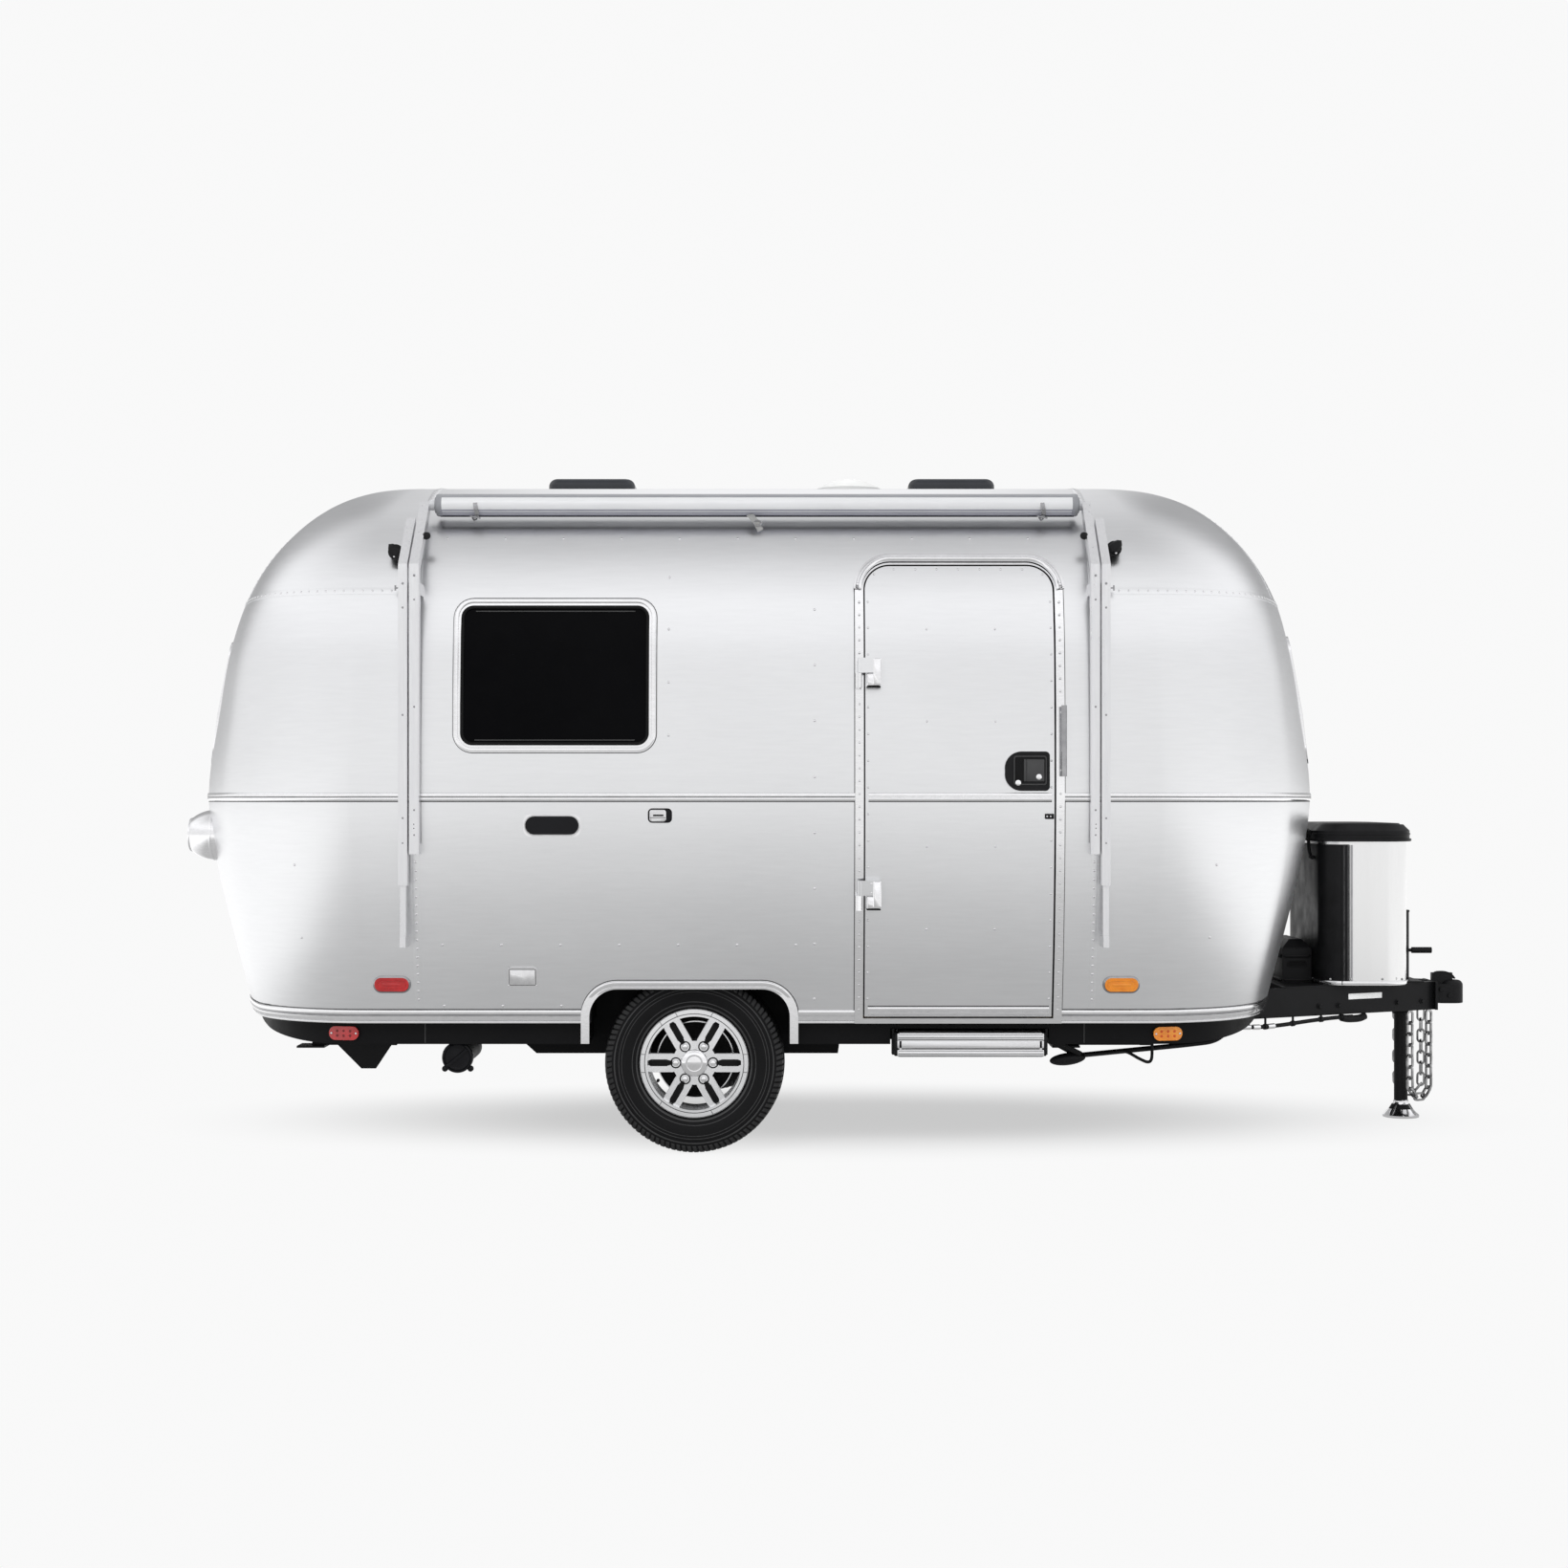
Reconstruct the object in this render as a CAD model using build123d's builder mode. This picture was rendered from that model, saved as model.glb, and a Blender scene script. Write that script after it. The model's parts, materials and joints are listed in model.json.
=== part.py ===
from build123d import *
import os
from math import atan2, cos, degrees, hypot, pi, radians, sin

os.makedirs("parts", exist_ok=True)

# Travel trailer with a riveted round-ended aluminium body, one axle and a door on the curb side.
# Millimetres. X points to the coupler, the curb side is -Y, Z is up from the ground, Y = 0 is the middle.

# Body shell: plan outlines stacked from the lower edge to the crown
REAR_SEAM = -1656.0
FRONT_SEAM = 892.0
SHELL_BASE = 505.0
BELT = 1364.0
CROWN = 2620.0
SHELL_WALL = 45.0
RUN_SHARE = 0.24
CORNER_SHARE = 0.62


def below_belt(share):
    """A height between the shell's lower edge and the belt, by its share of that rise."""
    return SHELL_BASE + share * (BELT - SHELL_BASE)


def above_belt(share):
    """A height between the belt and the crown, by its share of that rise."""
    return BELT + share * (CROWN - BELT)


WALL_TOP = above_belt(0.769)
CAP_SEAM = above_belt(0.61)
# height, half width, reach of the rear end and of the front end beyond their seams
BODY_SECTIONS = [
    (SHELL_BASE, 1112.0, 825.0, 843.0),
    (below_belt(0.343), 1168.0, 905.0, 922.0),
    (below_belt(0.693), 1205.0, 980.0, 997.0),
    (BELT, 1219.0, 1015.0, 1033.0),
    (above_belt(0.2675), 1214.0, 967.0, 992.0),
    (above_belt(0.49), 1192.0, 912.0, 940.0),
    (above_belt(0.6275), 1150.0, 851.0, 890.0),
    (above_belt(0.745), 1075.0, 765.0, 813.0),
    (above_belt(0.84), 968.0, 659.0, 714.0),
    (above_belt(0.92), 822.0, 528.0, 590.0),
    (above_belt(0.972), 650.0, 392.0, 450.0),
    (CROWN, 330.0, 145.0, 170.0),
]

# Floor and the black pan under it
FLOOR_THICK = 40.0
PAN_BOTTOM = 420.0
PAN_HALF_WIDTH = 1055.0
PAN_REAR_REACH = 801.0
PAN_FRONT_REACH = 819.0
PAN_CURL = 450.0

# Wheels, brakes and axle
AXLE_X = -616.0
TYRE_RADIUS = 346.0
TYRE_WIDTH = 225.0
TYRE_FACE = 1072.0
TYRE_CROWN_INSET = 14.0
TYRE_BULGE = 52.0
TYRE_SHOULDER = 12.0
RIM_WIDTH = 170.0
RIM_SEAT_RADIUS = 188.0
RIM_FLANGE_RADIUS = 208.0
RIM_FLANGE_THICK = 9.0
RIM_BARREL_THICK = 9.0
SPOKE_PAIRS = 6
SPOKE_WIDTH = 26.0
SPOKE_GAP = 17.0
SPOKE_THICK = 26.0
SPOKE_SETBACK = 22.0
HUB_RADIUS = 84.0
HUB_CAP_RADIUS = 46.0
HUB_CAP_PROUD = 12.0
HUB_CAP_BEVEL = 10.0
MOUNT_OFFSET = 10.0
DRUM_RADIUS = 150.0
DRUM_DEPTH = 58.0
DRUM_SETBACK = 54.0
DRUM_WALL = 12.0
DRUM_BOSS_RADIUS = 50.0
BACKING_THICK = 8.0
BACKING_GAP = 6.0
BACKING_LAP = 4.0
SPINDLE_RADIUS = 22.5
SPINDLE_CLEARANCE = 0.5
SPINDLE_SETBACK = 24.0
AXLE_TUBE = 76.0
TRAIL = 150.0
ARM_THICK = 30.0
ARM_HALF_HEIGHT = 32.0

# Wheel arches
ARCH_HALF_LENGTH = 379.0
ARCH_MIDDLE = -630.0
ARCH_TOP = 637.0
ARCH_RADIUS = 105.0
ARCH_TRIM = 32.0
ARCH_TRIM_FOOT = 431.0
ARCH_TRIM_BACK = 1096.0
ARCH_TRIM_PROUD = 4.0
WELL_INNER = 815.0
WELL_TOP = 790.0
WELL_WALL = 12.0

# Entry door
DOOR_LOW = 531.0
DOOR_HIGH = above_belt(0.697)
DOOR_REAR = 32.0
DOOR_FRONT = 741.0
DOOR_RADIUS = 95.0
DOOR_GAP = 6.0
DOOR_FRAME = 38.0
FRAME_PROUD = 10.0
HINGE_X = 10.0
HINGE_OUT = 1246.0
HINGE_RADIUS = 8.0
HINGE_PLATE = 5.0
HINGE_REACH = 89.0
HINGE_TALL = 112.0
HINGE_HEIGHTS = (below_belt(0.57), above_belt(0.3695))
HINGE_SEAT = 0.4
DOOR_LEAF_BACK = 1150.0
LATCH_BACK = 555.0
LATCH_FRONT = 723.0
LATCH_LOW = BELT + 23.0
LATCH_HIGH = BELT + 170.0
LATCH_PROUD = 9.0
LATCH_RADIUS = 62.0
LATCH_SQUARE_RADIUS = 16.0

# Windows: side, middle along the wall, width, lower edge and upper edge of the outer frame
WINDOW_BAND = 26.0
WINDOW_LAP = 11.0
WINDOW_RADIUS = 72.0
GLASS_THICK = 8.0
SIDE_WINDOWS = [
    ("curb", -1133.0, 760.0, above_belt(0.133), above_belt(0.595)),
    ("street", -1133.0, 760.0, above_belt(0.133), above_belt(0.595)),
    ("street", 330.0, 760.0, above_belt(0.133), above_belt(0.595)),
]
END_WINDOWS = [
    ("rear", 0.0, 900.0, above_belt(0.108), above_belt(0.506)),
    ("front", 0.0, 1000.0, above_belt(0.108), above_belt(0.522)),
]

# A-frame, coupler and jack
RAIL_TOP = 582.0
RAIL_TALL = 118.0
RAIL_THICK = 50.0
RAIL_ANGLE = 27.0
RAIL_FRONT = 2480.0
RAIL_FRONT_Y = 52.0
RAIL_LENGTH = 1150.0
TRAY_THICK = 6.0
TRAY_REAR = 1775.0
COUPLER_PLATE = 10.0
COUPLER_X = 2577.0
COUPLER_LOW = 488.0
COUPLER_HIGH = 584.0
COUPLER_RADIUS = 46.0
COUPLER_LATCH_HALF = 13.0
SOCKET_RADIUS = 25.7
SOCKET_DEPTH = 58.0
JACK_X = 2360.0
JACK_TUBE_RADIUS = 34.0
JACK_LEG_RADIUS = 28.5
JACK_CLEARANCE = 0.5
JACK_TUBE_LOW = 440.0
JACK_TUBE_HIGH = 880.0
JACK_LEG_HIGH = 500.0
JACK_FOOT_RADIUS = 75.0
JACK_FOOT_TALL = 9.0
JACK_NECK_TALL = 46.0
JACK_PLATE_HALF = 62.0
CRANK_HEIGHT = 710.0
CRANK_TIP = 2490.0
GRIP_LENGTH = 84.0
GRIP_RADIUS = 13.0
CRANK_RADIUS = 7.0

# Safety chains
CHAIN_WIRE = 8.0
CHAIN_LINK_INSIDE = 48.0
CHAIN_LINK_WIDE = 36.0
CHAIN_SLACK = 1.6
CHAIN_LINKS = 17
CHAIN_SPAN = 103.0
CHAIN_SETBACK = 20.0

# Gas bottles under a polished cover, and the battery box
COVER_REAR = 1948.0
COVER_FRONT = 2312.0
COVER_HALF_WIDTH = 360.0
COVER_RADIUS = 105.0
COVER_WALL = 8.0
COVER_TALL = 592.0
LID_TALL = 70.0
LID_OVERHANG = 14.0
LID_CHAMFER = 26.0
LID_SEAT = 0.4
LID_HINGES = (-180.0, 180.0)
LID_HINGE_WIDE = 60.0
LID_PIN_RADIUS = 4.5
BOTTLE_RADIUS = 152.0
BOTTLE_SPREAD = 168.0
BOTTLE_TALL = 440.0
BOTTLE_COLLAR_RADIUS = 95.0
BOTTLE_COLLAR_TALL = 90.0
BATTERY_FRONT = 1938.0
BATTERY_REAR = 1816.0
BATTERY_HALF_WIDTH = 180.0
BATTERY_TALL = 178.0

# Awning along the curb side
ROLLER_RADIUS = 42.0
ROLLER_REAR = -1599.0
ROLLER_FRONT = 846.0
ROLLER_OUT = 981.0
ROLLER_HEIGHT = above_belt(0.894)
ARM_OUT = 1248.0
ARM_DEPTH = 40.0
ARM_BEND = above_belt(0.6855)
ARM_LOWER_DEPTH = 22.0
ARM_OUTER_SHARE = 0.72
UPPER_BRACKET = (above_belt(0.602), above_belt(0.6375))
# rear edge and front edge of each channel, height of its foot, how far up the slope it goes
AWNING_ARMS = [
    (-1712.0, -1678.0, 1033.0, ARM_OUTER_SHARE),
    (-1671.0, -1635.0, 1190.0, 1.0),
    (872.0, 905.0, 1190.0, 1.0),
    (912.0, 945.0, 1033.0, ARM_OUTER_SHARE),
]
# rear edge, front edge, low and high of the slimmer tube under each outer channel
AWNING_TUBES = [(-1706.0, -1684.0, 842.0, 1033.0), (918.0, 940.0, 842.0, 1033.0)]
FOOT_BRACKET_TALL = 40.0

# Roof: middle along the body of each opening vent, and the round unit between them
VENTS = {"rear": -1081.0, "front": 431.0}
VENT_WIDE = 344.0
VENT_BASE_TOP = CROWN + 34.0
VENT_LID_TALL = 47.0
VENT_LID_OVERHANG = 9.0
VENT_LID_EDGE = 32.0
ROOF_UNIT_X = 2.0
ROOF_UNIT_RADIUS = 144.0
ROOF_UNIT_TOP = CROWN + 97.0
ROOF_UNIT_EDGE = CROWN + 52.0

# Entry step under the door
STEP_REAR = 165.0
STEP_FRONT = 706.0
STEP_EDGE = 1112.0
STEP_DEPTH = 225.0
STEP_UPPER = (438.0, 468.0)
STEP_LOWER = (376.0, 406.0)
STEP_CHEEK = 8.0
STEP_GAP = 5.0
STEP_PIVOT_OUT = 1040.0
STEP_PIVOT_Z = 396.0
STEP_ARM = 150.0
STEP_ARM_HALF = 15.0
STEP_PIN_RADIUS = 7.0
STEP_RECESS_TOP = 480.0
STEP_RECESS_SIDE = 32.0
PIN_CLEARANCE = 0.4

# Folding corner legs: pivot along the body, and how far from the middle
LEG_PIVOTS = {
    "rear_curb": (-1836.0, -1),
    "rear_street": (-1836.0, 1),
    "front_curb": (1166.0, -1),
    "front_street": (1166.0, 1),
}
LEG_OUT = 640.0
LEG_PIVOT_Z = 392.0
LEG_LENGTH = 318.0
LEG_WIDE = 44.0
LEG_TALL = 34.0
LEG_PAD = 110.0
LEG_PAD_THICK = 8.0
LEG_CHEEK = 6.0
LEG_GAP = 5.0
LEG_PIN_RADIUS = 7.0

# Underside fittings on the curb side
DRAIN_X = -1524.0
DRAIN_Z = 366.0
DRAIN_RADIUS = 54.0
DRAIN_OUT = 1020.0
GUARD_REAR = -2044.0
GUARD_FRONT = -1823.0
GUARD_LOW = 289.0
GUARD_OUT = 720.0
GUARD_THICK = 8.0

# Lamps: middle along the body, middle height, width, height, red or amber
MARKER_PROUD = 16.0
MARKER_ROUND = 0.48
SIDE_MARKERS = [(-1755.0, 655.0, 129.0, 52.0, "red"), (1002.0, 654.0, 126.0, 52.0, "amber")]
PAN_MARKERS = [(-1954.0, 462.0, 117.0, 52.0, "red"), (1193.0, 460.0, 113.0, 52.0, "amber")]
TAIL_Y = 520.0
TAIL_Z = 1211.0
TAIL_RADIUS = 101.0
TAIL_FACE_RADIUS = 66.0
TAIL_LENS_RADIUS = 61.0
TAIL_TIP = -2680.0
TAIL_LENS = 14.0
TAIL_WAIST = -2572.0

# Fittings on the curb wall
BADGE_DROP = 107.0
INLET_DROP = 70.0
BADGE = (-1143.0, BELT - BADGE_DROP, 215.0, 83.0)
INLET = (-738.0, BELT - INLET_DROP, 93.0, 57.0)
HATCH = (-1261.0, 683.0, 117.0, 77.0)
FITTING_PROUD = 6.0
FITTING_ROUND = 0.3
GRAB_X = 772.0
GRAB_LOW = above_belt(0.0613)
GRAB_HIGH = above_belt(0.2723)
GRAB_RADIUS = 10.0
GRAB_STAND = 46.0
GRAB_FOOT_RADIUS = 8.0
SCENE_LAMPS = [(-1742.0, above_belt(0.738)), (977.0, above_belt(0.749))]
SCENE_LAMP_RADIUS = 29.0
SCENE_LAMP_LONG = 60.0


def block(x, y, z, mode=Mode.ADD):
    """A block between pairs of low and high values along each axis."""
    with Locations(((x[0] + x[1]) / 2, (y[0] + y[1]) / 2, (z[0] + z[1]) / 2)):
        Box(x[1] - x[0], y[1] - y[0], z[1] - z[0], mode=mode)


def rod(start, end, radius, mode=Mode.ADD):
    """A round bar from one point to another."""
    run = Vector(*end) - Vector(*start)
    with BuildSketch(Plane(origin=start, z_dir=run)) as ring:
        Circle(radius)
    extrude(ring.sketch, amount=run.length, mode=mode)


def save(piece, name):
    """Label a finished piece and write it."""
    piece.part.label = name
    export_step(piece.part, f"parts/{name}.step")


def round_end(seam, sense, half_width, reach):
    """Points of one round end: corner arc, end arc, corner arc, from the curb to the street side.

    The straight sides run on past the seam before the corners begin.
    """
    corner = CORNER_SHARE * reach
    start = seam + sense * RUN_SHARE * reach
    far = reach - RUN_SHARE * reach
    side = half_width - corner
    end_radius = (far**2 + side**2 - corner**2) / (2 * (far - corner))
    turn = atan2(side, end_radius - far)
    bend = (turn + pi / 2) / 2
    meet = (start + sense * corner * cos(turn), side + corner * sin(turn))
    middle = (start + sense * corner * cos(bend), side + corner * sin(bend))
    tip = (seam + sense * reach, 0.0)
    return [
        (start, -half_width),
        (middle[0], -middle[1]),
        (meet[0], -meet[1]),
        tip,
        meet,
        middle,
        (start, half_width),
    ]


def plan_outline(height, half_width, rear_reach, front_reach):
    """The body's plan outline at one height: two straight sides and two round ends."""
    front = round_end(FRONT_SEAM, 1, half_width, front_reach)
    rear = round_end(REAR_SEAM, -1, half_width, rear_reach)
    with BuildSketch(Plane.XY.offset(height)) as outline:
        with BuildLine():
            Line(rear[0], front[0])
            for first in (0, 2, 4):
                ThreePointArc(*front[first : first + 3])
            Line(front[6], rear[6])
            for last in (6, 4, 2):
                ThreePointArc(rear[last], rear[last - 1], rear[last - 2])
        make_face()
    return outline.sketch


def body_half_width(height):
    """Half width of the outer body at a height between two of its sections."""
    for below, above in zip(BODY_SECTIONS, BODY_SECTIONS[1:]):
        if height <= above[0]:
            share = (height - below[0]) / (above[0] - below[0])
            return below[1] + share * (above[1] - below[1])
    return BODY_SECTIONS[-1][1]


def side_prism(sense, x, z, radius, foot=0.0, mode=Mode.ADD):
    """A rounded rectangle seen from the side, pulled out through one wall, with an optional square foot.

    The sense is -1 on the curb side and 1 on the street side.
    """
    with BuildSketch(Plane.XZ.offset(-sense * SIDE_CUT_FROM)) as face:
        with Locations(((x[0] + x[1]) / 2, (z[0] + z[1]) / 2)):
            RectangleRounded(x[1] - x[0], z[1] - z[0], radius)
        if foot:
            with Locations(((x[0] + x[1]) / 2, z[0] + foot / 2)):
                Rectangle(x[1] - x[0], foot)
    extrude(face.sketch, amount=-sense * SIDE_CUT_LENGTH, mode=mode)


def end_prism(seam, sense, y, z, radius, mode=Mode.ADD):
    """A rounded rectangle seen from an end, pulled out through that round end."""
    with BuildSketch(Plane.YZ.offset(seam + sense * END_CUT_FROM)) as face:
        with Locations(((y[0] + y[1]) / 2, (z[0] + z[1]) / 2)):
            RectangleRounded(y[1] - y[0], z[1] - z[0], radius)
    extrude(face.sketch, amount=sense * END_CUT_LENGTH, mode=mode)


def grown(pair, by):
    """A low and high pair spread by an amount at both ends."""
    return (pair[0] - by, pair[1] + by)


def around(middle, size):
    """The low and high pair of a size about its middle."""
    return (middle - size / 2, middle + size / 2)


def body_form(grow):
    """The solid body with its sides and ends grown outwards by an amount, or shrunk by a negative one."""
    with BuildPart() as form:
        loft([plan_outline(height, half_width + grow, rear_reach + grow, front_reach + grow)
              for height, half_width, rear_reach, front_reach in BODY_SECTIONS], ruled=True)
    return form.part


def window_prisms(shrink, mode=Mode.ADD):
    """Every window's outline, drawn in from the frame's outer edge, pulled through its wall."""
    for side, middle, width, low, high in SIDE_WINDOWS:
        sense = -1 if side == "curb" else 1
        z = grown((low, high), -shrink)
        side_prism(sense, grown(around(middle, width), -shrink), z, WINDOW_RADIUS - shrink, mode=mode)
    for end, middle, width, low, high in END_WINDOWS:
        seam, sense = (REAR_SEAM, -1) if end == "rear" else (FRONT_SEAM, 1)
        z = grown((low, high), -shrink)
        end_prism(seam, sense, grown(around(middle, width), -shrink), z, WINDOW_RADIUS - shrink, mode=mode)


def arch_prisms(grow, mode=Mode.ADD):
    """Both wheel arch openings, grown by an amount, pulled through the walls."""
    for sense in (-1, 1):
        x = grown((ARCH_MIDDLE - ARCH_HALF_LENGTH, ARCH_MIDDLE + ARCH_HALF_LENGTH), grow)
        side_prism(sense, x, (0.0, ARCH_TOP + grow), ARCH_RADIUS + grow, ARCH_TOP / 2, mode)


def door_prism(grow, mode=Mode.ADD):
    """The door's outline, grown by an amount, pulled through the curb wall, square at its foot."""
    x = grown((DOOR_REAR, DOOR_FRONT), grow)
    z = grown((DOOR_LOW, DOOR_HIGH), grow)
    side_prism(-1, x, z, DOOR_RADIUS + grow, DOOR_HIGH - DOOR_LOW - DOOR_RADIUS, mode)


# Far enough to pass every wall
SIDE_CUT_FROM = 700.0
SIDE_CUT_LENGTH = 800.0
END_CUT_FROM = 450.0
END_CUT_LENGTH = 800.0
ALL_X = (-4000.0, 4000.0)
ALL_Y = (-2000.0, 2000.0)
CURB = (-2000.0, 0.0)
STREET = (0.0, 2000.0)

# The forms of the body that its panels and fittings are cut from
outer = body_form(0.0)
glass_back = body_form(-GLASS_THICK)
frame_form = body_form(FRAME_PROUD)
latch_form = body_form(LATCH_PROUD)
fitting_form = body_form(FITTING_PROUD)
marker_form = body_form(MARKER_PROUD)

ROOF_SHRINK = (CROWN - SHELL_WALL - BELT) / (CROWN - BELT)
INNER_SECTIONS = [
    (min(height, BELT + (height - BELT) * ROOF_SHRINK), half_width - SHELL_WALL,
     rear_reach - SHELL_WALL, front_reach - SHELL_WALL)
    for height, half_width, rear_reach, front_reach in BODY_SECTIONS
]
with BuildPart() as inner:
    loft([plan_outline(*section) for section in INNER_SECTIONS], ruled=True)

with BuildPart() as shell:
    add(outer)
    add(inner.part, mode=Mode.SUBTRACT)

# Shell panels: name, span along X, span across Y, span in height
MIDDLE_X = (REAR_SEAM, FRONT_SEAM)
REAR_X = (ALL_X[0], REAR_SEAM)
FRONT_X = (FRONT_SEAM, ALL_X[1])
PANELS = [
    ("wall_curb", MIDDLE_X, CURB, (SHELL_BASE, WALL_TOP)),
    ("wall_street", MIDDLE_X, STREET, (SHELL_BASE, WALL_TOP)),
    ("roof_middle", MIDDLE_X, ALL_Y, (WALL_TOP, CROWN + SHELL_WALL)),
    ("rear_wall", REAR_X, ALL_Y, (SHELL_BASE, CAP_SEAM)),
    ("rear_cap", REAR_X, ALL_Y, (CAP_SEAM, CROWN + SHELL_WALL)),
    ("front_wall", FRONT_X, ALL_Y, (SHELL_BASE, CAP_SEAM)),
    ("front_cap", FRONT_X, ALL_Y, (CAP_SEAM, CROWN + SHELL_WALL)),
]
with BuildPart() as cut_shell:
    add(shell.part)
    window_prisms(WINDOW_BAND - WINDOW_LAP, Mode.SUBTRACT)
    arch_prisms(0.0, Mode.SUBTRACT)
    door_prism(DOOR_GAP, Mode.SUBTRACT)

for name, x, y, z in PANELS:
    with BuildPart() as panel:
        add(cut_shell.part)
        block(x, y, z, Mode.INTERSECT)
    save(panel, name)

# Window glass fills the openings, and the frames lap over its edge
with BuildPart() as window_glass:
    window_prisms(WINDOW_BAND - WINDOW_LAP)
    add(outer, mode=Mode.INTERSECT)
    add(glass_back, mode=Mode.SUBTRACT)
save(window_glass, "window_glass")

with BuildPart() as window_frames:
    window_prisms(0.0)
    window_prisms(WINDOW_BAND, Mode.SUBTRACT)
    add(frame_form, mode=Mode.INTERSECT)
    add(outer, mode=Mode.SUBTRACT)
save(window_frames, "window_frames")

# Entry door: the slab with its hinge leaves, and the frame with the fixed knuckles
with BuildPart() as door_leaves:
    for height in HINGE_HEIGHTS:
        z = (height, height + HINGE_TALL / 2)
        block((DOOR_REAR, HINGE_REACH), (-HINGE_OUT - HINGE_PLATE, -DOOR_LEAF_BACK), z)
        block((HINGE_X, DOOR_REAR), grown((-HINGE_OUT, -HINGE_OUT), HINGE_PLATE), z)
        rod((HINGE_X, -HINGE_OUT, z[0] + HINGE_SEAT), (HINGE_X, -HINGE_OUT, z[1]), HINGE_RADIUS)
    add(outer, mode=Mode.SUBTRACT)

with BuildPart() as door_panel:
    door_prism(0.0)
    add(outer, mode=Mode.INTERSECT)
    add(inner.part, mode=Mode.SUBTRACT)
    add(door_leaves.part)
save(door_panel, "door_panel")

with BuildPart() as frame_knuckles:
    for height in HINGE_HEIGHTS:
        z = (height - HINGE_TALL / 2, height - HINGE_SEAT)
        block((DOOR_REAR - DOOR_FRAME, HINGE_X), (-HINGE_OUT, -DOOR_LEAF_BACK), z)
        rod((HINGE_X, -HINGE_OUT, z[0]), (HINGE_X, -HINGE_OUT, z[1]), HINGE_RADIUS)
    add(frame_form, mode=Mode.SUBTRACT)

with BuildPart() as door_frame:
    door_prism(DOOR_FRAME)
    door_prism(DOOR_GAP, Mode.SUBTRACT)
    add(frame_form, mode=Mode.INTERSECT)
    add(outer, mode=Mode.SUBTRACT)
    add(frame_knuckles.part)
save(door_frame, "door_frame")

ARCH_TRIM_OUT = body_half_width(ARCH_TOP + ARCH_TRIM) + ARCH_TRIM_PROUD
with BuildPart() as arch_trims:
    arch_prisms(ARCH_TRIM)
    arch_prisms(0.0, Mode.SUBTRACT)
    block(ALL_X, (-ARCH_TRIM_OUT, ARCH_TRIM_OUT), (ARCH_TRIM_FOOT, ARCH_TOP + ARCH_TRIM), Mode.INTERSECT)
    block(ALL_X, (-ARCH_TRIM_BACK, ARCH_TRIM_BACK), (ARCH_TRIM_FOOT, ARCH_TOP + ARCH_TRIM), Mode.SUBTRACT)
    add(outer, mode=Mode.SUBTRACT)
save(arch_trims, "arch_trims")

# Floor, wheel wells and the pan under them
WELL_X = (ARCH_MIDDLE - ARCH_HALF_LENGTH, ARCH_MIDDLE + ARCH_HALF_LENGTH)
WELL_SIDES = [(-ARCH_TRIM_OUT, -WELL_INNER), (WELL_INNER, ARCH_TRIM_OUT)]


def well_blocks(grow, top, mode=Mode.ADD):
    """Both wheel wells as blocks that reach out through the walls."""
    for low, high in WELL_SIDES:
        y = (low, high + grow) if low < 0 else (low - grow, high)
        block(grown(WELL_X, grow), y, (0.0, top), mode)


with BuildPart() as floor:
    add(inner.part)
    block(ALL_X, ALL_Y, (SHELL_BASE, SHELL_BASE + FLOOR_THICK), Mode.INTERSECT)
    well_blocks(WELL_WALL, WELL_TOP + WELL_WALL, Mode.SUBTRACT)
save(floor, "floor")

with BuildPart() as wheel_wells:
    well_blocks(WELL_WALL, WELL_TOP + WELL_WALL)
    add(inner.part, mode=Mode.INTERSECT)
    well_blocks(0.0, WELL_TOP, Mode.SUBTRACT)
save(wheel_wells, "wheel_wells")

PAN_REAR = REAR_SEAM - PAN_REAR_REACH
PAN_FRONT = FRONT_SEAM + PAN_FRONT_REACH
with BuildPart() as belly_pan:
    extrude(plan_outline(PAN_BOTTOM, PAN_HALF_WIDTH, PAN_REAR_REACH, PAN_FRONT_REACH),
            amount=SHELL_BASE - PAN_BOTTOM)
    with BuildSketch(Plane.XZ) as curl:
        with BuildLine():
            Line((PAN_REAR, SHELL_BASE), (PAN_FRONT, SHELL_BASE))
            TangentArc((PAN_FRONT - PAN_CURL, PAN_BOTTOM), (PAN_FRONT, SHELL_BASE), tangent=(1, 0))
            Line((PAN_FRONT - PAN_CURL, PAN_BOTTOM), (PAN_REAR + PAN_CURL, PAN_BOTTOM))
            TangentArc((PAN_REAR + PAN_CURL, PAN_BOTTOM), (PAN_REAR, SHELL_BASE), tangent=(-1, 0))
        make_face()
    extrude(curl.sketch, amount=ALL_Y[1], both=True, mode=Mode.INTERSECT)
    well_blocks(WELL_WALL, WELL_TOP, Mode.SUBTRACT)
    block(grown((STEP_REAR, STEP_FRONT), STEP_RECESS_SIDE),
          (-PAN_HALF_WIDTH, STEP_DEPTH - STEP_EDGE + 2 * STEP_GAP),
          (PAN_BOTTOM, STEP_RECESS_TOP), Mode.SUBTRACT)
save(belly_pan, "belly_pan")

# Wheels: the curb one is modelled and mirrored
WHEEL_Y = TYRE_FACE - TYRE_WIDTH / 2
AXLE = Axis((AXLE_X, 0, TYRE_RADIUS), (0, 1, 0))
RIM_FACE = WHEEL_Y + RIM_WIDTH / 2 + RIM_FLANGE_THICK
SPOKE_FACE = RIM_FACE - SPOKE_SETBACK
MOUNT_FACE = WHEEL_Y + MOUNT_OFFSET
DRUM_FACE = MOUNT_FACE - DRUM_SETBACK
DRUM_BACK = DRUM_FACE - DRUM_DEPTH


def turned(points, mode=Mode.ADD):
    """A round piece about the axle from (distance from the middle, radius) corners."""
    with BuildSketch(Plane.YZ.offset(AXLE_X)) as profile:
        with BuildLine():
            Polyline([(-out, TYRE_RADIUS + radius) for out, radius in points], close=True)
        make_face()
    revolve(profile.sketch, axis=AXLE, mode=mode)


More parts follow.
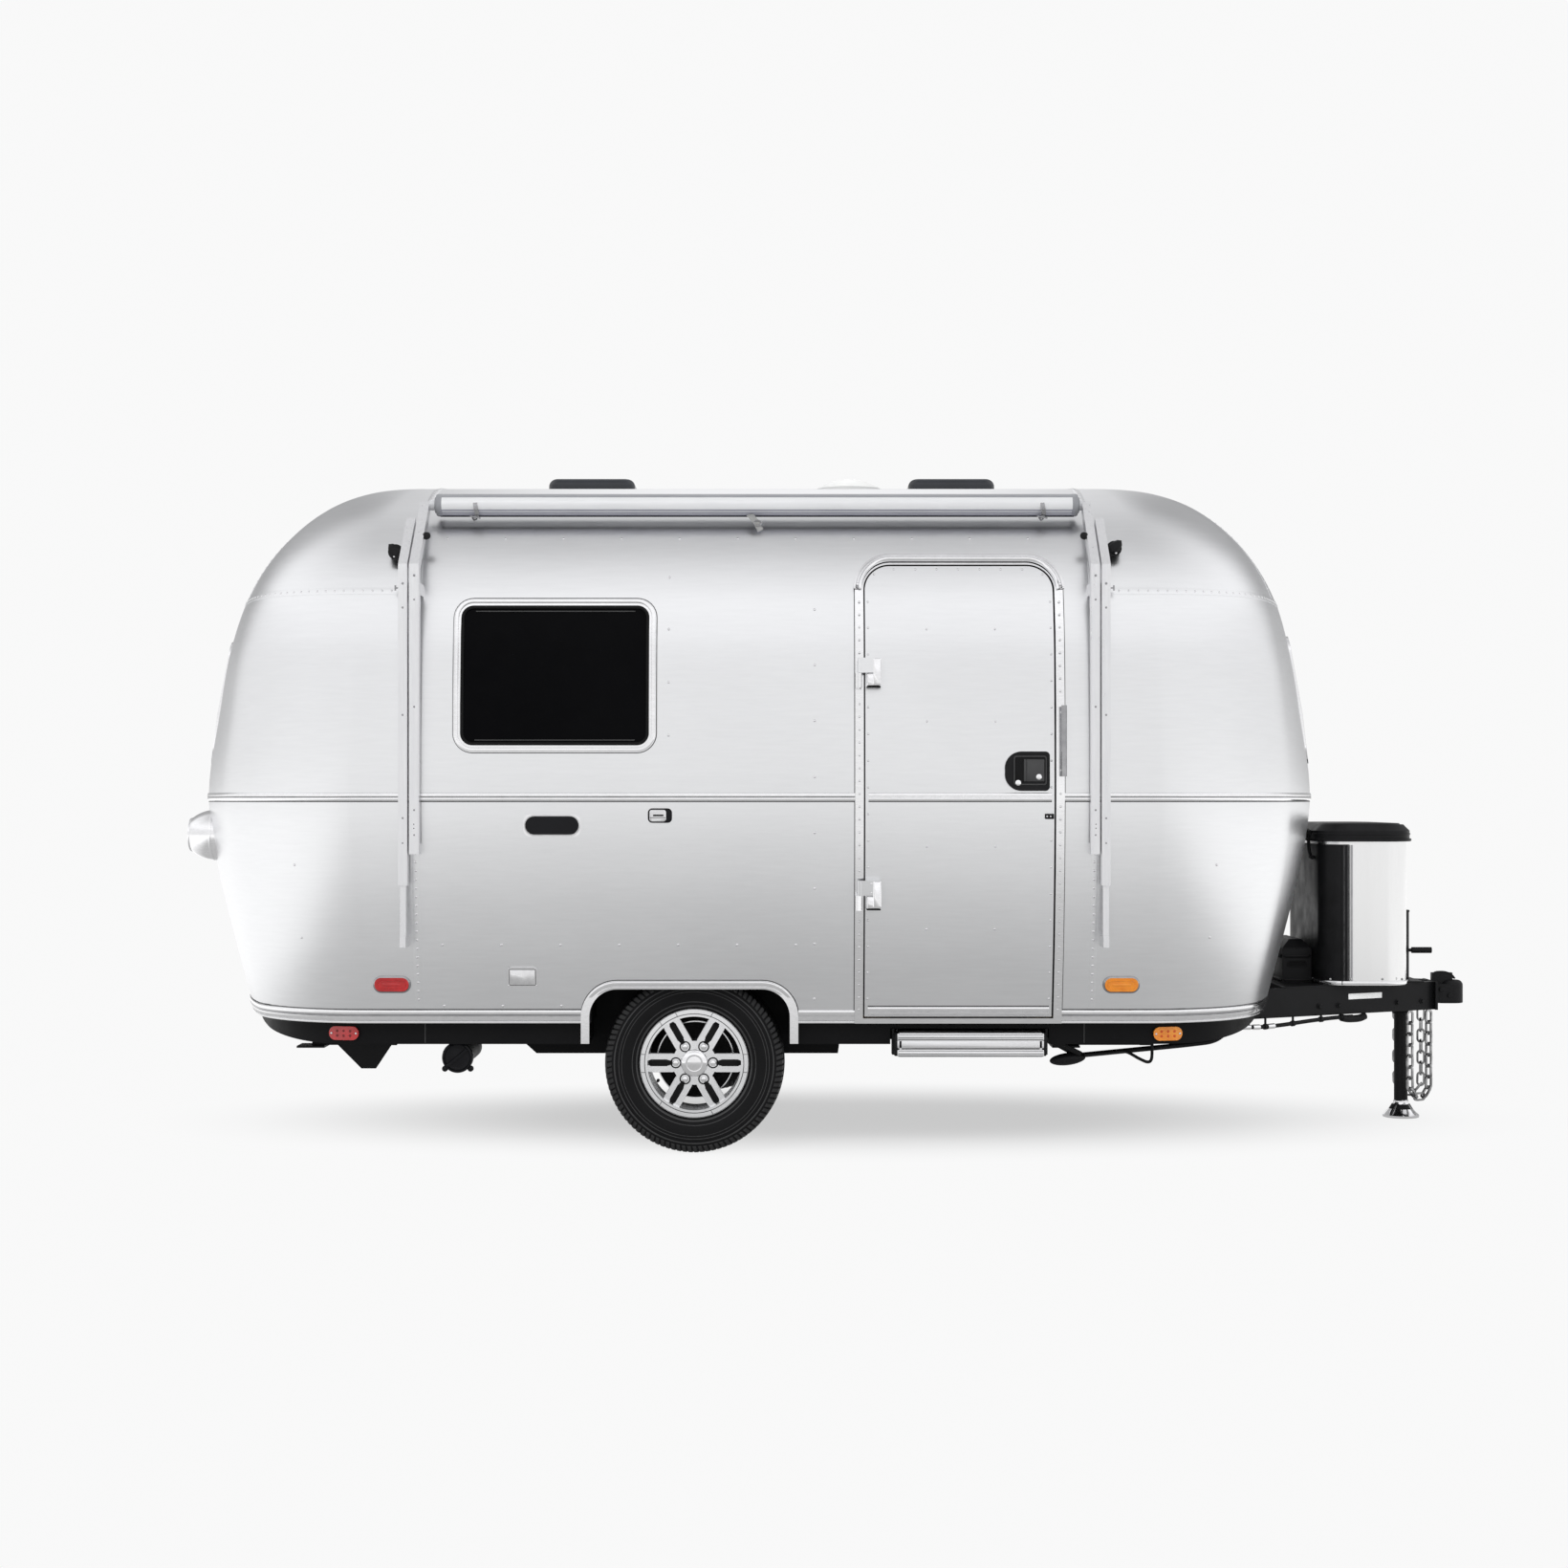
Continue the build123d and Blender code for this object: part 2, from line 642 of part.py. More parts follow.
with BuildPart() as tyre:
    with BuildSketch(Plane.YZ.offset(AXLE_X)) as section:
        with BuildLine():
            half_seat = RIM_WIDTH / 2
            crown_half = TYRE_WIDTH / 2 - TYRE_CROWN_INSET
            bulge = (TYRE_WIDTH / 2, RIM_FLANGE_RADIUS + TYRE_BULGE)
            shoulder = (crown_half, TYRE_RADIUS - TYRE_SHOULDER)
            near = [(-WHEEL_Y - a, TYRE_RADIUS + r) for a, r in
                    [(half_seat, RIM_SEAT_RADIUS), (half_seat, RIM_FLANGE_RADIUS), bulge, shoulder]]
            far = [(-2 * WHEEL_Y - y, z) for y, z in near]
            Line(far[0], near[0])
            Line(near[0], near[1])
            ThreePointArc(near[1], near[2], near[3])
            ThreePointArc(near[3], (-WHEEL_Y, 2 * TYRE_RADIUS), far[3])
            ThreePointArc(far[3], far[2], far[1])
            Line(far[1], far[0])
        make_face()
    revolve(section.sketch, axis=AXLE)

HUB_BORE = SPINDLE_RADIUS + SPINDLE_CLEARANCE
SPINDLE_END = MOUNT_FACE - SPINDLE_SETBACK
with BuildPart() as rim:
    half_seat = RIM_WIDTH / 2
    lip = half_seat + RIM_FLANGE_THICK
    barrel = RIM_SEAT_RADIUS - RIM_BARREL_THICK
    turned([(WHEEL_Y + lip, RIM_FLANGE_RADIUS), (WHEEL_Y + half_seat, RIM_FLANGE_RADIUS),
            (WHEEL_Y + half_seat, RIM_SEAT_RADIUS), (WHEEL_Y - half_seat, RIM_SEAT_RADIUS),
            (WHEEL_Y - half_seat, RIM_FLANGE_RADIUS), (WHEEL_Y - lip, RIM_FLANGE_RADIUS),
            (WHEEL_Y - lip, barrel), (WHEEL_Y + lip, barrel)])
    turned([(SPOKE_FACE, 0.0), (SPOKE_FACE, HUB_RADIUS), (MOUNT_FACE, HUB_RADIUS), (MOUNT_FACE, 0.0)])
    spoke_length = (RIM_SEAT_RADIUS + barrel) / 2 - HUB_CAP_RADIUS
    spoke_middle = HUB_CAP_RADIUS + spoke_length / 2
    spoke_side = (SPOKE_WIDTH + SPOKE_GAP) / 2
    spoke_plane = Plane(origin=(AXLE_X, -SPOKE_FACE, TYRE_RADIUS), x_dir=(1, 0, 0), z_dir=(0, 1, 0))
    with BuildSketch(spoke_plane) as spokes:
        with PolarLocations(0, SPOKE_PAIRS):
            with Locations((spoke_middle, spoke_side), (spoke_middle, -spoke_side)):
                Rectangle(spoke_length, SPOKE_WIDTH)
    extrude(spokes.sketch, amount=SPOKE_THICK)
    cap_face = SPOKE_FACE + HUB_CAP_PROUD
    turned([(cap_face, 0.0), (cap_face, HUB_CAP_RADIUS - HUB_CAP_BEVEL),
            (SPOKE_FACE, HUB_CAP_RADIUS), (SPOKE_FACE, 0.0)])
    turned([(MOUNT_FACE, 0.0), (MOUNT_FACE, HUB_RADIUS), (DRUM_FACE, HUB_RADIUS), (DRUM_FACE, DRUM_RADIUS),
            (DRUM_BACK, DRUM_RADIUS), (DRUM_BACK, DRUM_RADIUS - DRUM_WALL),
            (DRUM_FACE - DRUM_WALL, DRUM_RADIUS - DRUM_WALL), (DRUM_FACE - DRUM_WALL, DRUM_BOSS_RADIUS),
            (DRUM_BACK, DRUM_BOSS_RADIUS), (DRUM_BACK, HUB_BORE),
            (SPINDLE_END + SPINDLE_CLEARANCE, HUB_BORE), (SPINDLE_END + SPINDLE_CLEARANCE, 0.0)])

for piece, name in ((tyre, "tyre"), (rim, "wheel")):
    save(piece, f"{name}_curb")
    with BuildPart() as street_piece:
        mirror(piece.part, about=Plane.XZ)
    save(street_piece, f"{name}_street")

# Torsion axle: a square tube under the pan, and trailing arms with backing plates and spindles
TUBE_X = AXLE_X + TRAIL
TUBE_Z = PAN_BOTTOM - AXLE_TUBE / 2
BACKING_FACE = DRUM_BACK - BACKING_GAP
BACKING_RADIUS = DRUM_RADIUS + BACKING_LAP
ARM_FACE = BACKING_FACE - BACKING_THICK
TUBE_END = ARM_FACE - ARM_THICK
with BuildPart() as axle_tube:
    block(around(TUBE_X, AXLE_TUBE), (-TUBE_END, TUBE_END), around(TUBE_Z, AXLE_TUBE))
save(axle_tube, "axle_tube")

with BuildPart() as axle_arms:
    with BuildSketch(Plane.XZ.offset(TUBE_END)) as arm:
        SlotCenterToCenter(hypot(TRAIL, TUBE_Z - TYRE_RADIUS), 2 * ARM_HALF_HEIGHT,
                           rotation=degrees(atan2(TUBE_Z - TYRE_RADIUS, TRAIL)))
    extrude(arm.sketch.moved(Location((AXLE_X + TRAIL / 2, 0, (TUBE_Z + TYRE_RADIUS) / 2))), amount=ARM_THICK)
    turned([(ARM_FACE, 0.0), (ARM_FACE, BACKING_RADIUS), (BACKING_FACE, BACKING_RADIUS), (BACKING_FACE, 0.0)])
    turned([(TUBE_END, 0.0), (TUBE_END, SPINDLE_RADIUS), (SPINDLE_END, SPINDLE_RADIUS), (SPINDLE_END, 0.0)])
    mirror(about=Plane.XZ)
save(axle_arms, "axle_arms")

# A-frame rails butt against the body and the pan, and the coupler closes their front ends
RAIL_TURN = radians(RAIL_ANGLE)
RAIL_BOTTOM = RAIL_TOP - RAIL_TALL


def on_rail(along):
    """The middle of the street-side rail at a distance back from its front end."""
    return (RAIL_FRONT - along * cos(RAIL_TURN), RAIL_FRONT_Y + along * sin(RAIL_TURN))


def rail_half_width(x):
    """Distance from the middle plane to the outside of a rail at one place along the body."""
    return RAIL_FRONT_Y + (RAIL_FRONT - x) * sin(RAIL_TURN) / cos(RAIL_TURN) + RAIL_THICK / 2


with BuildPart() as aframe_rails:
    rail_middle = (*on_rail(RAIL_LENGTH / 2 - RAIL_THICK), RAIL_TOP - RAIL_TALL / 2)
    with Locations(Location(rail_middle, (0, 0, -RAIL_ANGLE))):
        Box(RAIL_LENGTH, RAIL_THICK, RAIL_TALL)
    block((0.0, RAIL_FRONT), STREET, (RAIL_BOTTOM, RAIL_TOP), Mode.INTERSECT)
    mirror(about=Plane.XZ)
    add(outer, mode=Mode.SUBTRACT)
    add(belly_pan.part, mode=Mode.SUBTRACT)
save(aframe_rails, "aframe_rails")

JACK_PLATE_REAR = JACK_X - JACK_PLATE_HALF
TRAY_TOP = RAIL_TOP + TRAY_THICK
with BuildPart() as tongue_tray:
    with BuildSketch(Plane.XY.offset(RAIL_TOP)) as tray:
        wide = rail_half_width(TRAY_REAR)
        narrow = rail_half_width(JACK_PLATE_REAR)
        with BuildLine():
            Polyline((TRAY_REAR, -wide), (JACK_PLATE_REAR, -narrow),
                     (JACK_PLATE_REAR, narrow), (TRAY_REAR, wide), close=True)
        make_face()
    extrude(tray.sketch, amount=TRAY_THICK)
save(tongue_tray, "tongue_tray")

with BuildPart() as coupler:
    with Locations((COUPLER_X, 0, (COUPLER_LOW + COUPLER_HIGH) / 2)):
        Cylinder(COUPLER_RADIUS, COUPLER_HIGH - COUPLER_LOW)
    fillet(coupler.edges().group_by(Axis.Z)[-1], radius=COUPLER_RADIUS / 2)
    neck_top = COUPLER_HIGH - COUPLER_RADIUS / 3
    block((RAIL_FRONT + COUPLER_PLATE, COUPLER_X), grown((0.0, 0.0), COUPLER_RADIUS), (COUPLER_LOW, neck_top))
    block((RAIL_FRONT, RAIL_FRONT + COUPLER_PLATE), grown((0.0, 0.0), 2 * RAIL_FRONT_Y),
          (RAIL_BOTTOM, RAIL_TOP))
    block((RAIL_FRONT + COUPLER_PLATE, COUPLER_X), grown((0.0, 0.0), COUPLER_LATCH_HALF),
          (neck_top, neck_top + COUPLER_RADIUS))
    with Locations((COUPLER_X, 0, COUPLER_LOW)):
        Cylinder(SOCKET_RADIUS, 2 * SOCKET_DEPTH, mode=Mode.SUBTRACT)
save(coupler, "coupler")

# Tongue jack: a fixed tube on a plate across the rails, and the leg that slides in it
JACK_BORE = JACK_LEG_RADIUS + JACK_CLEARANCE
with BuildPart() as jack_tube:
    block(around(JACK_X, 2 * JACK_PLATE_HALF), grown((0.0, 0.0), rail_half_width(JACK_X)), (RAIL_TOP, TRAY_TOP))
    rod((JACK_X, 0, JACK_TUBE_LOW), (JACK_X, 0, JACK_TUBE_HIGH), JACK_TUBE_RADIUS)
    rod((JACK_X, 0, CRANK_HEIGHT), (CRANK_TIP, 0, CRANK_HEIGHT), CRANK_RADIUS)
    rod((CRANK_TIP - GRIP_LENGTH, 0, CRANK_HEIGHT), (CRANK_TIP, 0, CRANK_HEIGHT), GRIP_RADIUS)
    rod((JACK_X, 0, JACK_TUBE_LOW), (JACK_X, 0, JACK_TUBE_HIGH - JACK_TUBE_RADIUS + JACK_BORE), JACK_BORE,
        Mode.SUBTRACT)
save(jack_tube, "jack_tube")

with BuildPart() as jack_leg:
    rod((JACK_X, 0, 0), (JACK_X, 0, JACK_LEG_HIGH), JACK_LEG_RADIUS)
    rod((JACK_X, 0, 0), (JACK_X, 0, JACK_FOOT_TALL), JACK_FOOT_RADIUS)
    with Locations((JACK_X, 0, JACK_FOOT_TALL)):
        Cone(JACK_FOOT_RADIUS - JACK_FOOT_TALL, JACK_LEG_RADIUS + JACK_FOOT_TALL, JACK_NECK_TALL,
             align=(Align.CENTER, Align.CENTER, Align.MIN))
save(jack_leg, "jack_leg")

# Safety chains: each hangs under its rail in a narrow loop, its links turned by a quarter one after another
CHAIN_PITCH = CHAIN_LINK_INSIDE - CHAIN_SLACK
CHAIN_BEND = CHAIN_SPAN / 2
CHAIN_DROP = (CHAIN_LINKS * CHAIN_PITCH - pi * CHAIN_BEND) / 2
CHAIN_TOP = RAIL_BOTTOM - (CHAIN_LINK_INSIDE - CHAIN_PITCH) / 2 - CHAIN_WIRE


def chain_point(along):
    """A point of the hanging loop: down one side, round the bottom and up the other."""
    bend_length = pi * CHAIN_BEND
    if along < CHAIN_DROP:
        offset, height = 0.0, CHAIN_TOP - along
    elif along < CHAIN_DROP + bend_length:
        turn = (along - CHAIN_DROP) / CHAIN_BEND
        offset = CHAIN_BEND * (1 - cos(turn))
        height = CHAIN_TOP - CHAIN_DROP - CHAIN_BEND * sin(turn)
    else:
        offset, height = CHAIN_SPAN, CHAIN_TOP - 2 * CHAIN_DROP - bend_length + along
    return Vector(*on_rail(CHAIN_SETBACK + offset), height)


CHAIN_NORMAL = Vector(sin(RAIL_TURN), cos(RAIL_TURN), 0)
with BuildPart() as safety_chains:
    for index in range(CHAIN_LINKS):
        start = chain_point(index * CHAIN_PITCH)
        run = chain_point((index + 1) * CHAIN_PITCH) - start
        flat = CHAIN_NORMAL if index % 2 == 0 else CHAIN_NORMAL.cross(run)
        with BuildSketch(Plane(origin=start + run / 2, x_dir=run, z_dir=flat)) as link:
            SlotOverall(CHAIN_LINK_INSIDE + 2 * CHAIN_WIRE, CHAIN_LINK_WIDE)
            SlotOverall(CHAIN_LINK_INSIDE, CHAIN_LINK_WIDE - 2 * CHAIN_WIRE, mode=Mode.SUBTRACT)
        extrude(link.sketch, amount=CHAIN_WIRE / 2, both=True)
    mirror(about=Plane.XZ)
save(safety_chains, "safety_chains")

# Gas bottles, their cover and its lid, and the battery box behind them
COVER_X = (COVER_REAR + COVER_FRONT) / 2
COVER_LONG = COVER_FRONT - COVER_REAR
COVER_TOP = TRAY_TOP + COVER_TALL
LID_AXIS_X = COVER_FRONT + LID_OVERHANG / 2
LID_AXIS_Z = COVER_TOP - LID_OVERHANG / 2


def cover_outline(height, grow):
    """The cover's rounded plan outline at one height."""
    with BuildSketch(Plane.XY.offset(height)) as outline:
        with Locations((COVER_X, 0)):
            RectangleRounded(COVER_LONG + 2 * grow, 2 * (COVER_HALF_WIDTH + grow), COVER_RADIUS + grow)
    return outline.sketch


with BuildPart() as gas_cover:
    extrude(cover_outline(TRAY_TOP, 0.0), amount=COVER_TALL)
    extrude(cover_outline(TRAY_TOP, -COVER_WALL), amount=COVER_TALL, mode=Mode.SUBTRACT)
    for side in LID_HINGES:
        low, high = around(side, LID_HINGE_WIDE)
        rod((LID_AXIS_X, low, LID_AXIS_Z), (LID_AXIS_X, high, LID_AXIS_Z), LID_PIN_RADIUS)
        block((COVER_FRONT, LID_AXIS_X), (low, high), grown((LID_AXIS_Z, LID_AXIS_Z), LID_PIN_RADIUS))
save(gas_cover, "gas_cover")

with BuildPart() as gas_lid:
    extrude(cover_outline(COVER_TOP + LID_SEAT, LID_OVERHANG), amount=LID_TALL - LID_SEAT)
    chamfer(gas_lid.faces().sort_by(Axis.Z)[-1].edges(), length=LID_CHAMFER)
    for side in LID_HINGES:
        tab = side + LID_HINGE_WIDE / 2 + LID_PIN_RADIUS
        block(grown((LID_AXIS_X, LID_AXIS_X), LID_PIN_RADIUS), around(tab, LID_PIN_RADIUS),
              (LID_AXIS_Z - LID_PIN_RADIUS, COVER_TOP + LID_OVERHANG))
save(gas_lid, "gas_lid")

with BuildPart() as gas_bottles:
    for side in (-1, 1):
        with Locations((COVER_X, side * BOTTLE_SPREAD, TRAY_TOP)):
            Cylinder(BOTTLE_RADIUS, BOTTLE_TALL, align=(Align.CENTER, Align.CENTER, Align.MIN))
    fillet(gas_bottles.edges().group_by(Axis.Z)[-1], radius=BOTTLE_RADIUS / 2)
    for side in (-1, 1):
        with Locations((COVER_X, side * BOTTLE_SPREAD, TRAY_TOP + BOTTLE_TALL)):
            Cylinder(BOTTLE_COLLAR_RADIUS, BOTTLE_COLLAR_TALL)
save(gas_bottles, "gas_bottles")

with BuildPart() as battery_box:
    block((BATTERY_REAR, BATTERY_FRONT), grown((0.0, 0.0), BATTERY_HALF_WIDTH),
          (TRAY_TOP, TRAY_TOP + BATTERY_TALL))
    chamfer(battery_box.faces().sort_by(Axis.Z)[-1].edges(), length=BATTERY_TALL / 5)
save(battery_box, "battery_box")

# Door latch: a plate with a round end towards the hinges
LATCH_X = (LATCH_BACK, LATCH_FRONT)
LATCH_Z = (LATCH_LOW, LATCH_HIGH)
with BuildPart() as door_latch:
    side_prism(-1, LATCH_X, LATCH_Z, LATCH_RADIUS)
    side_prism(-1, (LATCH_BACK + LATCH_RADIUS, LATCH_FRONT), LATCH_Z, LATCH_SQUARE_RADIUS)
    add(latch_form, mode=Mode.INTERSECT)
    add(outer, mode=Mode.SUBTRACT)
save(door_latch, "door_latch")

# Fittings that stand a little proud of the curb wall: badge, inlet cover and small hatch
with BuildPart() as wall_fittings:
    for x, z, wide, tall in (BADGE, INLET, HATCH):
        side_prism(-1, around(x, wide), around(z, tall), min(wide, tall) * FITTING_ROUND)
    add(fitting_form, mode=Mode.INTERSECT)
    add(outer, mode=Mode.SUBTRACT)
save(wall_fittings, "wall_fittings")

GRAB_OUT = body_half_width((GRAB_LOW + GRAB_HIGH) / 2) + GRAB_STAND
with BuildPart() as grab_handle:
    block(around(GRAB_X, 2 * GRAB_RADIUS), around(-GRAB_OUT, 2 * GRAB_RADIUS), (GRAB_LOW, GRAB_HIGH))
    fillet(grab_handle.edges().filter_by(Axis.Z), radius=GRAB_FOOT_RADIUS)
    for height in (GRAB_LOW + GRAB_STAND / 2, GRAB_HIGH - GRAB_STAND / 2):
        rod((GRAB_X, -GRAB_OUT, height), (GRAB_X, -DOOR_LEAF_BACK, height), GRAB_FOOT_RADIUS)
    add(frame_form, mode=Mode.SUBTRACT)
save(grab_handle, "grab_handle")

with BuildPart() as scene_lamps:
    for x, z in SCENE_LAMPS:
        out = body_half_width(z) + SCENE_LAMP_LONG
        rod((x, -out, z), (x, -SIDE_CUT_FROM, z), SCENE_LAMP_RADIUS)
    add(outer, mode=Mode.SUBTRACT)
save(scene_lamps, "scene_lamps")

# Lamps: the bullet tail lamps, and flat markers on the walls and the pan
TAIL_AXIS = Axis((0, -TAIL_Y, TAIL_Z), (1, 0, 0))
TAIL_JOIN = TAIL_TIP + TAIL_LENS
TAIL_ROOT = REAR_SEAM - END_CUT_FROM
with BuildPart() as tail_bodies:
    with BuildSketch(Plane.XZ.offset(TAIL_Y)) as bullet:
        with BuildLine():
            Polyline((TAIL_JOIN, TAIL_Z + TAIL_FACE_RADIUS), (TAIL_JOIN, TAIL_Z), (TAIL_ROOT, TAIL_Z),
                     (TAIL_ROOT, TAIL_Z + TAIL_RADIUS), (TAIL_WAIST, TAIL_Z + TAIL_RADIUS))
            TangentArc((TAIL_WAIST, TAIL_Z + TAIL_RADIUS), (TAIL_JOIN, TAIL_Z + TAIL_FACE_RADIUS),
                       tangent=(-1, 0))
        make_face()
    revolve(bullet.sketch, axis=TAIL_AXIS)
    mirror(about=Plane.XZ)
    add(outer, mode=Mode.SUBTRACT)
save(tail_bodies, "tail_bodies")

with BuildPart() as tail_lenses:
    with BuildSketch(Plane.XZ.offset(TAIL_Y)) as dome:
        with BuildLine():
            Polyline((TAIL_TIP, TAIL_Z), (TAIL_JOIN, TAIL_Z), (TAIL_JOIN, TAIL_Z + TAIL_LENS_RADIUS))
            TangentArc((TAIL_TIP, TAIL_Z), (TAIL_JOIN, TAIL_Z + TAIL_LENS_RADIUS), tangent=(0, 1))
        make_face()
    revolve(dome.sketch, axis=TAIL_AXIS)

for colour in ("red", "amber"):
    with BuildPart() as markers:
        for x, z, wide, tall, shade in SIDE_MARKERS:
            if shade == colour:
                side_prism(-1, around(x, wide), around(z, tall), tall * MARKER_ROUND)
        add(marker_form, mode=Mode.INTERSECT)
        add(outer, mode=Mode.SUBTRACT)
    with BuildPart() as pan_markers:
        for x, z, wide, tall, shade in PAN_MARKERS:
            if shade == colour:
                side_prism(-1, around(x, wide), around(z, tall), tall * MARKER_ROUND)
        proud_outline = plan_outline(PAN_BOTTOM, PAN_HALF_WIDTH + MARKER_PROUD, PAN_REAR_REACH + MARKER_PROUD,
                                     PAN_FRONT_REACH + MARKER_PROUD)
        extrude(proud_outline, amount=SHELL_BASE - PAN_BOTTOM, mode=Mode.INTERSECT)
        add(belly_pan.part, mode=Mode.SUBTRACT)
    with BuildPart() as lamps:
        add(markers.part)
        add(pan_markers.part)
        if colour == "red":
            add(tail_lenses.part)
        mirror(about=Plane.XZ)
    save(lamps, f"lenses_{colour}")

# Awning: the roller, its folded arms and the brackets that hold them off the wall
with BuildPart() as awning_roller:
    rod((ROLLER_REAR, -ROLLER_OUT, ROLLER_HEIGHT), (ROLLER_FRONT, -ROLLER_OUT, ROLLER_HEIGHT), ROLLER_RADIUS)
    rod((AWNING_ARMS[1][1], -ROLLER_OUT, ROLLER_HEIGHT), (AWNING_ARMS[2][0], -ROLLER_OUT, ROLLER_HEIGHT),
        ARM_DEPTH / 2)
save(awning_roller, "awning_roller")

ARM_BACK = ARM_DEPTH / 2 - ARM_OUT
ARM_FRONT = -ARM_DEPTH / 2 - ARM_OUT
with BuildPart() as awning_arms:
    for rear, front, foot, share in AWNING_ARMS[1:3]:
        block((rear, front), (ARM_FRONT, -SIDE_CUT_FROM), (foot - FOOT_BRACKET_TALL, foot))
    for rear, front, low, high in AWNING_TUBES:
        block((rear, front), (ARM_FRONT, -SIDE_CUT_FROM), (low - FOOT_BRACKET_TALL, low))
    for first, last in ((AWNING_ARMS[0], AWNING_ARMS[1]), (AWNING_ARMS[2], AWNING_ARMS[3])):
        block((first[0], last[1]), (ARM_BACK, -SIDE_CUT_FROM), UPPER_BRACKET)
    add(outer, mode=Mode.SUBTRACT)
    for rear, front, foot, share in AWNING_ARMS:
        tip = (share * -ROLLER_OUT - (1 - share) * ARM_OUT, share * ROLLER_HEIGHT + (1 - share) * ARM_BEND)
        with BuildSketch(Plane.YZ.offset(rear)) as channel:
            with BuildLine():
                Polyline((-ARM_OUT, foot), (-ARM_OUT, ARM_BEND), tip)
            trace(line_width=ARM_DEPTH)
        extrude(channel.sketch, amount=front - rear)
    for rear, front, low, high in AWNING_TUBES:
        block((rear, front), around(-ARM_OUT, ARM_LOWER_DEPTH), (low, high))
save(awning_arms, "awning_arms")

# Roof: opening vents and the round unit
with BuildPart() as roof_fittings:
    for middle in VENTS.values():
        block(around(middle, VENT_WIDE), around(0.0, VENT_WIDE), (SHELL_BASE, VENT_BASE_TOP))
    with BuildSketch(Plane.XZ) as half:
        with BuildLine():
            Polyline((ROOF_UNIT_X, ROOF_UNIT_TOP), (ROOF_UNIT_X, WALL_TOP),
                     (ROOF_UNIT_X + ROOF_UNIT_RADIUS, WALL_TOP),
                     (ROOF_UNIT_X + ROOF_UNIT_RADIUS, ROOF_UNIT_EDGE))
            TangentArc((ROOF_UNIT_X, ROOF_UNIT_TOP), (ROOF_UNIT_X + ROOF_UNIT_RADIUS, ROOF_UNIT_EDGE),
                       tangent=(1, 0))
        make_face()
    revolve(half.sketch, axis=Axis((ROOF_UNIT_X, 0, 0), (0, 0, 1)))
    add(outer, mode=Mode.SUBTRACT)
save(roof_fittings, "roof_fittings")

VENT_LID_Z = (VENT_BASE_TOP + LID_SEAT, VENT_BASE_TOP + VENT_LID_TALL)
for name, middle in VENTS.items():
    with BuildPart() as vent_lid:
        wide = VENT_WIDE + 2 * VENT_LID_OVERHANG
        block(around(middle, wide), around(0.0, wide), VENT_LID_Z)
        fillet(vent_lid.edges().filter_by(Axis.Z), radius=VENT_LID_TALL)
        fillet(vent_lid.edges().group_by(Axis.Z)[-1], radius=VENT_LID_EDGE)
    save(vent_lid, f"vent_lid_{name}")

# Entry step: cheeks under the pan, arms that swing out, and two treads that stay level
STEP_ARM_X = [(STEP_REAR - STEP_GAP - STEP_CHEEK, STEP_REAR - STEP_GAP),
              (STEP_FRONT + STEP_GAP, STEP_FRONT + STEP_GAP + STEP_CHEEK)]
STEP_MOUNT_X = [grown(STEP_ARM_X[0], STEP_GAP + STEP_CHEEK)[0], grown(STEP_ARM_X[1], STEP_GAP + STEP_CHEEK)[1]]
STEP_INNER_PIVOT = STEP_ARM - STEP_PIVOT_OUT
with BuildPart() as step_mounts:
    for edge, (low, high) in zip(STEP_MOUNT_X, STEP_ARM_X):
        plate = (edge, edge + STEP_CHEEK) if edge < low else (edge - STEP_CHEEK, edge)
        block(plate, around(-STEP_PIVOT_OUT, 4 * STEP_ARM_HALF),
              (STEP_PIVOT_Z - STEP_ARM_HALF, STEP_RECESS_TOP))
        rod((edge, -STEP_PIVOT_OUT, STEP_PIVOT_Z), (high if edge < low else low, -STEP_PIVOT_OUT, STEP_PIVOT_Z),
            STEP_PIN_RADIUS)

with BuildPart() as step_arms:
    for low, high in STEP_ARM_X:
        with BuildSketch(Plane.YZ.offset(low)) as arm_plate:
            with Locations(((STEP_INNER_PIVOT - STEP_PIVOT_OUT) / 2, STEP_PIVOT_Z)):
                SlotCenterToCenter(STEP_ARM, 2 * STEP_ARM_HALF)
            with Locations((-STEP_PIVOT_OUT, STEP_PIVOT_Z), (STEP_INNER_PIVOT, STEP_PIVOT_Z)):
                Circle(STEP_PIN_RADIUS + PIN_CLEARANCE, mode=Mode.SUBTRACT)
        extrude(arm_plate.sketch, amount=STEP_CHEEK)
save(step_arms, "step_arms")

with BuildPart() as step_treads:
    tread_y = (-STEP_EDGE, STEP_DEPTH - STEP_EDGE)
    for tread_z in (STEP_UPPER, STEP_LOWER):
        block((STEP_REAR, STEP_FRONT), tread_y, tread_z)
    for cheek in ((STEP_REAR, STEP_REAR + STEP_CHEEK), (STEP_FRONT - STEP_CHEEK, STEP_FRONT)):
        block(cheek, tread_y, (STEP_LOWER[0], STEP_UPPER[1]))
    for start, (low, high) in zip((STEP_REAR, STEP_FRONT), STEP_ARM_X):
        end = low if low < start else high
        rod((start, STEP_INNER_PIVOT, STEP_PIVOT_Z), (end, STEP_INNER_PIVOT, STEP_PIVOT_Z), STEP_PIN_RADIUS)
save(step_treads, "step_treads")

# Folding corner legs and the brackets that hold their pins
with BuildPart() as leg_brackets:
    for x, side in LEG_PIVOTS.values():
        half = LEG_WIDE / 2 + LEG_GAP
        for low in (-half - LEG_CHEEK, half):
            y = (side * LEG_OUT + low, side * LEG_OUT + low + LEG_CHEEK)
            block(around(x, LEG_WIDE), y, (LEG_PIVOT_Z - LEG_TALL / 2, PAN_BOTTOM))
        rod((x, side * LEG_OUT - half, LEG_PIVOT_Z), (x, side * LEG_OUT + half, LEG_PIVOT_Z), LEG_PIN_RADIUS)

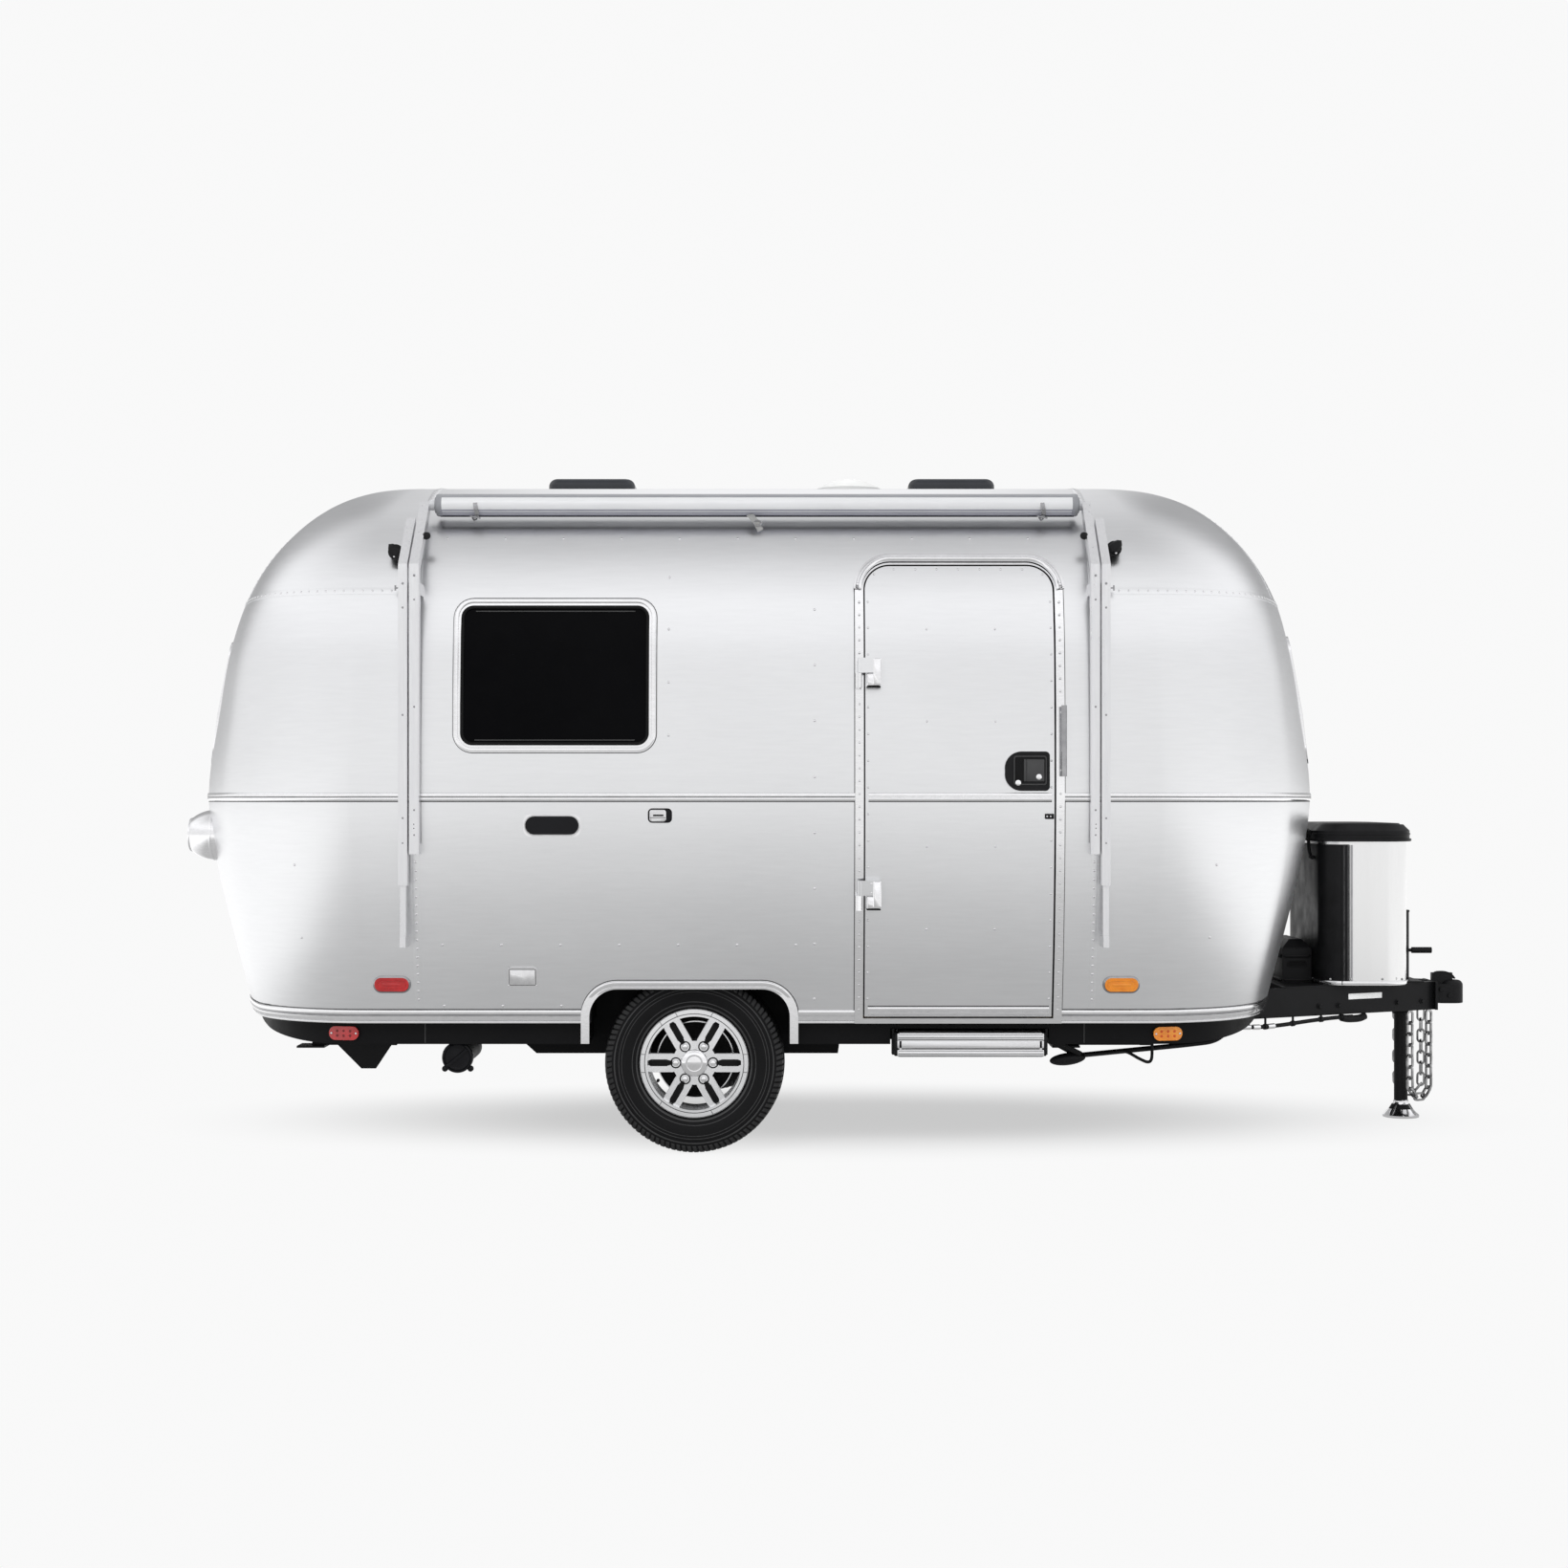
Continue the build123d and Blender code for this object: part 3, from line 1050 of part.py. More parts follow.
for name, (x, side) in LEG_PIVOTS.items():
    with BuildPart() as corner_leg:
        y = side * LEG_OUT
        block((x - LEG_LENGTH, x + LEG_TALL / 2), around(y, LEG_WIDE), around(LEG_PIVOT_Z, LEG_TALL))
        under = LEG_PIVOT_Z - LEG_TALL / 2
        block(around(x - LEG_LENGTH, LEG_PAD), around(y, LEG_PAD), (under - LEG_PAD_THICK, under))
        rod((x, y - LEG_WIDE, LEG_PIVOT_Z), (x, y + LEG_WIDE, LEG_PIVOT_Z), LEG_PIN_RADIUS + PIN_CLEARANCE,
            Mode.SUBTRACT)
    save(corner_leg, f"leg_{name}")

# Drain outlet with its cap, and the guard plate behind the rear leg
with BuildPart() as drain_outlet:
    rod((DRAIN_X, -DRAIN_OUT, DRAIN_Z), (DRAIN_X, -DRAIN_OUT + DRAIN_RADIUS, DRAIN_Z), DRAIN_RADIUS)
    rod((DRAIN_X, -DRAIN_OUT, DRAIN_Z), (DRAIN_X, -LEG_OUT, DRAIN_Z), DRAIN_RADIUS * 0.82)
save(drain_outlet, "drain_outlet")

with BuildPart() as guard_plates:
    with BuildSketch(Plane.XZ.offset(GUARD_OUT)) as plate:
        inset = (PAN_BOTTOM - GUARD_LOW) / 2
        with BuildLine():
            Polyline((GUARD_REAR, PAN_BOTTOM), (GUARD_FRONT, PAN_BOTTOM), (GUARD_FRONT, PAN_BOTTOM - inset / 2),
                     (GUARD_FRONT - inset, GUARD_LOW), (GUARD_REAR + 1.5 * inset, GUARD_LOW),
                     (GUARD_REAR, PAN_BOTTOM - inset / 2), close=True)
        make_face()
    extrude(plate.sketch, amount=GUARD_THICK)
    add(belly_pan.part, mode=Mode.SUBTRACT)
    mirror(about=Plane.XZ)

with BuildPart() as pan_brackets:
    add(leg_brackets.part)
    add(guard_plates.part)
    add(step_mounts.part)
save(pan_brackets, "pan_brackets")
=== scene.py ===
"""Looks of a riveted aluminium travel trailer, dressed over its CAD frame.

Metres. X points to the coupler, the curb side with the door is -Y, Z is up from the ground.
"""

import json
import logging
import math
from dataclasses import dataclass
from enum import Enum
from typing import Optional, Sequence

import bmesh
import bpy
import numpy as np
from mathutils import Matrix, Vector
from mathutils.bvhtree import BVHTree

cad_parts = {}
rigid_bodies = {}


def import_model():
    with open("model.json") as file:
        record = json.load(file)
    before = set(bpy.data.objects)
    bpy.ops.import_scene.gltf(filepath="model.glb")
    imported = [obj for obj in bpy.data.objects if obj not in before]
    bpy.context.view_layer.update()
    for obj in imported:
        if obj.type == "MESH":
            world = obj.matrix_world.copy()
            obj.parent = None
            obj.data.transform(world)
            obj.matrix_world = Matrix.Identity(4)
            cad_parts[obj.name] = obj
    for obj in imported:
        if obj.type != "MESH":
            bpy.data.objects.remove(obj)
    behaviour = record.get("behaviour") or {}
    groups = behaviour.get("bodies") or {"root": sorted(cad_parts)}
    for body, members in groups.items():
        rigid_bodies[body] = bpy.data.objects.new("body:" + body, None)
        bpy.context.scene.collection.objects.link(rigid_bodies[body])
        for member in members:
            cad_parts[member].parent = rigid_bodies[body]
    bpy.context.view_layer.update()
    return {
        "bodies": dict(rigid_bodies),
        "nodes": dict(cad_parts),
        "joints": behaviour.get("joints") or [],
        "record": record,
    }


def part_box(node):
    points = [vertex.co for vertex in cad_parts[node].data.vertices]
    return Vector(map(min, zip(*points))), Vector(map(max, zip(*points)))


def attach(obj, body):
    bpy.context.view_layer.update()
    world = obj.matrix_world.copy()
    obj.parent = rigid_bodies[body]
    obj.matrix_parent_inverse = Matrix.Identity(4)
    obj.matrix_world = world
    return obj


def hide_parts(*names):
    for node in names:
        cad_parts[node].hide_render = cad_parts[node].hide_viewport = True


LOG = logging.getLogger("trailer")
Array = np.ndarray
Colour = tuple[float, float, float]
Point = tuple[float, float, float]
Path = tuple[Point, ...]
Section = tuple[tuple[float, float], ...]
ZERO: Point = (0.0, 0.0, 0.0)
UP = np.array([0.0, 0.0, 1.0])
SIDES = (-1.0, 1.0)


class Body(str, Enum):
    """CAD bodies that new pieces ride on."""

    TRAILER = "trailer"
    DOOR = "door"
    WHEEL_CURB = "wheel_set_curb"
    WHEEL_STREET = "wheel_set_street"
    TREADS = "step_tread_pair"
    GAS_LID = "gas_cover_lid"
    JACK_LEG = "jack_sliding_leg"


def unit(vectors: Array) -> Array:
    """Scales vectors to length one.

    Args:
        vectors: Array whose last axis holds the components.
    Returns:
        The unit vectors, with zero vectors left as they are.
    """
    size = np.linalg.norm(vectors, axis=-1, keepdims=True)
    return vectors / np.where(size < 1e-12, 1.0, size)


def grid_faces(rows: int, cols: int, wrap_rows: bool = False, wrap_cols: bool = False) -> Array:
    """Quads of a grid of vertices that is stored row by row.

    Args:
        rows: Number of rows of vertices.
        cols: Number of vertices in a row.
        wrap_rows: Whether the last row joins the first.
        wrap_cols: Whether the last column joins the first.
    Returns:
        One row of four vertex numbers per quad.
    """
    row = np.arange(rows if wrap_rows else rows - 1)[:, None]
    col = np.arange(cols if wrap_cols else cols - 1)[None, :]
    row_next = (row + 1) % rows
    col_next = (col + 1) % cols
    corners = np.broadcast_arrays(row * cols + col, row * cols + col_next,
                                  row_next * cols + col_next, row_next * cols + col)
    return np.stack([corner.ravel() for corner in corners], axis=1)


def rounded_outline(width: float, height: float, radius: float, steps: int = 6) -> Array:
    """Closed outline of a rectangle with round corners, a quarter circle at each corner.

    Args:
        width: Full width.
        height: Full height.
        radius: Corner radius.
        steps: Points on each corner.
    Returns:
        Points in the plane, counter-clockwise.
    """
    turn = np.linspace(0.0, np.pi / 2, steps)
    quarters = np.concatenate([turn + k * np.pi / 2 for k in range(4)])
    signs = np.repeat([[1, 1], [-1, 1], [-1, -1], [1, -1]], steps, axis=0)
    centre = signs * [width / 2 - radius, height / 2 - radius]
    return centre + radius * np.stack([np.cos(quarters), np.sin(quarters)], axis=1)


def turns(count: int) -> Array:
    """Angles of evenly spaced points round a circle."""
    return np.arange(count) * 2 * np.pi / count


def circle(radius: float, steps: int) -> Array:
    """Closed circle of points in the plane."""
    turn = turns(steps)
    return radius * np.stack([np.cos(turn), np.sin(turn)], axis=1)


def smooth_line(points: Sequence[Sequence[float]], steps: int) -> Array:
    """Curve through control points: a Catmull-Rom spline sampled evenly in its parameter.

    Args:
        points: Control points, with any number of components.
        steps: Number of samples.
    Returns:
        The samples, one row each.
    """
    knots = np.asarray(points, float)
    padded = np.vstack([2 * knots[0] - knots[1], knots, 2 * knots[-1] - knots[-2]])
    where = np.linspace(0.0, len(knots) - 1 - 1e-9, steps)
    first = where.astype(int)
    part = (where - first)[:, None]
    before, here, after, later = (padded[first + k] for k in range(4))
    return 0.5 * (2 * here + (after - before) * part
                  + (2 * before - 5 * here + 4 * after - later) * part ** 2
                  + (3 * here - before - 3 * after + later) * part ** 3)


class Piece:
    """A new piece of the object: gathers surfaces and becomes one mesh that rides on a body."""

    def __init__(self, name: str) -> None:
        """Starts an empty piece with a name."""
        self.name = name
        self.points: list[Array] = []
        self.faces: list[Sequence[int]] = []
        self.count = 0

    def add(self, points: Array, faces: Sequence[Sequence[int]]) -> None:
        """Adds vertices and faces that number those vertices from zero."""
        self.points.append(np.asarray(points, float).reshape(-1, 3))
        self.faces.extend([[int(k) + self.count for k in face] for face in faces])
        self.count += len(self.points[-1])

    def grid(self, grid: Array, wrap_rows: bool = False, wrap_cols: bool = False,
             cap: bool = False) -> None:
        """Adds a parameter surface given as a grid of points.

        Args:
            grid: Points, rows by columns by three.
            wrap_rows: Whether the rows close on themselves.
            wrap_cols: Whether the columns close on themselves.
            cap: Whether the first and last rows are closed by flat faces.
        """
        rows, cols = grid.shape[:2]
        faces = grid_faces(rows, cols, wrap_rows, wrap_cols).tolist()
        if cap:
            faces.append(list(range(cols))[::-1])
            faces.append([(rows - 1) * cols + k for k in range(cols)])
        self.add(grid, faces)

    def sweep(self, path: Array, profile: Array, up: Array, closed: bool = False, cap: bool = True) -> None:
        """Carries a closed profile along a path: point = path + side * u + up * v.

        Args:
            path: Points of the path.
            profile: Closed profile, u and v columns.
            up: Direction of v, one vector or one per path point.
            closed: Whether the path closes on itself.
            cap: Whether open ends are closed.
        """
        path = np.asarray(path, float)
        if closed:
            along = np.roll(path, -1, 0) - np.roll(path, 1, 0)
        else:
            along = np.gradient(path, axis=0)
        along = unit(along)
        side = unit(np.cross(along, np.broadcast_to(np.asarray(up, float), path.shape)))
        rise = np.cross(side, along)
        grid = (path[:, None] + side[:, None] * profile[None, :, :1] + rise[:, None] * profile[None, :, 1:2])
        self.grid(grid, wrap_rows=closed, wrap_cols=True, cap=cap and not closed)

    def tube(self, path: Array, radius: float, steps: int = 10) -> None:
        """Carries a circle along a path."""
        path = np.asarray(path, float)
        lean = np.array([0.31, 0.52, 0.79])
        self.sweep(path, circle(radius, steps), lean)

    def lathe(self, profile: Array, centre: Sequence[float], axis: Sequence[float], steps: int = 32) -> None:
        """Turns a profile about an axis: radius in the first column, place along the axis in the second.

        Args:
            profile: Radius and place, one row per ring.
            centre: Point where the place is zero.
            axis: Direction of the axis.
            steps: Points on each ring.
        """
        axis = unit(np.asarray(axis, float))
        helper = UP if abs(axis[2]) < 0.9 else np.array([1.0, 0.0, 0.0])
        first = unit(np.cross(helper, axis))
        second = np.cross(axis, first)
        turn = turns(steps)
        ring = np.cos(turn)[:, None] * first + np.sin(turn)[:, None] * second
        profile = np.asarray(profile, float)
        grid = (np.asarray(centre, float) + profile[:, None, :1] * ring[None] + profile[:, None, 1:2] * axis)
        self.grid(grid, wrap_cols=True, cap=True)

    def plate(self, outline: Array, origin: Sequence[float], across: Sequence[float],
              up: Sequence[float], thick: float, bevel: float = 0.0) -> None:
        """Adds a plate with the outline, its back on the origin plane and its front edge bevelled.

        Args:
            outline: Closed outline, u and v columns.
            origin: Place of the outline's zero.
            across: Direction of u.
            up: Direction of v.
            thick: Thickness along across x up.
            bevel: Size of the bevel of the front edge.
        """
        across = unit(np.asarray(across, float))
        up = unit(np.asarray(up, float))
        out = np.cross(across, up)
        size = np.abs(outline).max(0)
        inner = outline * (1 - bevel / size)
        rings = [(outline, 0.0), (outline, thick - bevel), (inner, thick)]
        grid = np.stack([np.asarray(origin, float) + ring[:, :1] * across + ring[:, 1:2] * up + depth * out
                         for ring, depth in rings])
        self.grid(grid, wrap_cols=True, cap=True)

    def scatter(self, shape: Array, faces: Array, origins: Array, normals: Array,
                heads: Optional[Array] = None) -> None:
        """Repeats a small shape at many places, its z along each normal.

        Args:
            shape: Vertices of the shape.
            faces: Its faces.
            origins: Where it stands.
            normals: Its outward direction at each place.
            heads: Direction of its x at each place, or a free choice.
        """
        normals = unit(np.asarray(normals, float))
        lean = np.broadcast_to(np.array([0.12, 0.21, 0.97]), normals.shape) if heads is None else heads
        across = unit(np.cross(np.asarray(lean, float), normals))
        if heads is not None:
            across = np.cross(across, normals) * -1.0
        other = np.cross(normals, across)
        spread = (np.asarray(origins, float)[:, None] + shape[None, :, :1] * across[:, None]
                  + shape[None, :, 1:2] * other[:, None] + shape[None, :, 2:3] * normals[:, None])
        step = np.arange(len(origins))[:, None, None] * len(shape)
        self.add(spread, (np.asarray(faces)[None] + step).reshape(-1, np.asarray(faces).shape[1]).tolist())

    def build(self, body: Body, finish: "Finish", angle: float = 40.0) -> bpy.types.Object:
        """Makes the mesh object, dresses it and sets it on its body.

        Args:
            body: CAD body that it rides on.
            finish: Its finish.
            angle: Edges flatter than this many degrees are shaded smooth.
        Returns:
            The object.
        """
        mesh = bpy.data.meshes.new(self.name)
        mesh.from_pydata(np.concatenate(self.points).tolist(), [], self.faces)
        mesh.validate()
        work = bmesh.new()
        work.from_mesh(mesh)
        bmesh.ops.remove_doubles(work, verts=work.verts, dist=1e-6)
        bmesh.ops.recalc_face_normals(work, faces=work.faces)
        work.to_mesh(mesh)
        work.free()
        mesh.shade_smooth()
        mesh.set_sharp_from_angle(angle=math.radians(angle))
        item = bpy.data.objects.new(self.name, mesh)
        bpy.context.scene.collection.objects.link(item)
        item.data.materials.append(finish.material())
        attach(item, body.value)
        LOG.info("%s: %d vertices on %s", self.name, len(mesh.vertices), body.value)
        return item


class NodeTree:
    """Small helper to place and link shader nodes."""

    def __init__(self, tree: bpy.types.NodeTree) -> None:
        """Wraps an empty node tree."""
        self.tree = tree
        tree.nodes.clear()

    def node(self, kind: str, **values: object) -> bpy.types.Node:
        """Adds a node; values set its properties, or its inputs where the name is one.

        Args:
            kind: Node type.
            values: Properties and input values, with underscores for spaces.
        Returns:
            The node.
        """
        node = self.tree.nodes.new(kind)
        for key, value in values.items():
            socket = node.inputs.get(key.replace("_", " "))
            if socket is not None:
                socket.default_value = value
            else:
                setattr(node, key, value)
        return node

    def link(self, source: bpy.types.NodeSocket, target: bpy.types.NodeSocket) -> None:
        """Joins two sockets."""
        self.tree.links.new(source, target)

    def fed(self, kind: str, *feeds: object, **values: object) -> bpy.types.Node:
        """Adds a node and fills its first inputs in order, each by a link or by a value.

        Args:
            kind: Node type.
            feeds: Sockets to link from, or plain values.
            values: Properties and input values by name.
        Returns:
            The node.
        """
        node = self.node(kind, **values)
        for socket, feed in zip(node.inputs, feeds):
            if isinstance(feed, bpy.types.NodeSocket):
                self.link(feed, socket)
            else:
                socket.default_value = feed
        return node


def rgba(colour: Colour) -> tuple[float, float, float, float]:
    """Colour with full opacity."""
    return (*colour, 1.0)


class Effect(str, Enum):
    """Shader node groups that several finishes share."""

    MOTTLE = "soft_mottle"
    BRUSHED = "drawn_grain"


class Effects:
    """Builds each shared node group once."""

    @staticmethod
    def group(effect: Effect) -> bpy.types.NodeTree:
        """Finds or builds a shared group.

        Args:
            effect: Which group.
        Returns:
            The group, with colours, roughness and height out.
        """
        found = bpy.data.node_groups.get(effect.value)
        if found is not None:
            return found
        tree = bpy.data.node_groups.new(effect.value, "ShaderNodeTree")
        face = tree.interface
        for name, kind in (("Light", "NodeSocketColor"), ("Dark", "NodeSocketColor"),
                           ("Scale", "NodeSocketFloat"), ("Rough Low", "NodeSocketFloat"),
                           ("Rough High", "NodeSocketFloat"), ("Stretch", "NodeSocketVector")):
            face.new_socket(name, in_out="INPUT", socket_type=kind)
        for name, kind in (("Color", "NodeSocketColor"), ("Roughness", "NodeSocketFloat"),
                           ("Height", "NodeSocketFloat")):
            face.new_socket(name, in_out="OUTPUT", socket_type=kind)
        Effects._fill(NodeTree(tree), effect)
        return tree

    @staticmethod
    def _fill(kit: NodeTree, effect: Effect) -> None:
        """Places the nodes: a large and a small noise mixed, the small one drawn out for grain."""
        source = kit.node("NodeGroupInput")
        target = kit.node("NodeGroupOutput")
        place = kit.node("ShaderNodeTexCoord")
        scaled = kit.node("ShaderNodeVectorMath", operation="MULTIPLY")
        kit.link(place.outputs["Object"], scaled.inputs[0])
        kit.link(source.outputs["Stretch"], scaled.inputs[1])
        large = kit.node("ShaderNodeTexNoise", Detail=3.0, Roughness=0.5)
        kit.link(place.outputs["Object"], large.inputs["Vector"])
        kit.link(source.outputs["Scale"], large.inputs["Scale"])
        small = kit.node("ShaderNodeTexNoise", Scale=14.0, Detail=4.0, Roughness=0.6)
        kit.link(scaled.outputs[0], small.inputs["Vector"])
        share = 0.65 if effect is Effect.BRUSHED else 0.4
        blend = kit.node("ShaderNodeMix", data_type="FLOAT")
        blend.inputs[0].default_value = share
        kit.link(large.outputs["Fac"], blend.inputs[2])
        kit.link(small.outputs["Fac"], blend.inputs[3])
        spread = kit.node("ShaderNodeMapRange", From_Min=0.3, From_Max=0.7)
        kit.link(blend.outputs[0], spread.inputs["Value"])
        tone = kit.node("ShaderNodeMix", data_type="RGBA")
        kit.link(spread.outputs[0], tone.inputs[0])
        kit.link(source.outputs["Dark"], tone.inputs[6])
        kit.link(source.outputs["Light"], tone.inputs[7])
        rough = kit.node("ShaderNodeMapRange", From_Min=0.3, From_Max=0.7)
        kit.link(blend.outputs[0], rough.inputs["Value"])
        kit.link(source.outputs["Rough Low"], rough.inputs["To Min"])
        kit.link(source.outputs["Rough High"], rough.inputs["To Max"])
        kit.link(tone.outputs[2], target.inputs["Color"])
        kit.link(rough.outputs[0], target.inputs["Roughness"])
        kit.link(blend.outputs[0], target.inputs["Height"])


@dataclass(frozen=True)
class Finish:
    """A finish: two close tones, a roughness range, and how it mottles or draws out."""

    name: str
    slot: str
    light: Colour
    dark: Colour
    rough: tuple[float, float]
    metallic: float = 0.0
    scale: float = 6.0
    stretch: tuple[float, float, float] = (1.0, 1.0, 1.0)
    effect: Effect = Effect.MOTTLE
    bump: float = 0.0
    bump_depth: float = 0.001
    coat: float = 0.0
    specular: float = 0.5
    glow: float = 0.0

    def material(self) -> bpy.types.Material:
        """Finds or builds the node material of this finish."""
        found = bpy.data.materials.get(self.name)
        if found is not None:
            return found
        material = bpy.data.materials.new(self.name)
        material.use_nodes = True
        kit = NodeTree(material.node_tree)
        out = kit.node("ShaderNodeOutputMaterial")
        shader = kit.node("ShaderNodeBsdfPrincipled", Metallic=self.metallic, Coat_Weight=self.coat,
                          Specular_IOR_Level=self.specular)
        group = kit.node("ShaderNodeGroup")
        group.node_tree = Effects.group(self.effect)
        group.inputs["Light"].default_value = rgba(self.light)
        group.inputs["Dark"].default_value = rgba(self.dark)
        group.inputs["Scale"].default_value = self.scale
        group.inputs["Rough Low"].default_value = self.rough[0]
        group.inputs["Rough High"].default_value = self.rough[1]
        group.inputs["Stretch"].default_value = self.stretch
        kit.link(group.outputs["Color"], shader.inputs["Base Color"])
        kit.link(group.outputs["Roughness"], shader.inputs["Roughness"])
        if self.bump:
            relief = kit.node("ShaderNodeBump", Strength=self.bump, Distance=self.bump_depth)
            kit.link(group.outputs["Height"], relief.inputs["Height"])
            kit.link(relief.outputs["Normal"], shader.inputs["Normal"])
        if self.glow:
            shader.inputs["Emission Strength"].default_value = self.glow
            kit.link(group.outputs["Color"], shader.inputs["Emission Color"])
        kit.link(shader.outputs[0], out.inputs[0])
        return material


SHELL = Finish("satin_shell", "shell_aluminium", (0.83, 0.835, 0.845), (0.76, 0.765, 0.775), (0.27, 0.33),
               1.0, scale=0.9, stretch=(0.6, 0.6, 6.0), bump=0.12, bump_depth=0.004)
TRIM = Finish("bright_trim", "trim_aluminium", (0.89, 0.89, 0.90), (0.78, 0.78, 0.79), (0.10, 0.18), 1.0,
              scale=5.0, stretch=(3.0, 3.0, 12.0), effect=Effect.BRUSHED)
RIVET = Finish("rivet_heads", "trim_aluminium", (0.84, 0.84, 0.85), (0.66, 0.66, 0.67), (0.16, 0.26), 1.0,
               scale=40.0)
ARM_METAL = Finish("awning_arm_metal", "awning_white", (0.80, 0.80, 0.81), (0.70, 0.70, 0.715), (0.26, 0.36),
                   0.75, scale=4.0, stretch=(6.0, 6.0, 0.5), effect=Effect.BRUSHED)
AWNING = Finish("awning_cover", "awning_white", (0.66, 0.665, 0.68), (0.59, 0.595, 0.61), (0.4, 0.52), 0.25,
                scale=3.0, stretch=(0.4, 8.0, 8.0), effect=Effect.BRUSHED)
BLACK_STEEL = Finish("black_coated_steel", "black_steel", (0.012, 0.012, 0.013), (0.006, 0.006, 0.0065),
                     (0.36, 0.5), scale=9.0, bump=0.08, bump_depth=0.0006, specular=0.16)
BLACK_PAN = Finish("black_pan_coat", "black_steel", (0.006, 0.006, 0.0065), (0.003, 0.003, 0.0035),
                   (0.4, 0.58), scale=3.0, bump=0.05, bump_depth=0.001, specular=0.12)
BLACK_PLASTIC = Finish("black_moulded_plastic", "black_plastic", (0.012, 0.012, 0.013),
                       (0.006, 0.006, 0.0065), (0.35, 0.5), scale=14.0, bump=0.1, bump_depth=0.0005,
                       specular=0.16)
TREAD_METAL = Finish("ribbed_step_metal", "step_aluminium", (0.82, 0.82, 0.83), (0.68, 0.68, 0.69),
                     (0.26, 0.38), 0.9, scale=5.0, stretch=(0.5, 10.0, 10.0), effect=Effect.BRUSHED)
ALLOY = Finish("machined_alloy", "alloy", (0.95, 0.955, 0.965), (0.86, 0.865, 0.88), (0.2, 0.3), 0.95,
               scale=9.0)
CHROME = Finish("chrome", "alloy", (0.90, 0.90, 0.91), (0.80, 0.80, 0.81), (0.06, 0.12), 1.0, scale=20.0)
RUBBER = Finish("tyre_rubber", "tyre", (0.008, 0.008, 0.0085), (0.004, 0.004, 0.0045), (0.5, 0.7),
                scale=12.0, bump=0.15, bump_depth=0.0006, specular=0.16)
# A lighter copy of the tyre rubber: the lift in tone is painted sheen on the tread lugs.
RUBBER_LUG = Finish("tread_rubber_painted_sheen", "tyre", (0.020, 0.020, 0.0205), (0.012, 0.012, 0.0125), (0.38, 0.5),
                    scale=12.0, specular=0.4)
# A lighter, glossier copy of the tyre rubber, its lift in tone painted sheen; it dresses the sidewall rings,
# the window glint lines, the latch face and the pan seam lines.
RUBBER_RING = Finish("lightened_rubber_painted_sheen", "tyre", (0.040, 0.040, 0.041), (0.024, 0.024, 0.0245), (0.24, 0.36),
                     scale=12.0, specular=0.5)
GLASS = Finish("dark_window_glass", "dark_glass", (0.003, 0.003, 0.0035), (0.0015, 0.0015, 0.002),
               (0.04, 0.07), scale=1.5, specular=0.03)
RED_LENS = Finish("red_lens_plastic", "red_lens", (0.62, 0.018, 0.02), (0.36, 0.008, 0.01), (0.12, 0.2),
                  scale=30.0, coat=0.5)
AMBER_LENS = Finish("amber_lens_plastic", "amber_lens", (0.95, 0.33, 0.015), (0.75, 0.2, 0.008), (0.12, 0.2),
                    scale=30.0, coat=0.5)
WHITE_PLASTIC = Finish("white_roof_plastic", "white_plastic", (0.76, 0.76, 0.75), (0.66, 0.66, 0.65),
                       (0.35, 0.5), scale=7.0)
SMOKE = Finish("smoke_vent_plastic", "smoke_plastic", (0.018, 0.021, 0.028), (0.010, 0.012, 0.016),
               (0.12, 0.2), scale=6.0)
ZINC = Finish("zinc_steel", "chain_steel", (0.58, 0.58, 0.58), (0.14, 0.14, 0.145), (0.14, 0.26), 1.0,
              scale=34.0)
POLISHED = Finish("brushed_steel_cover", "shell_aluminium", (0.80, 0.80, 0.80), (0.75, 0.75, 0.75),
                  (0.22, 0.28), 1.0, scale=2.5, stretch=(14.0, 14.0, 0.6), effect=Effect.BRUSHED)
# The glow is painted light: the reflector emits so that it reads brighter, though it is no lamp.
REFLECTOR_GLOW = Finish("reflector_painted_glow", "white_plastic", (0.90, 0.90, 0.89), (0.84, 0.84, 0.83), (0.25, 0.35),
                   scale=18.0, glow=0.3)
BOTTLE = Finish("bottle_enamel", "bottle_paint", (0.70, 0.70, 0.69), (0.60, 0.60, 0.59), (0.3, 0.42),
                scale=7.0)
PLY = Finish("floor_plywood", "floor_ply", (0.50, 0.37, 0.22), (0.38, 0.27, 0.15), (0.5, 0.65), scale=4.0,
             stretch=(0.6, 9.0, 9.0), effect=Effect.BRUSHED)
# Painted shadow: dark lines laid beside trims, along grooves and at edges where shade falls.
SEAM_SHADOW = Finish("seam_shadow", "black_plastic", (0.05, 0.05, 0.052), (0.03, 0.03, 0.031), (0.5, 0.7),
                   scale=20.0)
# Near-black plates: in slots, gaps, grooves, nut seats, spoke slots and under the awning they are painted
# shade; on the window gaskets it is their own black rubber.
SHADE_AND_BLACK = Finish("painted_shade_and_black_rubber", "black_plastic", (0.006, 0.006, 0.0065), (0.003, 0.003, 0.003), (0.6, 0.8),
                    scale=20.0, specular=0.2)
GLOSS_BLACK = Finish("gloss_black_enamel", "black_plastic", (0.008, 0.008, 0.010), (0.004, 0.004, 0.005),
                     (0.12, 0.2), scale=10.0, specular=0.16)
CHROME_DARK = Finish("shaded_chrome", "trim_aluminium", (0.42, 0.42, 0.43), (0.28, 0.28, 0.29), (0.12, 0.2),
                     1.0, scale=20.0)
RED_DEEP = Finish("red_lamp_dots", "red_lens", (0.22, 0.006, 0.008), (0.14, 0.004, 0.005), (0.2, 0.3),
                  scale=30.0)
AMBER_DEEP = Finish("amber_lamp_dots", "amber_lens", (0.70, 0.10, 0.006), (0.52, 0.07, 0.004), (0.2, 0.3),
                    scale=30.0)
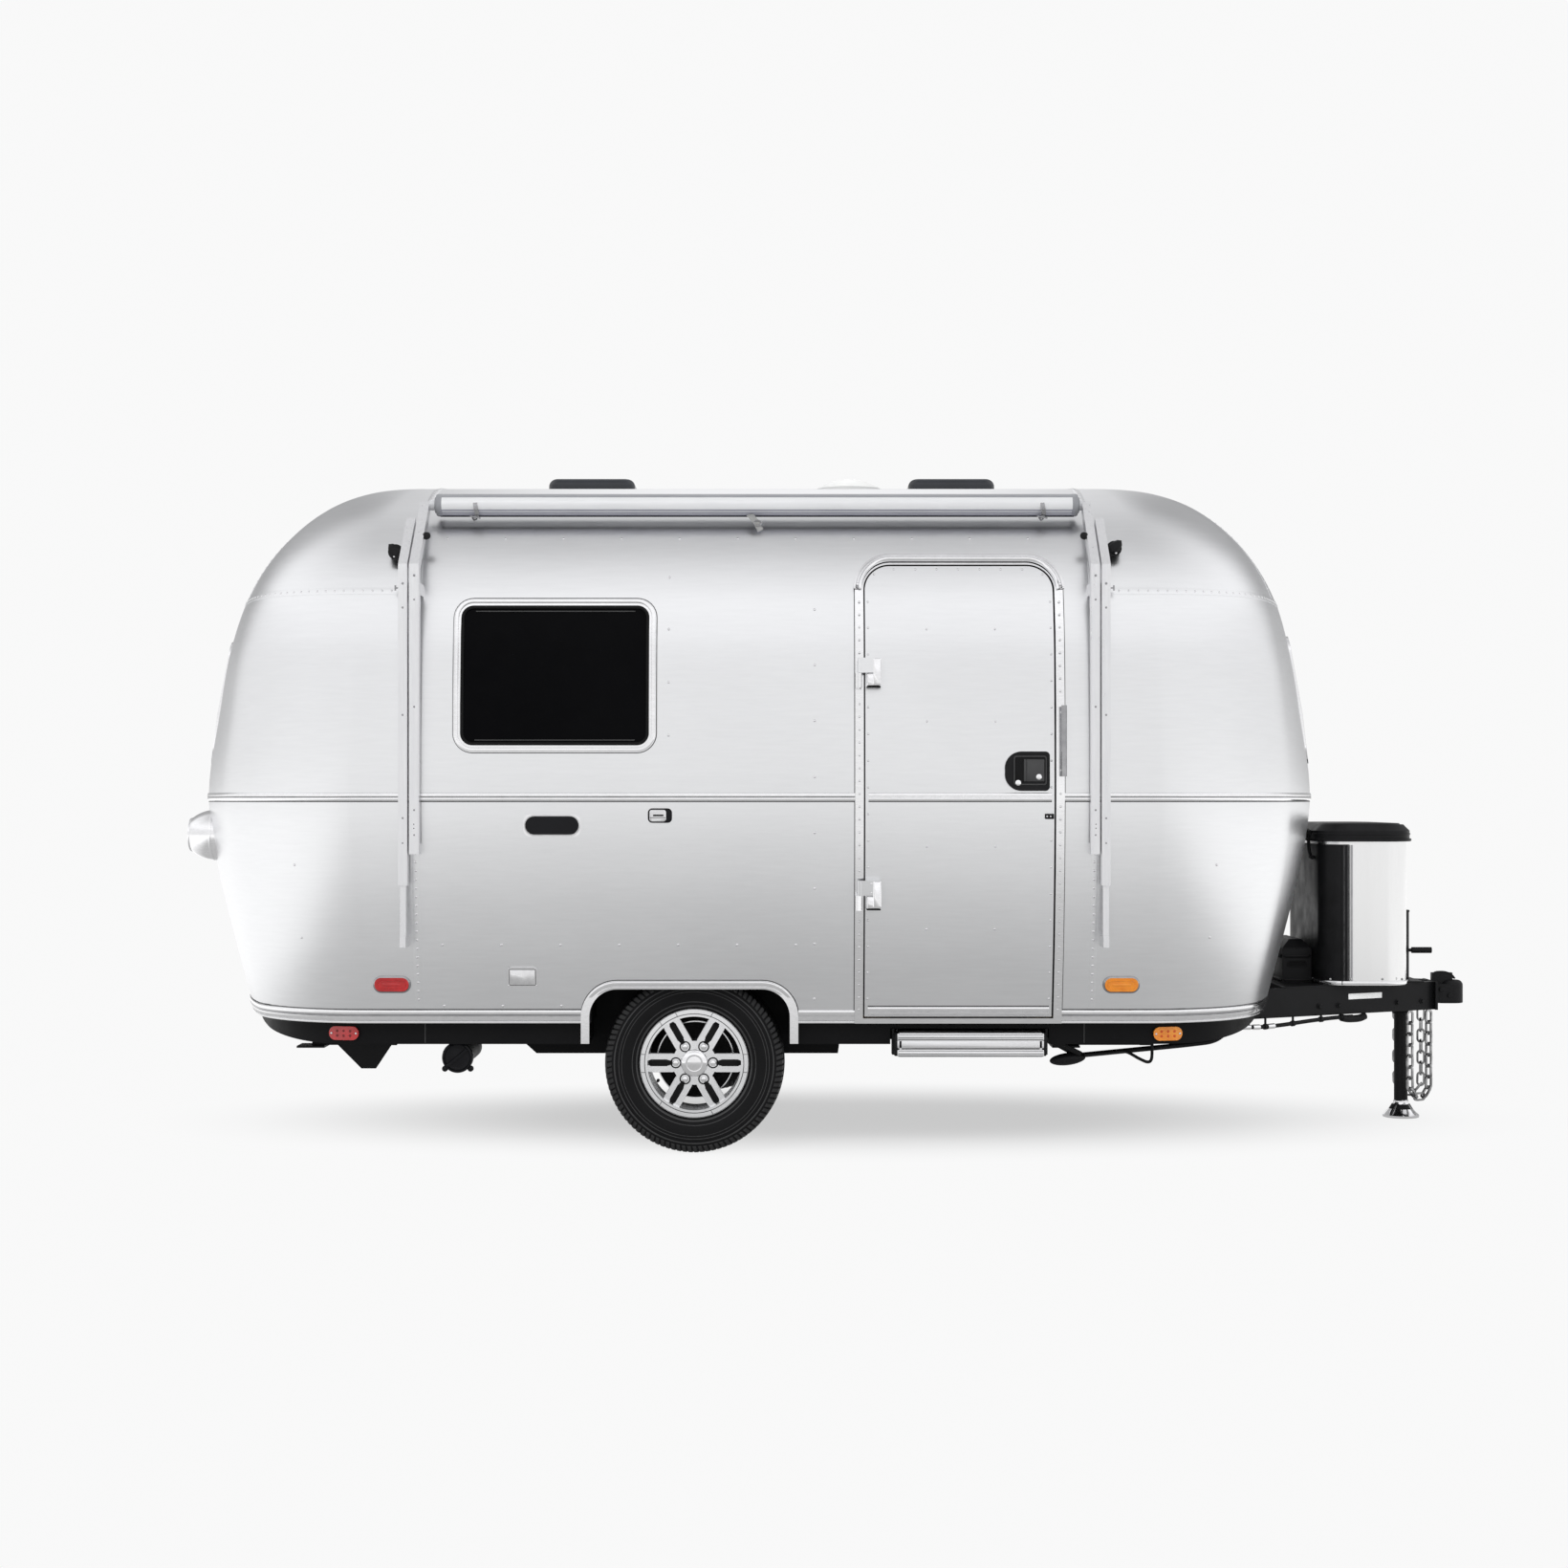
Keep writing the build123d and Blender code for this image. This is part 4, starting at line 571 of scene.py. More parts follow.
AWNING_SHADE = Finish("awning_grey", "awning_white", (0.30, 0.305, 0.32), (0.25, 0.255, 0.27), (0.4, 0.55),
                      0.2, scale=5.0)
AWNING_BRIGHT = Finish("awning_bright", "awning_white", (0.80, 0.80, 0.81), (0.72, 0.72, 0.73), (0.35, 0.5),
                       0.2, scale=4.0, stretch=(0.4, 8.0, 8.0))
AWNING_RIB = Finish("awning_rib", "awning_white", (0.34, 0.34, 0.40), (0.27, 0.27, 0.33), (0.35, 0.5), 0.3,
                    scale=6.0)
STRAP_WEB = Finish("strap_webbing", "awning_white", (0.42, 0.42, 0.41), (0.28, 0.28, 0.275), (0.6, 0.8),
                   scale=60.0)

NODE_FINISH: dict[Finish, tuple[str, ...]] = {
    TRIM: ("window_frames", "door_frame", "arch_trims", "tail_bodies", "wall_fittings"),
    CHROME_DARK: ("grab_handle",),
    ARM_METAL: ("awning_arms",),
    AWNING: ("awning_roller",),
    BLACK_STEEL: ("aframe_rails", "tongue_tray", "coupler", "jack_tube", "jack_leg", "axle_tube", "axle_arms",
                  "step_arms", "leg_front_curb", "leg_front_street", "leg_rear_curb", "leg_rear_street",
                  "pan_brackets"),
    BLACK_PAN: ("belly_pan", "wheel_wells"),
    BLACK_PLASTIC: ("battery_box", "gas_lid", "door_latch", "drain_outlet", "scene_lamps"),
    TREAD_METAL: ("step_treads",),
    ALLOY: ("wheel_curb", "wheel_street"),
    RUBBER: ("tyre_curb", "tyre_street"),
    GLASS: ("window_glass",),
    RED_LENS: ("lenses_red",),
    AMBER_LENS: ("lenses_amber",),
    WHITE_PLASTIC: ("roof_fittings",),
    SMOKE: ("vent_lid_front", "vent_lid_rear"),
    ZINC: ("safety_chains",),
    POLISHED: ("gas_cover",),
    BOTTLE: ("gas_bottles",),
    PLY: ("floor",),
    SHELL: ("wall_curb", "wall_street", "roof_middle", "rear_wall", "rear_cap", "front_wall", "front_cap",
            "door_panel"),
}


def smooth_group(angle: float = 28.0) -> bpy.types.NodeTree:
    """Geometry nodes that merge loose triangles and shade smooth all but sharp edges.

    Args:
        angle: Edges sharper than this many degrees stay sharp.
    Returns:
        The node group.
    """
    found = bpy.data.node_groups.get("merge_and_smooth")
    if found is not None:
        return found
    tree = bpy.data.node_groups.new("merge_and_smooth", "GeometryNodeTree")
    tree.interface.new_socket("Geometry", in_out="INPUT", socket_type="NodeSocketGeometry")
    tree.interface.new_socket("Geometry", in_out="OUTPUT", socket_type="NodeSocketGeometry")
    kit = NodeTree(tree)
    source = kit.node("NodeGroupInput")
    target = kit.node("NodeGroupOutput")
    merge = kit.node("GeometryNodeMergeByDistance", Distance=1e-5)
    smooth = kit.node("GeometryNodeSetShadeSmooth", domain="FACE")
    sharp = kit.node("GeometryNodeSetShadeSmooth", domain="EDGE")
    sharp.inputs["Shade Smooth"].default_value = False
    bend = kit.node("GeometryNodeInputMeshEdgeAngle")
    test = kit.node("FunctionNodeCompare", operation="GREATER_THAN")
    test.inputs[1].default_value = math.radians(angle)
    kit.link(source.outputs[0], merge.inputs["Geometry"])
    kit.link(merge.outputs[0], smooth.inputs["Geometry"])
    kit.link(smooth.outputs[0], sharp.inputs["Geometry"])
    kit.link(bend.outputs["Unsigned Angle"], test.inputs[0])
    kit.link(test.outputs[0], sharp.inputs["Selection"])
    kit.link(sharp.outputs[0], target.inputs[0])
    return tree


def dress_nodes(nodes: dict[str, bpy.types.Object]) -> None:
    """Gives each CAD node its finish, and merges and smooths it by a modifier.

    Args:
        nodes: CAD nodes by name.
    """
    for finish, names in NODE_FINISH.items():
        for name in names:
            node = nodes[name]
            node.data.materials.clear()
            node.data.materials.append(finish.material())
            node.modifiers.new("merge_and_smooth", "NODES").node_group = smooth_group()


class End(Enum):
    """The two round ends of the body, by their direction along X."""

    REAR = -1
    FRONT = 1


@dataclass(frozen=True)
class BodyForm:
    """Outer form of the body: plan outlines with a half width and an end reach at each height."""

    rear_seam: float = -1.656
    front_seam: float = 0.892
    base: float = 0.505
    belt: float = 1.364
    crown: float = 2.620
    run_share: float = 0.24
    corner_share: float = 0.62
    probe: float = 0.004
    below_shares: tuple[float, ...] = (0.0, 0.343, 0.693, 1.0)
    above_shares: tuple[float, ...] = (0.2675, 0.49, 0.6275, 0.745, 0.84, 0.92, 0.972, 1.0)
    widths: tuple[float, ...] = (1.112, 1.168, 1.205, 1.219, 1.214, 1.192, 1.15, 1.075, 0.968, 0.822, 0.65,
                                 0.33)
    rear: tuple[float, ...] = (0.825, 0.905, 0.98, 1.015, 0.967, 0.912, 0.851, 0.765, 0.659, 0.528, 0.392,
                               0.145)
    front: tuple[float, ...] = (0.843, 0.922, 0.997, 1.033, 0.992, 0.94, 0.89, 0.813, 0.714, 0.59, 0.45, 0.17)

    @property
    def heights(self) -> Array:
        """Heights of the sections, from the base over the belt to the crown."""
        low = self.base + np.array(self.below_shares) * (self.belt - self.base)
        return np.concatenate([low, self.belt + np.array(self.above_shares) * (self.crown - self.belt)])

    def reaches(self, end: End) -> tuple[float, ...]:
        """Table of end reaches of one end."""
        return self.front if end is End.FRONT else self.rear

    @staticmethod
    def _arc_lengths(values: Array, heights: Array) -> Array:
        """Running chord length of a section line, the parameter in which it bends evenly."""
        steps = np.hypot(np.diff(values), np.diff(heights))
        return np.concatenate([[0.0], np.cumsum(steps)])

    def _bent(self, values: Sequence[float], height: Array) -> Array:
        """Smooth section line: a cubic through the table, run by chord length and read off by height.

        Args:
            values: Table column.
            height: Heights to read at.
        Returns:
            The column's value at each height.
        """
        table = np.array(values)
        level = self.heights
        run = self._arc_lengths(table, level)
        slope_value = np.gradient(table, run)
        slope_level = np.gradient(level, run)
        top = table.argmax()
        slope_value[top] = 0.0
        slope_value[-1] = -1.0
        slope_level[-1] = 0.0
        fine = np.linspace(0.0, run[-1], 1500)
        first = np.clip(np.searchsorted(run, fine, side="right") - 1, 0, len(run) - 2)
        span = run[first + 1] - run[first]
        part = (fine - run[first]) / span

        def hermite(knots: Array, slopes: Array) -> Array:
            """Cubic Hermite curve over the chord length."""
            return ((2 * part ** 3 - 3 * part ** 2 + 1) * knots[first]
                    + (part ** 3 - 2 * part ** 2 + part) * span * slopes[first]
                    + (3 * part ** 2 - 2 * part ** 3) * knots[first + 1]
                    + (part ** 3 - part ** 2) * span * slopes[first + 1])

        level_line = np.maximum.accumulate(hermite(level, slope_level))
        return np.interp(height, level_line, np.minimum(hermite(table, slope_value), table.max()))

    def width(self, height: Array) -> Array:
        """Half width of the smooth body at a height."""
        return self._bent(self.widths, np.asarray(height, float))

    def reach(self, height: Array, end: End) -> Array:
        """How far a smooth round end reaches beyond its seam at a height."""
        return self._bent(self.reaches(end), np.asarray(height, float))

    def wall(self, along: Array, height: Array, side: float, proud: float = 0.0) -> tuple[Array, Array]:
        """Points and normals on the straight wall or roof between the seams.

        Args:
            along: Places along X.
            height: Heights, the same shape.
            side: -1 for the curb side, 1 for the street side.
            proud: Distance off the skin.
        Returns:
            Points and outward normals.
        """
        along, height = np.broadcast_arrays(np.asarray(along, float), np.asarray(height, float))
        step = self.probe
        rise = (self.width(height + step) - self.width(height - step)) / (2 * step)
        normal = unit(np.stack([np.zeros_like(rise), np.full_like(rise, side), -rise], axis=-1))
        point = np.stack([along, side * self.width(height), height], axis=-1)
        return point + proud * normal, normal

    def arcs(self, width: Array, reach: Array) -> tuple[Array, Array, Array, Array, Array]:
        """Plan arcs of an end: straight run, corner radius, corner centre's Y, end radius and half turn."""
        run = self.run_share * reach
        corner = self.corner_share * reach
        flat = width - corner
        far = reach - run
        big = (far ** 2 + flat ** 2 - corner ** 2) / (2 * (far - corner))
        turn = np.arcsin(np.clip(flat / (big - corner), -1, 1))
        return run, corner, flat, big, turn

    def _plan(self, share: Array, width: Array, reach: Array) -> Array:
        """Point of an end's plan outline: straight run, corner arc, end arc and back, by share of its length.

        Args:
            share: 0 at the curb seam, 1 at the street seam.
            width: Half width.
            reach: End reach.
        Returns:
            Distance beyond the seam and Y.
        """
        run, corner, flat, big, turn = self.arcs(width, reach)
        corner_long = corner * (np.pi / 2 - turn)
        total = 2 * (run + corner_long + big * turn)
        back = total * np.minimum(share, 1 - share)
        sign = np.where(share < 0.5, -1.0, 1.0)
        bend = np.clip((back - run) / corner, 0.0, np.pi / 2 - turn)
        rest = np.clip(turn - (back - run - corner_long) / big, 0.0, turn)
        on_run = back < run
        in_corner = back < run + corner_long
        out = np.where(on_run, back, np.where(in_corner, run + corner * np.sin(bend),
                                              reach - big + big * np.cos(rest)))
        side = np.where(on_run, width, np.where(in_corner, flat + corner * np.cos(bend), big * np.sin(rest)))
        return np.stack([out, sign * side], axis=-1)

    def end(self, share: Array, height: Array, end: End, proud: float = 0.0) -> tuple[Array, Array]:
        """Points and normals on a round end.

        Args:
            share: Share of the way round, 0 at the curb seam and 1 at the street seam.
            height: Heights, the same shape.
            end: Which end.
            proud: Distance off the skin.
        Returns:
            Points and outward normals.
        """
        share, height = np.broadcast_arrays(np.asarray(share, float), np.asarray(height, float))

        def place(part: Array, level: Array) -> Array:
            """Point of the end's surface."""
            plan = self._plan(part, self.width(level), self.reach(level, end))
            seam = self.front_seam if end is End.FRONT else self.rear_seam
            return np.stack([seam + end.value * plan[..., 0], plan[..., 1], level], axis=-1)

        step = self.probe
        round_way = place(np.clip(share + step, 0, 1), height) - place(np.clip(share - step, 0, 1), height)
        up_way = place(share, height + step) - place(share, height - step)
        normal = unit(np.cross(round_way, up_way)) * end.value
        return place(share, height) + proud * normal, normal

    def loose_reading(self, values: Sequence[float], height: Array) -> Array:
        """Straight-line reading of a table column, as the CAD panels run between their sections."""
        return np.interp(height, self.heights, values)


FORM = BodyForm()


class ShellPanel:
    """A body panel: a copy of its CAD node with more rows, bent from flat bands to the smooth form."""

    row_step = 0.03
    close_rows = ((2.36, 2.575, 0.015), (2.575, 2.6199, 0.005))
    facing = 0.8

    def __init__(self, node: str) -> None:
        """Names the CAD node that the panel stands for."""
        self.node = node

    def _rows(self, work: bmesh.types.BMesh, low: float, high: float) -> None:
        """Cuts level rows of edges into the panel, closer together towards the crown."""
        levels = list(np.arange(low + self.row_step, min(high, self.close_rows[0][0]), self.row_step))
        for start, stop, step in self.close_rows:
            levels += list(np.arange(max(start, low), min(high, stop), step))
        for level in levels:
            parts = work.verts[:] + work.edges[:] + work.faces[:]
            bmesh.ops.bisect_plane(work, geom=parts, dist=1e-6, plane_co=(0, 0, level), plane_no=(0, 0, 1))

    def _bend(self, points: Array) -> Array:
        """Moves points from the straight bands to the smooth form.

        Each point's Y scales by smooth over straight half width at its height, and its distance
        beyond a seam by smooth over straight reach.

        Args:
            points: Points of the panel.
        Returns:
            The moved points.
        """
        level = np.clip(points[:, 2], FORM.base, FORM.crown)
        moved = points.copy()
        moved[:, 1] *= FORM.width(level) / FORM.loose_reading(FORM.widths, level)
        for end, seam in ((End.REAR, FORM.rear_seam), (End.FRONT, FORM.front_seam)):
            far = FORM.reach(level, end) / FORM.loose_reading(FORM.reaches(end), level)
            beyond = (points[:, 0] - seam) * end.value > 0
            moved[:, 0] = np.where(beyond, seam + (points[:, 0] - seam) * far, moved[:, 0])
        return moved

    @staticmethod
    def _normals(points: Array) -> Array:
        """Outward normals of the smooth form at points on it, from its slope with height and its plan."""
        level = np.clip(points[:, 2], FORM.base + 0.005, FORM.crown - 0.0005)
        step = 0.002
        front = points[:, 0] > FORM.front_seam
        beyond = np.where(front, points[:, 0] - FORM.front_seam, FORM.rear_seam - points[:, 0])
        beyond = np.maximum(beyond, 0.0)
        way = np.where(front, 1.0, -1.0)

        def gap(out: Array, side: Array, height: Array) -> Array:
            """How far a plan point lies outside the outline at a height, near the outline."""
            width = FORM.width(height)
            reach = np.where(front, FORM.reach(height, End.FRONT), FORM.reach(height, End.REAR))
            run, corner, flat, big, turn = FORM.arcs(width, reach)
            centre_angle = np.arctan2(np.abs(side), out - (reach - big))
            on_big = np.hypot(out - (reach - big), side) - big
            on_corner = np.hypot(out - run, np.abs(side) - flat) - corner
            on_wall = np.abs(side) - width
            return np.where(out <= run, on_wall, np.where(centre_angle < turn, on_big, on_corner))

        side = points[:, 1]
        by_out = gap(beyond + step, side, level) - gap(np.maximum(beyond - step, 1e-9), side, level)
        by_out = np.where(beyond > 0, by_out, 0.0)
        by_side = gap(beyond, side + step, level) - gap(beyond, side - step, level)
        above = np.minimum(level + step, FORM.crown)
        rise = gap(beyond, side, above) - gap(beyond, side, level - step)
        by_height = rise * 2 * step / (above - level + step)
        return unit(np.stack([by_out * way, by_side, by_height], axis=1))

    def build(self, body: Body, finish: Finish) -> bpy.types.Object:
        """Makes the panel, gives its outer skin the form's own normals and sets it on its body.

        Args:
            body: CAD body that it rides on.
            finish: Its finish.
        Returns:
            The panel.
        """
        source = bpy.data.objects[self.node]
        work = bmesh.new()
        work.from_mesh(source.data)
        bmesh.ops.remove_doubles(work, verts=work.verts, dist=1e-5)
        low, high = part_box(self.node)
        self._rows(work, low[2], high[2])
        mesh = bpy.data.meshes.new(self.node + "_skin")
        work.to_mesh(mesh)
        work.free()
        count = len(mesh.vertices)
        points = np.zeros(count * 3)
        mesh.vertices.foreach_get("co", points)
        points = self._bend(points.reshape(-1, 3))
        mesh.vertices.foreach_set("co", points.ravel())
        mesh.update()
        self._shade(mesh, points)
        item = bpy.data.objects.new(self.node + "_skin", mesh)
        bpy.context.scene.collection.objects.link(item)
        mesh.materials.clear()
        mesh.materials.append(finish.material())
        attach(item, body.value)
        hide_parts(self.node)
        LOG.info("%s: %d vertices", item.name, count)
        return item

    def _shade(self, mesh: bpy.types.Mesh, points: Array) -> None:
        """Sets corner normals: the form's own on the outer skin, the face's elsewhere."""
        mesh.polygons.foreach_set("use_smooth", np.ones(len(mesh.polygons), bool))
        corners = len(mesh.loops)
        vertex = np.zeros(corners, int)
        mesh.loops.foreach_get("vertex_index", vertex)
        totals = np.zeros(len(mesh.polygons), int)
        mesh.polygons.foreach_get("loop_total", totals)
        flat = np.zeros(len(mesh.polygons) * 3)
        mesh.polygons.foreach_get("normal", flat)
        flat = np.repeat(flat.reshape(-1, 3), totals, axis=0)
        smooth = self._normals(points)[vertex]
        crown = (points[:, 2] > FORM.crown - 1e-4)[vertex]
        smooth = np.where(crown[:, None], [0.0, 0.0, 1.0], smooth)
        outer = (flat * smooth).sum(1) > self.facing
        mesh.normals_split_custom_set(np.where(outer[:, None], smooth, flat).tolist())


SHELL_NODES = ("wall_curb", "wall_street", "roof_middle", "rear_wall", "rear_cap", "front_wall", "front_cap")


def dome(radius: float, height: float, sides: int = 8, rows: int = 4) -> tuple[Array, Array]:
    """Low round head, its foot on z = 0.

    Args:
        radius: Foot radius.
        height: Height of the head.
        sides: Points on each ring.
        rows: Rings up to the top point.
    Returns:
        Vertices and quads, with the top ring drawn together.
    """
    rise = np.linspace(0.0, np.pi / 2, rows)
    ring = circle(1.0, sides)
    points = np.concatenate([np.column_stack([ring * radius * np.cos(a), np.full(sides, height * np.sin(a))])
                             for a in rise])
    return points, grid_faces(rows, sides, wrap_cols=True)


def ridge(wide: float, narrow: float, high: float) -> Array:
    """Closed section of a low ridge: half width at its foot, half width at its top, and height."""
    return np.array([[-wide, -0.001], [wide, -0.001], [narrow, high], [-narrow, high]])


def slab(half: float, low: float, high: float) -> Array:
    """Closed section of a flat strip, across and out."""
    return np.array([[-half, low], [half, low], [half, high], [-half, high]])


def bead(width: float, height: float, groove: float = 0.0) -> Array:
    """Closed profile of a trim strip: rounded face with an optional groove along its middle.

    Args:
        width: Width over the wall.
        height: How far it stands proud.
        groove: Depth of the middle groove.
    Returns:
        Profile points, across and out.
    """
    across = np.array([-1.0, -1.0, -0.86, -0.6, -0.28, -0.16, -0.08, 0.08, 0.16, 0.28, 0.6, 0.86, 1.0, 1.0])
    out = np.array([-0.3, 0.3, 0.75, 0.98, 1.0, 0.96, 1.0, 1.0, 0.96, 1.0, 0.98, 0.75, 0.3, -0.3])
    low = np.abs(across) < 0.1
    out = np.where(low, 1.0 - groove / height, out)
    return np.column_stack([across * width / 2, out * height])


@dataclass(frozen=True)
class TrimSizes:
    """Sizes of the strips, seams and rivets of the body."""

    belt: float = 1.364
    belt_width: float = 0.032
    belt_proud: float = 0.0055
    lower: float = 0.536
    lower_width: float = 0.042
    lower_proud: float = 0.006
    foot: float = 0.510
    foot_width: float = 0.008
    door_start: float = 0.044
    door_stop: float = 0.731
    frame_start: float = -0.0065
    frame_stop: float = 0.7795
    arch_start: float = -1.0415
    arch_stop: float = -0.2185
    cap_seam: float = 2.130
    wall_top: float = 2.330
    rivet_radius: float = 0.0056
    rivet_height: float = 0.0032
    seam_spacing: float = 0.033
    low_row: float = 0.806
    row_span: tuple[float, float, float] = (-1.56, 0.85, 0.222)
    gores: tuple[float, float] = (0.3, 0.7)
    street_joint: float = -0.4

    @property
    def belt_breaks(self) -> tuple[float, float, float, float]:
        """X where the belt strip stops on the curb and the street wall."""
        return self.frame_start, self.frame_stop, self.street_joint, self.street_joint

    @property
    def arch_breaks(self) -> tuple[float, float, float, float]:
        """X where the lower strips stop at the arches and the door."""
        return self.arch_start, self.frame_stop, self.arch_start, self.arch_stop


class BodyTrim:
    """Strips round the body, panel seams and rows of rivets."""

    def __init__(self, sizes: TrimSizes = TrimSizes()) -> None:
        """Takes the sizes."""
        self.sizes = sizes

    @staticmethod
    def half_ring(height: float, end: End, curb: float, street: float,
                  proud: float = 0.0) -> tuple[Array, Array]:
        """Points and normals from the curb wall round one end to the street wall.

        Args:
            height: Height of the ring.
            end: End that it goes round.
            curb: X on the curb wall where it begins.
            street: X on the street wall where it ends.
            proud: Distance off the skin.
        Returns:
            Points and normals in order.
        """
        seam = FORM.front_seam if end is End.FRONT else FORM.rear_seam
        way = np.linspace(0.0, 1.0, 121)[1:-1]
        parts = [FORM.wall(np.linspace(curb, seam, 8), height, -1.0, proud),
                 FORM.end(way, np.full(len(way), height), end, proud),
                 FORM.wall(np.linspace(seam, street, 8), height, 1.0, proud)]
        return np.concatenate([p for p, _ in parts]), np.concatenate([n for _, n in parts])

    def strip(self, piece: Piece, height: float, profile: Array,
              breaks: tuple[float, float, float, float]) -> None:
        """Adds a strip round both ends.

        Args:
            piece: Piece that it is added to.
            height: Height of its middle.
            profile: Its section.
            breaks: X where the rear half stops and the front half starts, on the curb and on the street wall.
        """
        for end, curb, street in ((End.REAR, breaks[0], breaks[2]), (End.FRONT, breaks[1], breaks[3])):
            path, normal = self.half_ring(height, end, curb, street)
            piece.sweep(path, profile, normal)

    @staticmethod
    def straight(piece: Piece, height: float, profile: Array, start: float, stop: float,
                 side: float = -1.0) -> None:
        """Adds a level strip on a straight wall."""
        path, normal = FORM.wall(np.linspace(start, stop, 6), height, side)
        piece.sweep(path, profile, normal)

    def strips(self) -> None:
        """Belt strip, lower strip and foot bead, with the belt strip's length on the door."""
        size = self.sizes
        belt = bead(size.belt_width, size.belt_proud, 0.0025)
        lower = bead(size.lower_width, size.lower_proud, 0.003)
        foot = bead(size.foot_width, 0.005)
        body = Piece("body_strips")
        self.strip(body, size.belt, belt, size.belt_breaks)
        arch = size.arch_breaks
        for height, profile in ((size.lower, lower), (size.foot, foot)):
            self.strip(body, height, profile, arch)
            self.straight(body, height, profile, size.arch_stop, size.frame_start)
        body.build(Body.TRAILER, TRIM, 50)
        door = Piece("door_strips")
        self.straight(door, size.belt, belt, size.door_start, size.door_stop)
        door.build(Body.DOOR, TRIM, 50)

    def levels(self, low: float, high: float, spacing: float) -> Array:
        """Heights that are evenly spaced along the wall's section."""
        fine = np.linspace(low, high, 400)
        run = np.concatenate([[0.0], np.cumsum(np.hypot(np.diff(FORM.width(fine)), np.diff(fine)))])
        return np.interp(np.arange(spacing / 2, run[-1], spacing), run, fine)

    def column(self, along: float, low: float, high: float, side: float) -> tuple[Array, Array]:
        """Rivet places up a straight wall."""
        height = self.levels(low, high, self.sizes.seam_spacing)
        return FORM.wall(np.full(len(height), along), height, side)

    def seams(self) -> None:
        """Lapped edges of the panels: thin strips at the two seams, round the caps and up their gores."""
        size = self.sizes
        lap = np.array([[-0.013, -0.0006], [-0.013, 0.0009], [-0.011, 0.0013], [0.011, 0.0013],
                        [0.013, 0.0009], [0.013, -0.0006]])
        piece = Piece("panel_laps")
        heights = self.levels(size.lower + 0.02, FORM.crown - 0.003, 0.02)
        for side in SIDES:
            for along in (FORM.rear_seam, FORM.front_seam):
                path, normal = FORM.wall(np.full(len(heights), along), heights, side)
                piece.sweep(path, lap, normal)
        for end in End:
            way = np.linspace(0.0, 1.0, 121)
            path, normal = FORM.end(way, np.full(len(way), size.cap_seam + 0.012), end)
            piece.sweep(path, lap, normal)
            for share in size.gores:
                rise = self.levels(size.cap_seam, FORM.crown - 0.004, 0.02)
                path, normal = FORM.end(np.full(len(rise), share), rise, end)
                piece.sweep(path, lap, normal)
        piece.build(Body.TRAILER, SHELL, 50)

    def rivets(self) -> None:
        """Rows of rivet heads on the walls, seams and caps."""
        size = self.sizes
        low = size.lower + 0.045
        rows = []
        for side in SIDES:
            for along in (FORM.rear_seam, FORM.front_seam):
                rows.append(self.column(along, low, FORM.crown - 0.004, side))
            for along in np.arange(*size.row_span):
                outside_door = side > 0 or along < -0.04
                outside_arch = along < -1.06 or along > -0.2
                if outside_door and outside_arch:
                    rows.append(FORM.wall(np.array([along]), np.array([size.lower + 0.036]), side))
                if outside_door:
                    rows.append(FORM.wall(np.array([along]), np.array([size.low_row]), side))
                rows.append(FORM.wall(np.array([along]), np.array([size.wall_top + 0.022]), side))
        for along, height in ((-0.158, np.arange(0.60, 2.2, 0.21)), (-0.706, np.arange(1.595, 2.2, 0.2))):
            rows.append(FORM.wall(np.full(len(height), along), height, -1.0))
        for end in End:
            share = np.linspace(0.008, 0.992, 92)
            rows.append(FORM.end(share, np.full(len(share), size.cap_seam + 0.012), end))
            for share_at in size.gores:
                rise = self.levels(size.cap_seam + 0.05, FORM.crown - 0.006, size.seam_spacing)
                rows.append(FORM.end(np.full(len(rise), share_at), rise, end))
            dents = np.array([0.13, 0.13, 0.87, 0.87])
            rows.append(FORM.end(dents, np.array([1.108, 0.832, 1.108, 0.832]), end))
        piece = Piece("body_rivets")
        shape, faces = dome(size.rivet_radius, size.rivet_height)
        piece.scatter(shape, faces, np.concatenate([p for p, _ in rows]),
                      np.concatenate([n for _, n in rows]))
        piece.build(Body.TRAILER, RIVET, 60)

    def build(self) -> None:
        """Makes every strip, seam and rivet of the body."""
        self.strips()
        self.seams()
        self.rivets()


@dataclass(frozen=True)
class Mount:
    """A place on the curb wall with its own directions, to set small parts on."""

    origin: Array
    across: Array
    up: Array
    out: Array

    @staticmethod
    def curb(along: float, height: float, proud: float = 0.0) -> "Mount":
        """Place on the curb wall.

        Args:
            along: X.
            height: Z.
            proud: Distance off the skin.
        Returns:
            The mount.
        """
        point, normal = FORM.wall(np.array(along), np.array(height), -1.0, proud)
        across = np.array([1.0, 0.0, 0.0])
        return Mount(point, across, np.cross(normal, across), normal)

    @staticmethod
    def facing(origin: Sequence[float], side: float = -1.0) -> "Mount":
        """Upright place that faces the curb side, or the street side for 1."""
        return Mount(np.array(origin), np.array([-side, 0.0, 0.0]), UP, np.array([0.0, side, 0.0]))

    def at(self, u: float, v: float, w: float = 0.0) -> Array:
        """Point at u across, v up and w out."""
        return self.origin + u * self.across + v * self.up + w * self.out

    def plate(self, piece: Piece, outline: Array, thick: float, bevel: float = 0.0,
              centre: Point = ZERO) -> None:
        """Adds a plate with the outline, its back at the centre."""
        piece.plate(outline, self.at(*centre), self.across, self.up, thick, bevel)

    def rim(self, piece: Piece, outline: Array, profile: Array, centre: Point = ZERO) -> None:
        """Sweeps a profile round the outline."""
        path = np.stack([self.at(centre[0] + u, centre[1] + v, centre[2]) for u, v in outline])
        piece.sweep(path, profile, self.out, closed=True)

    def turned(self, piece: Piece, profile: Array, centre: Point = ZERO, steps: int = 24) -> None:
        """Turns a profile about the outward direction."""
        piece.lathe(profile, self.at(*centre), self.out, steps)


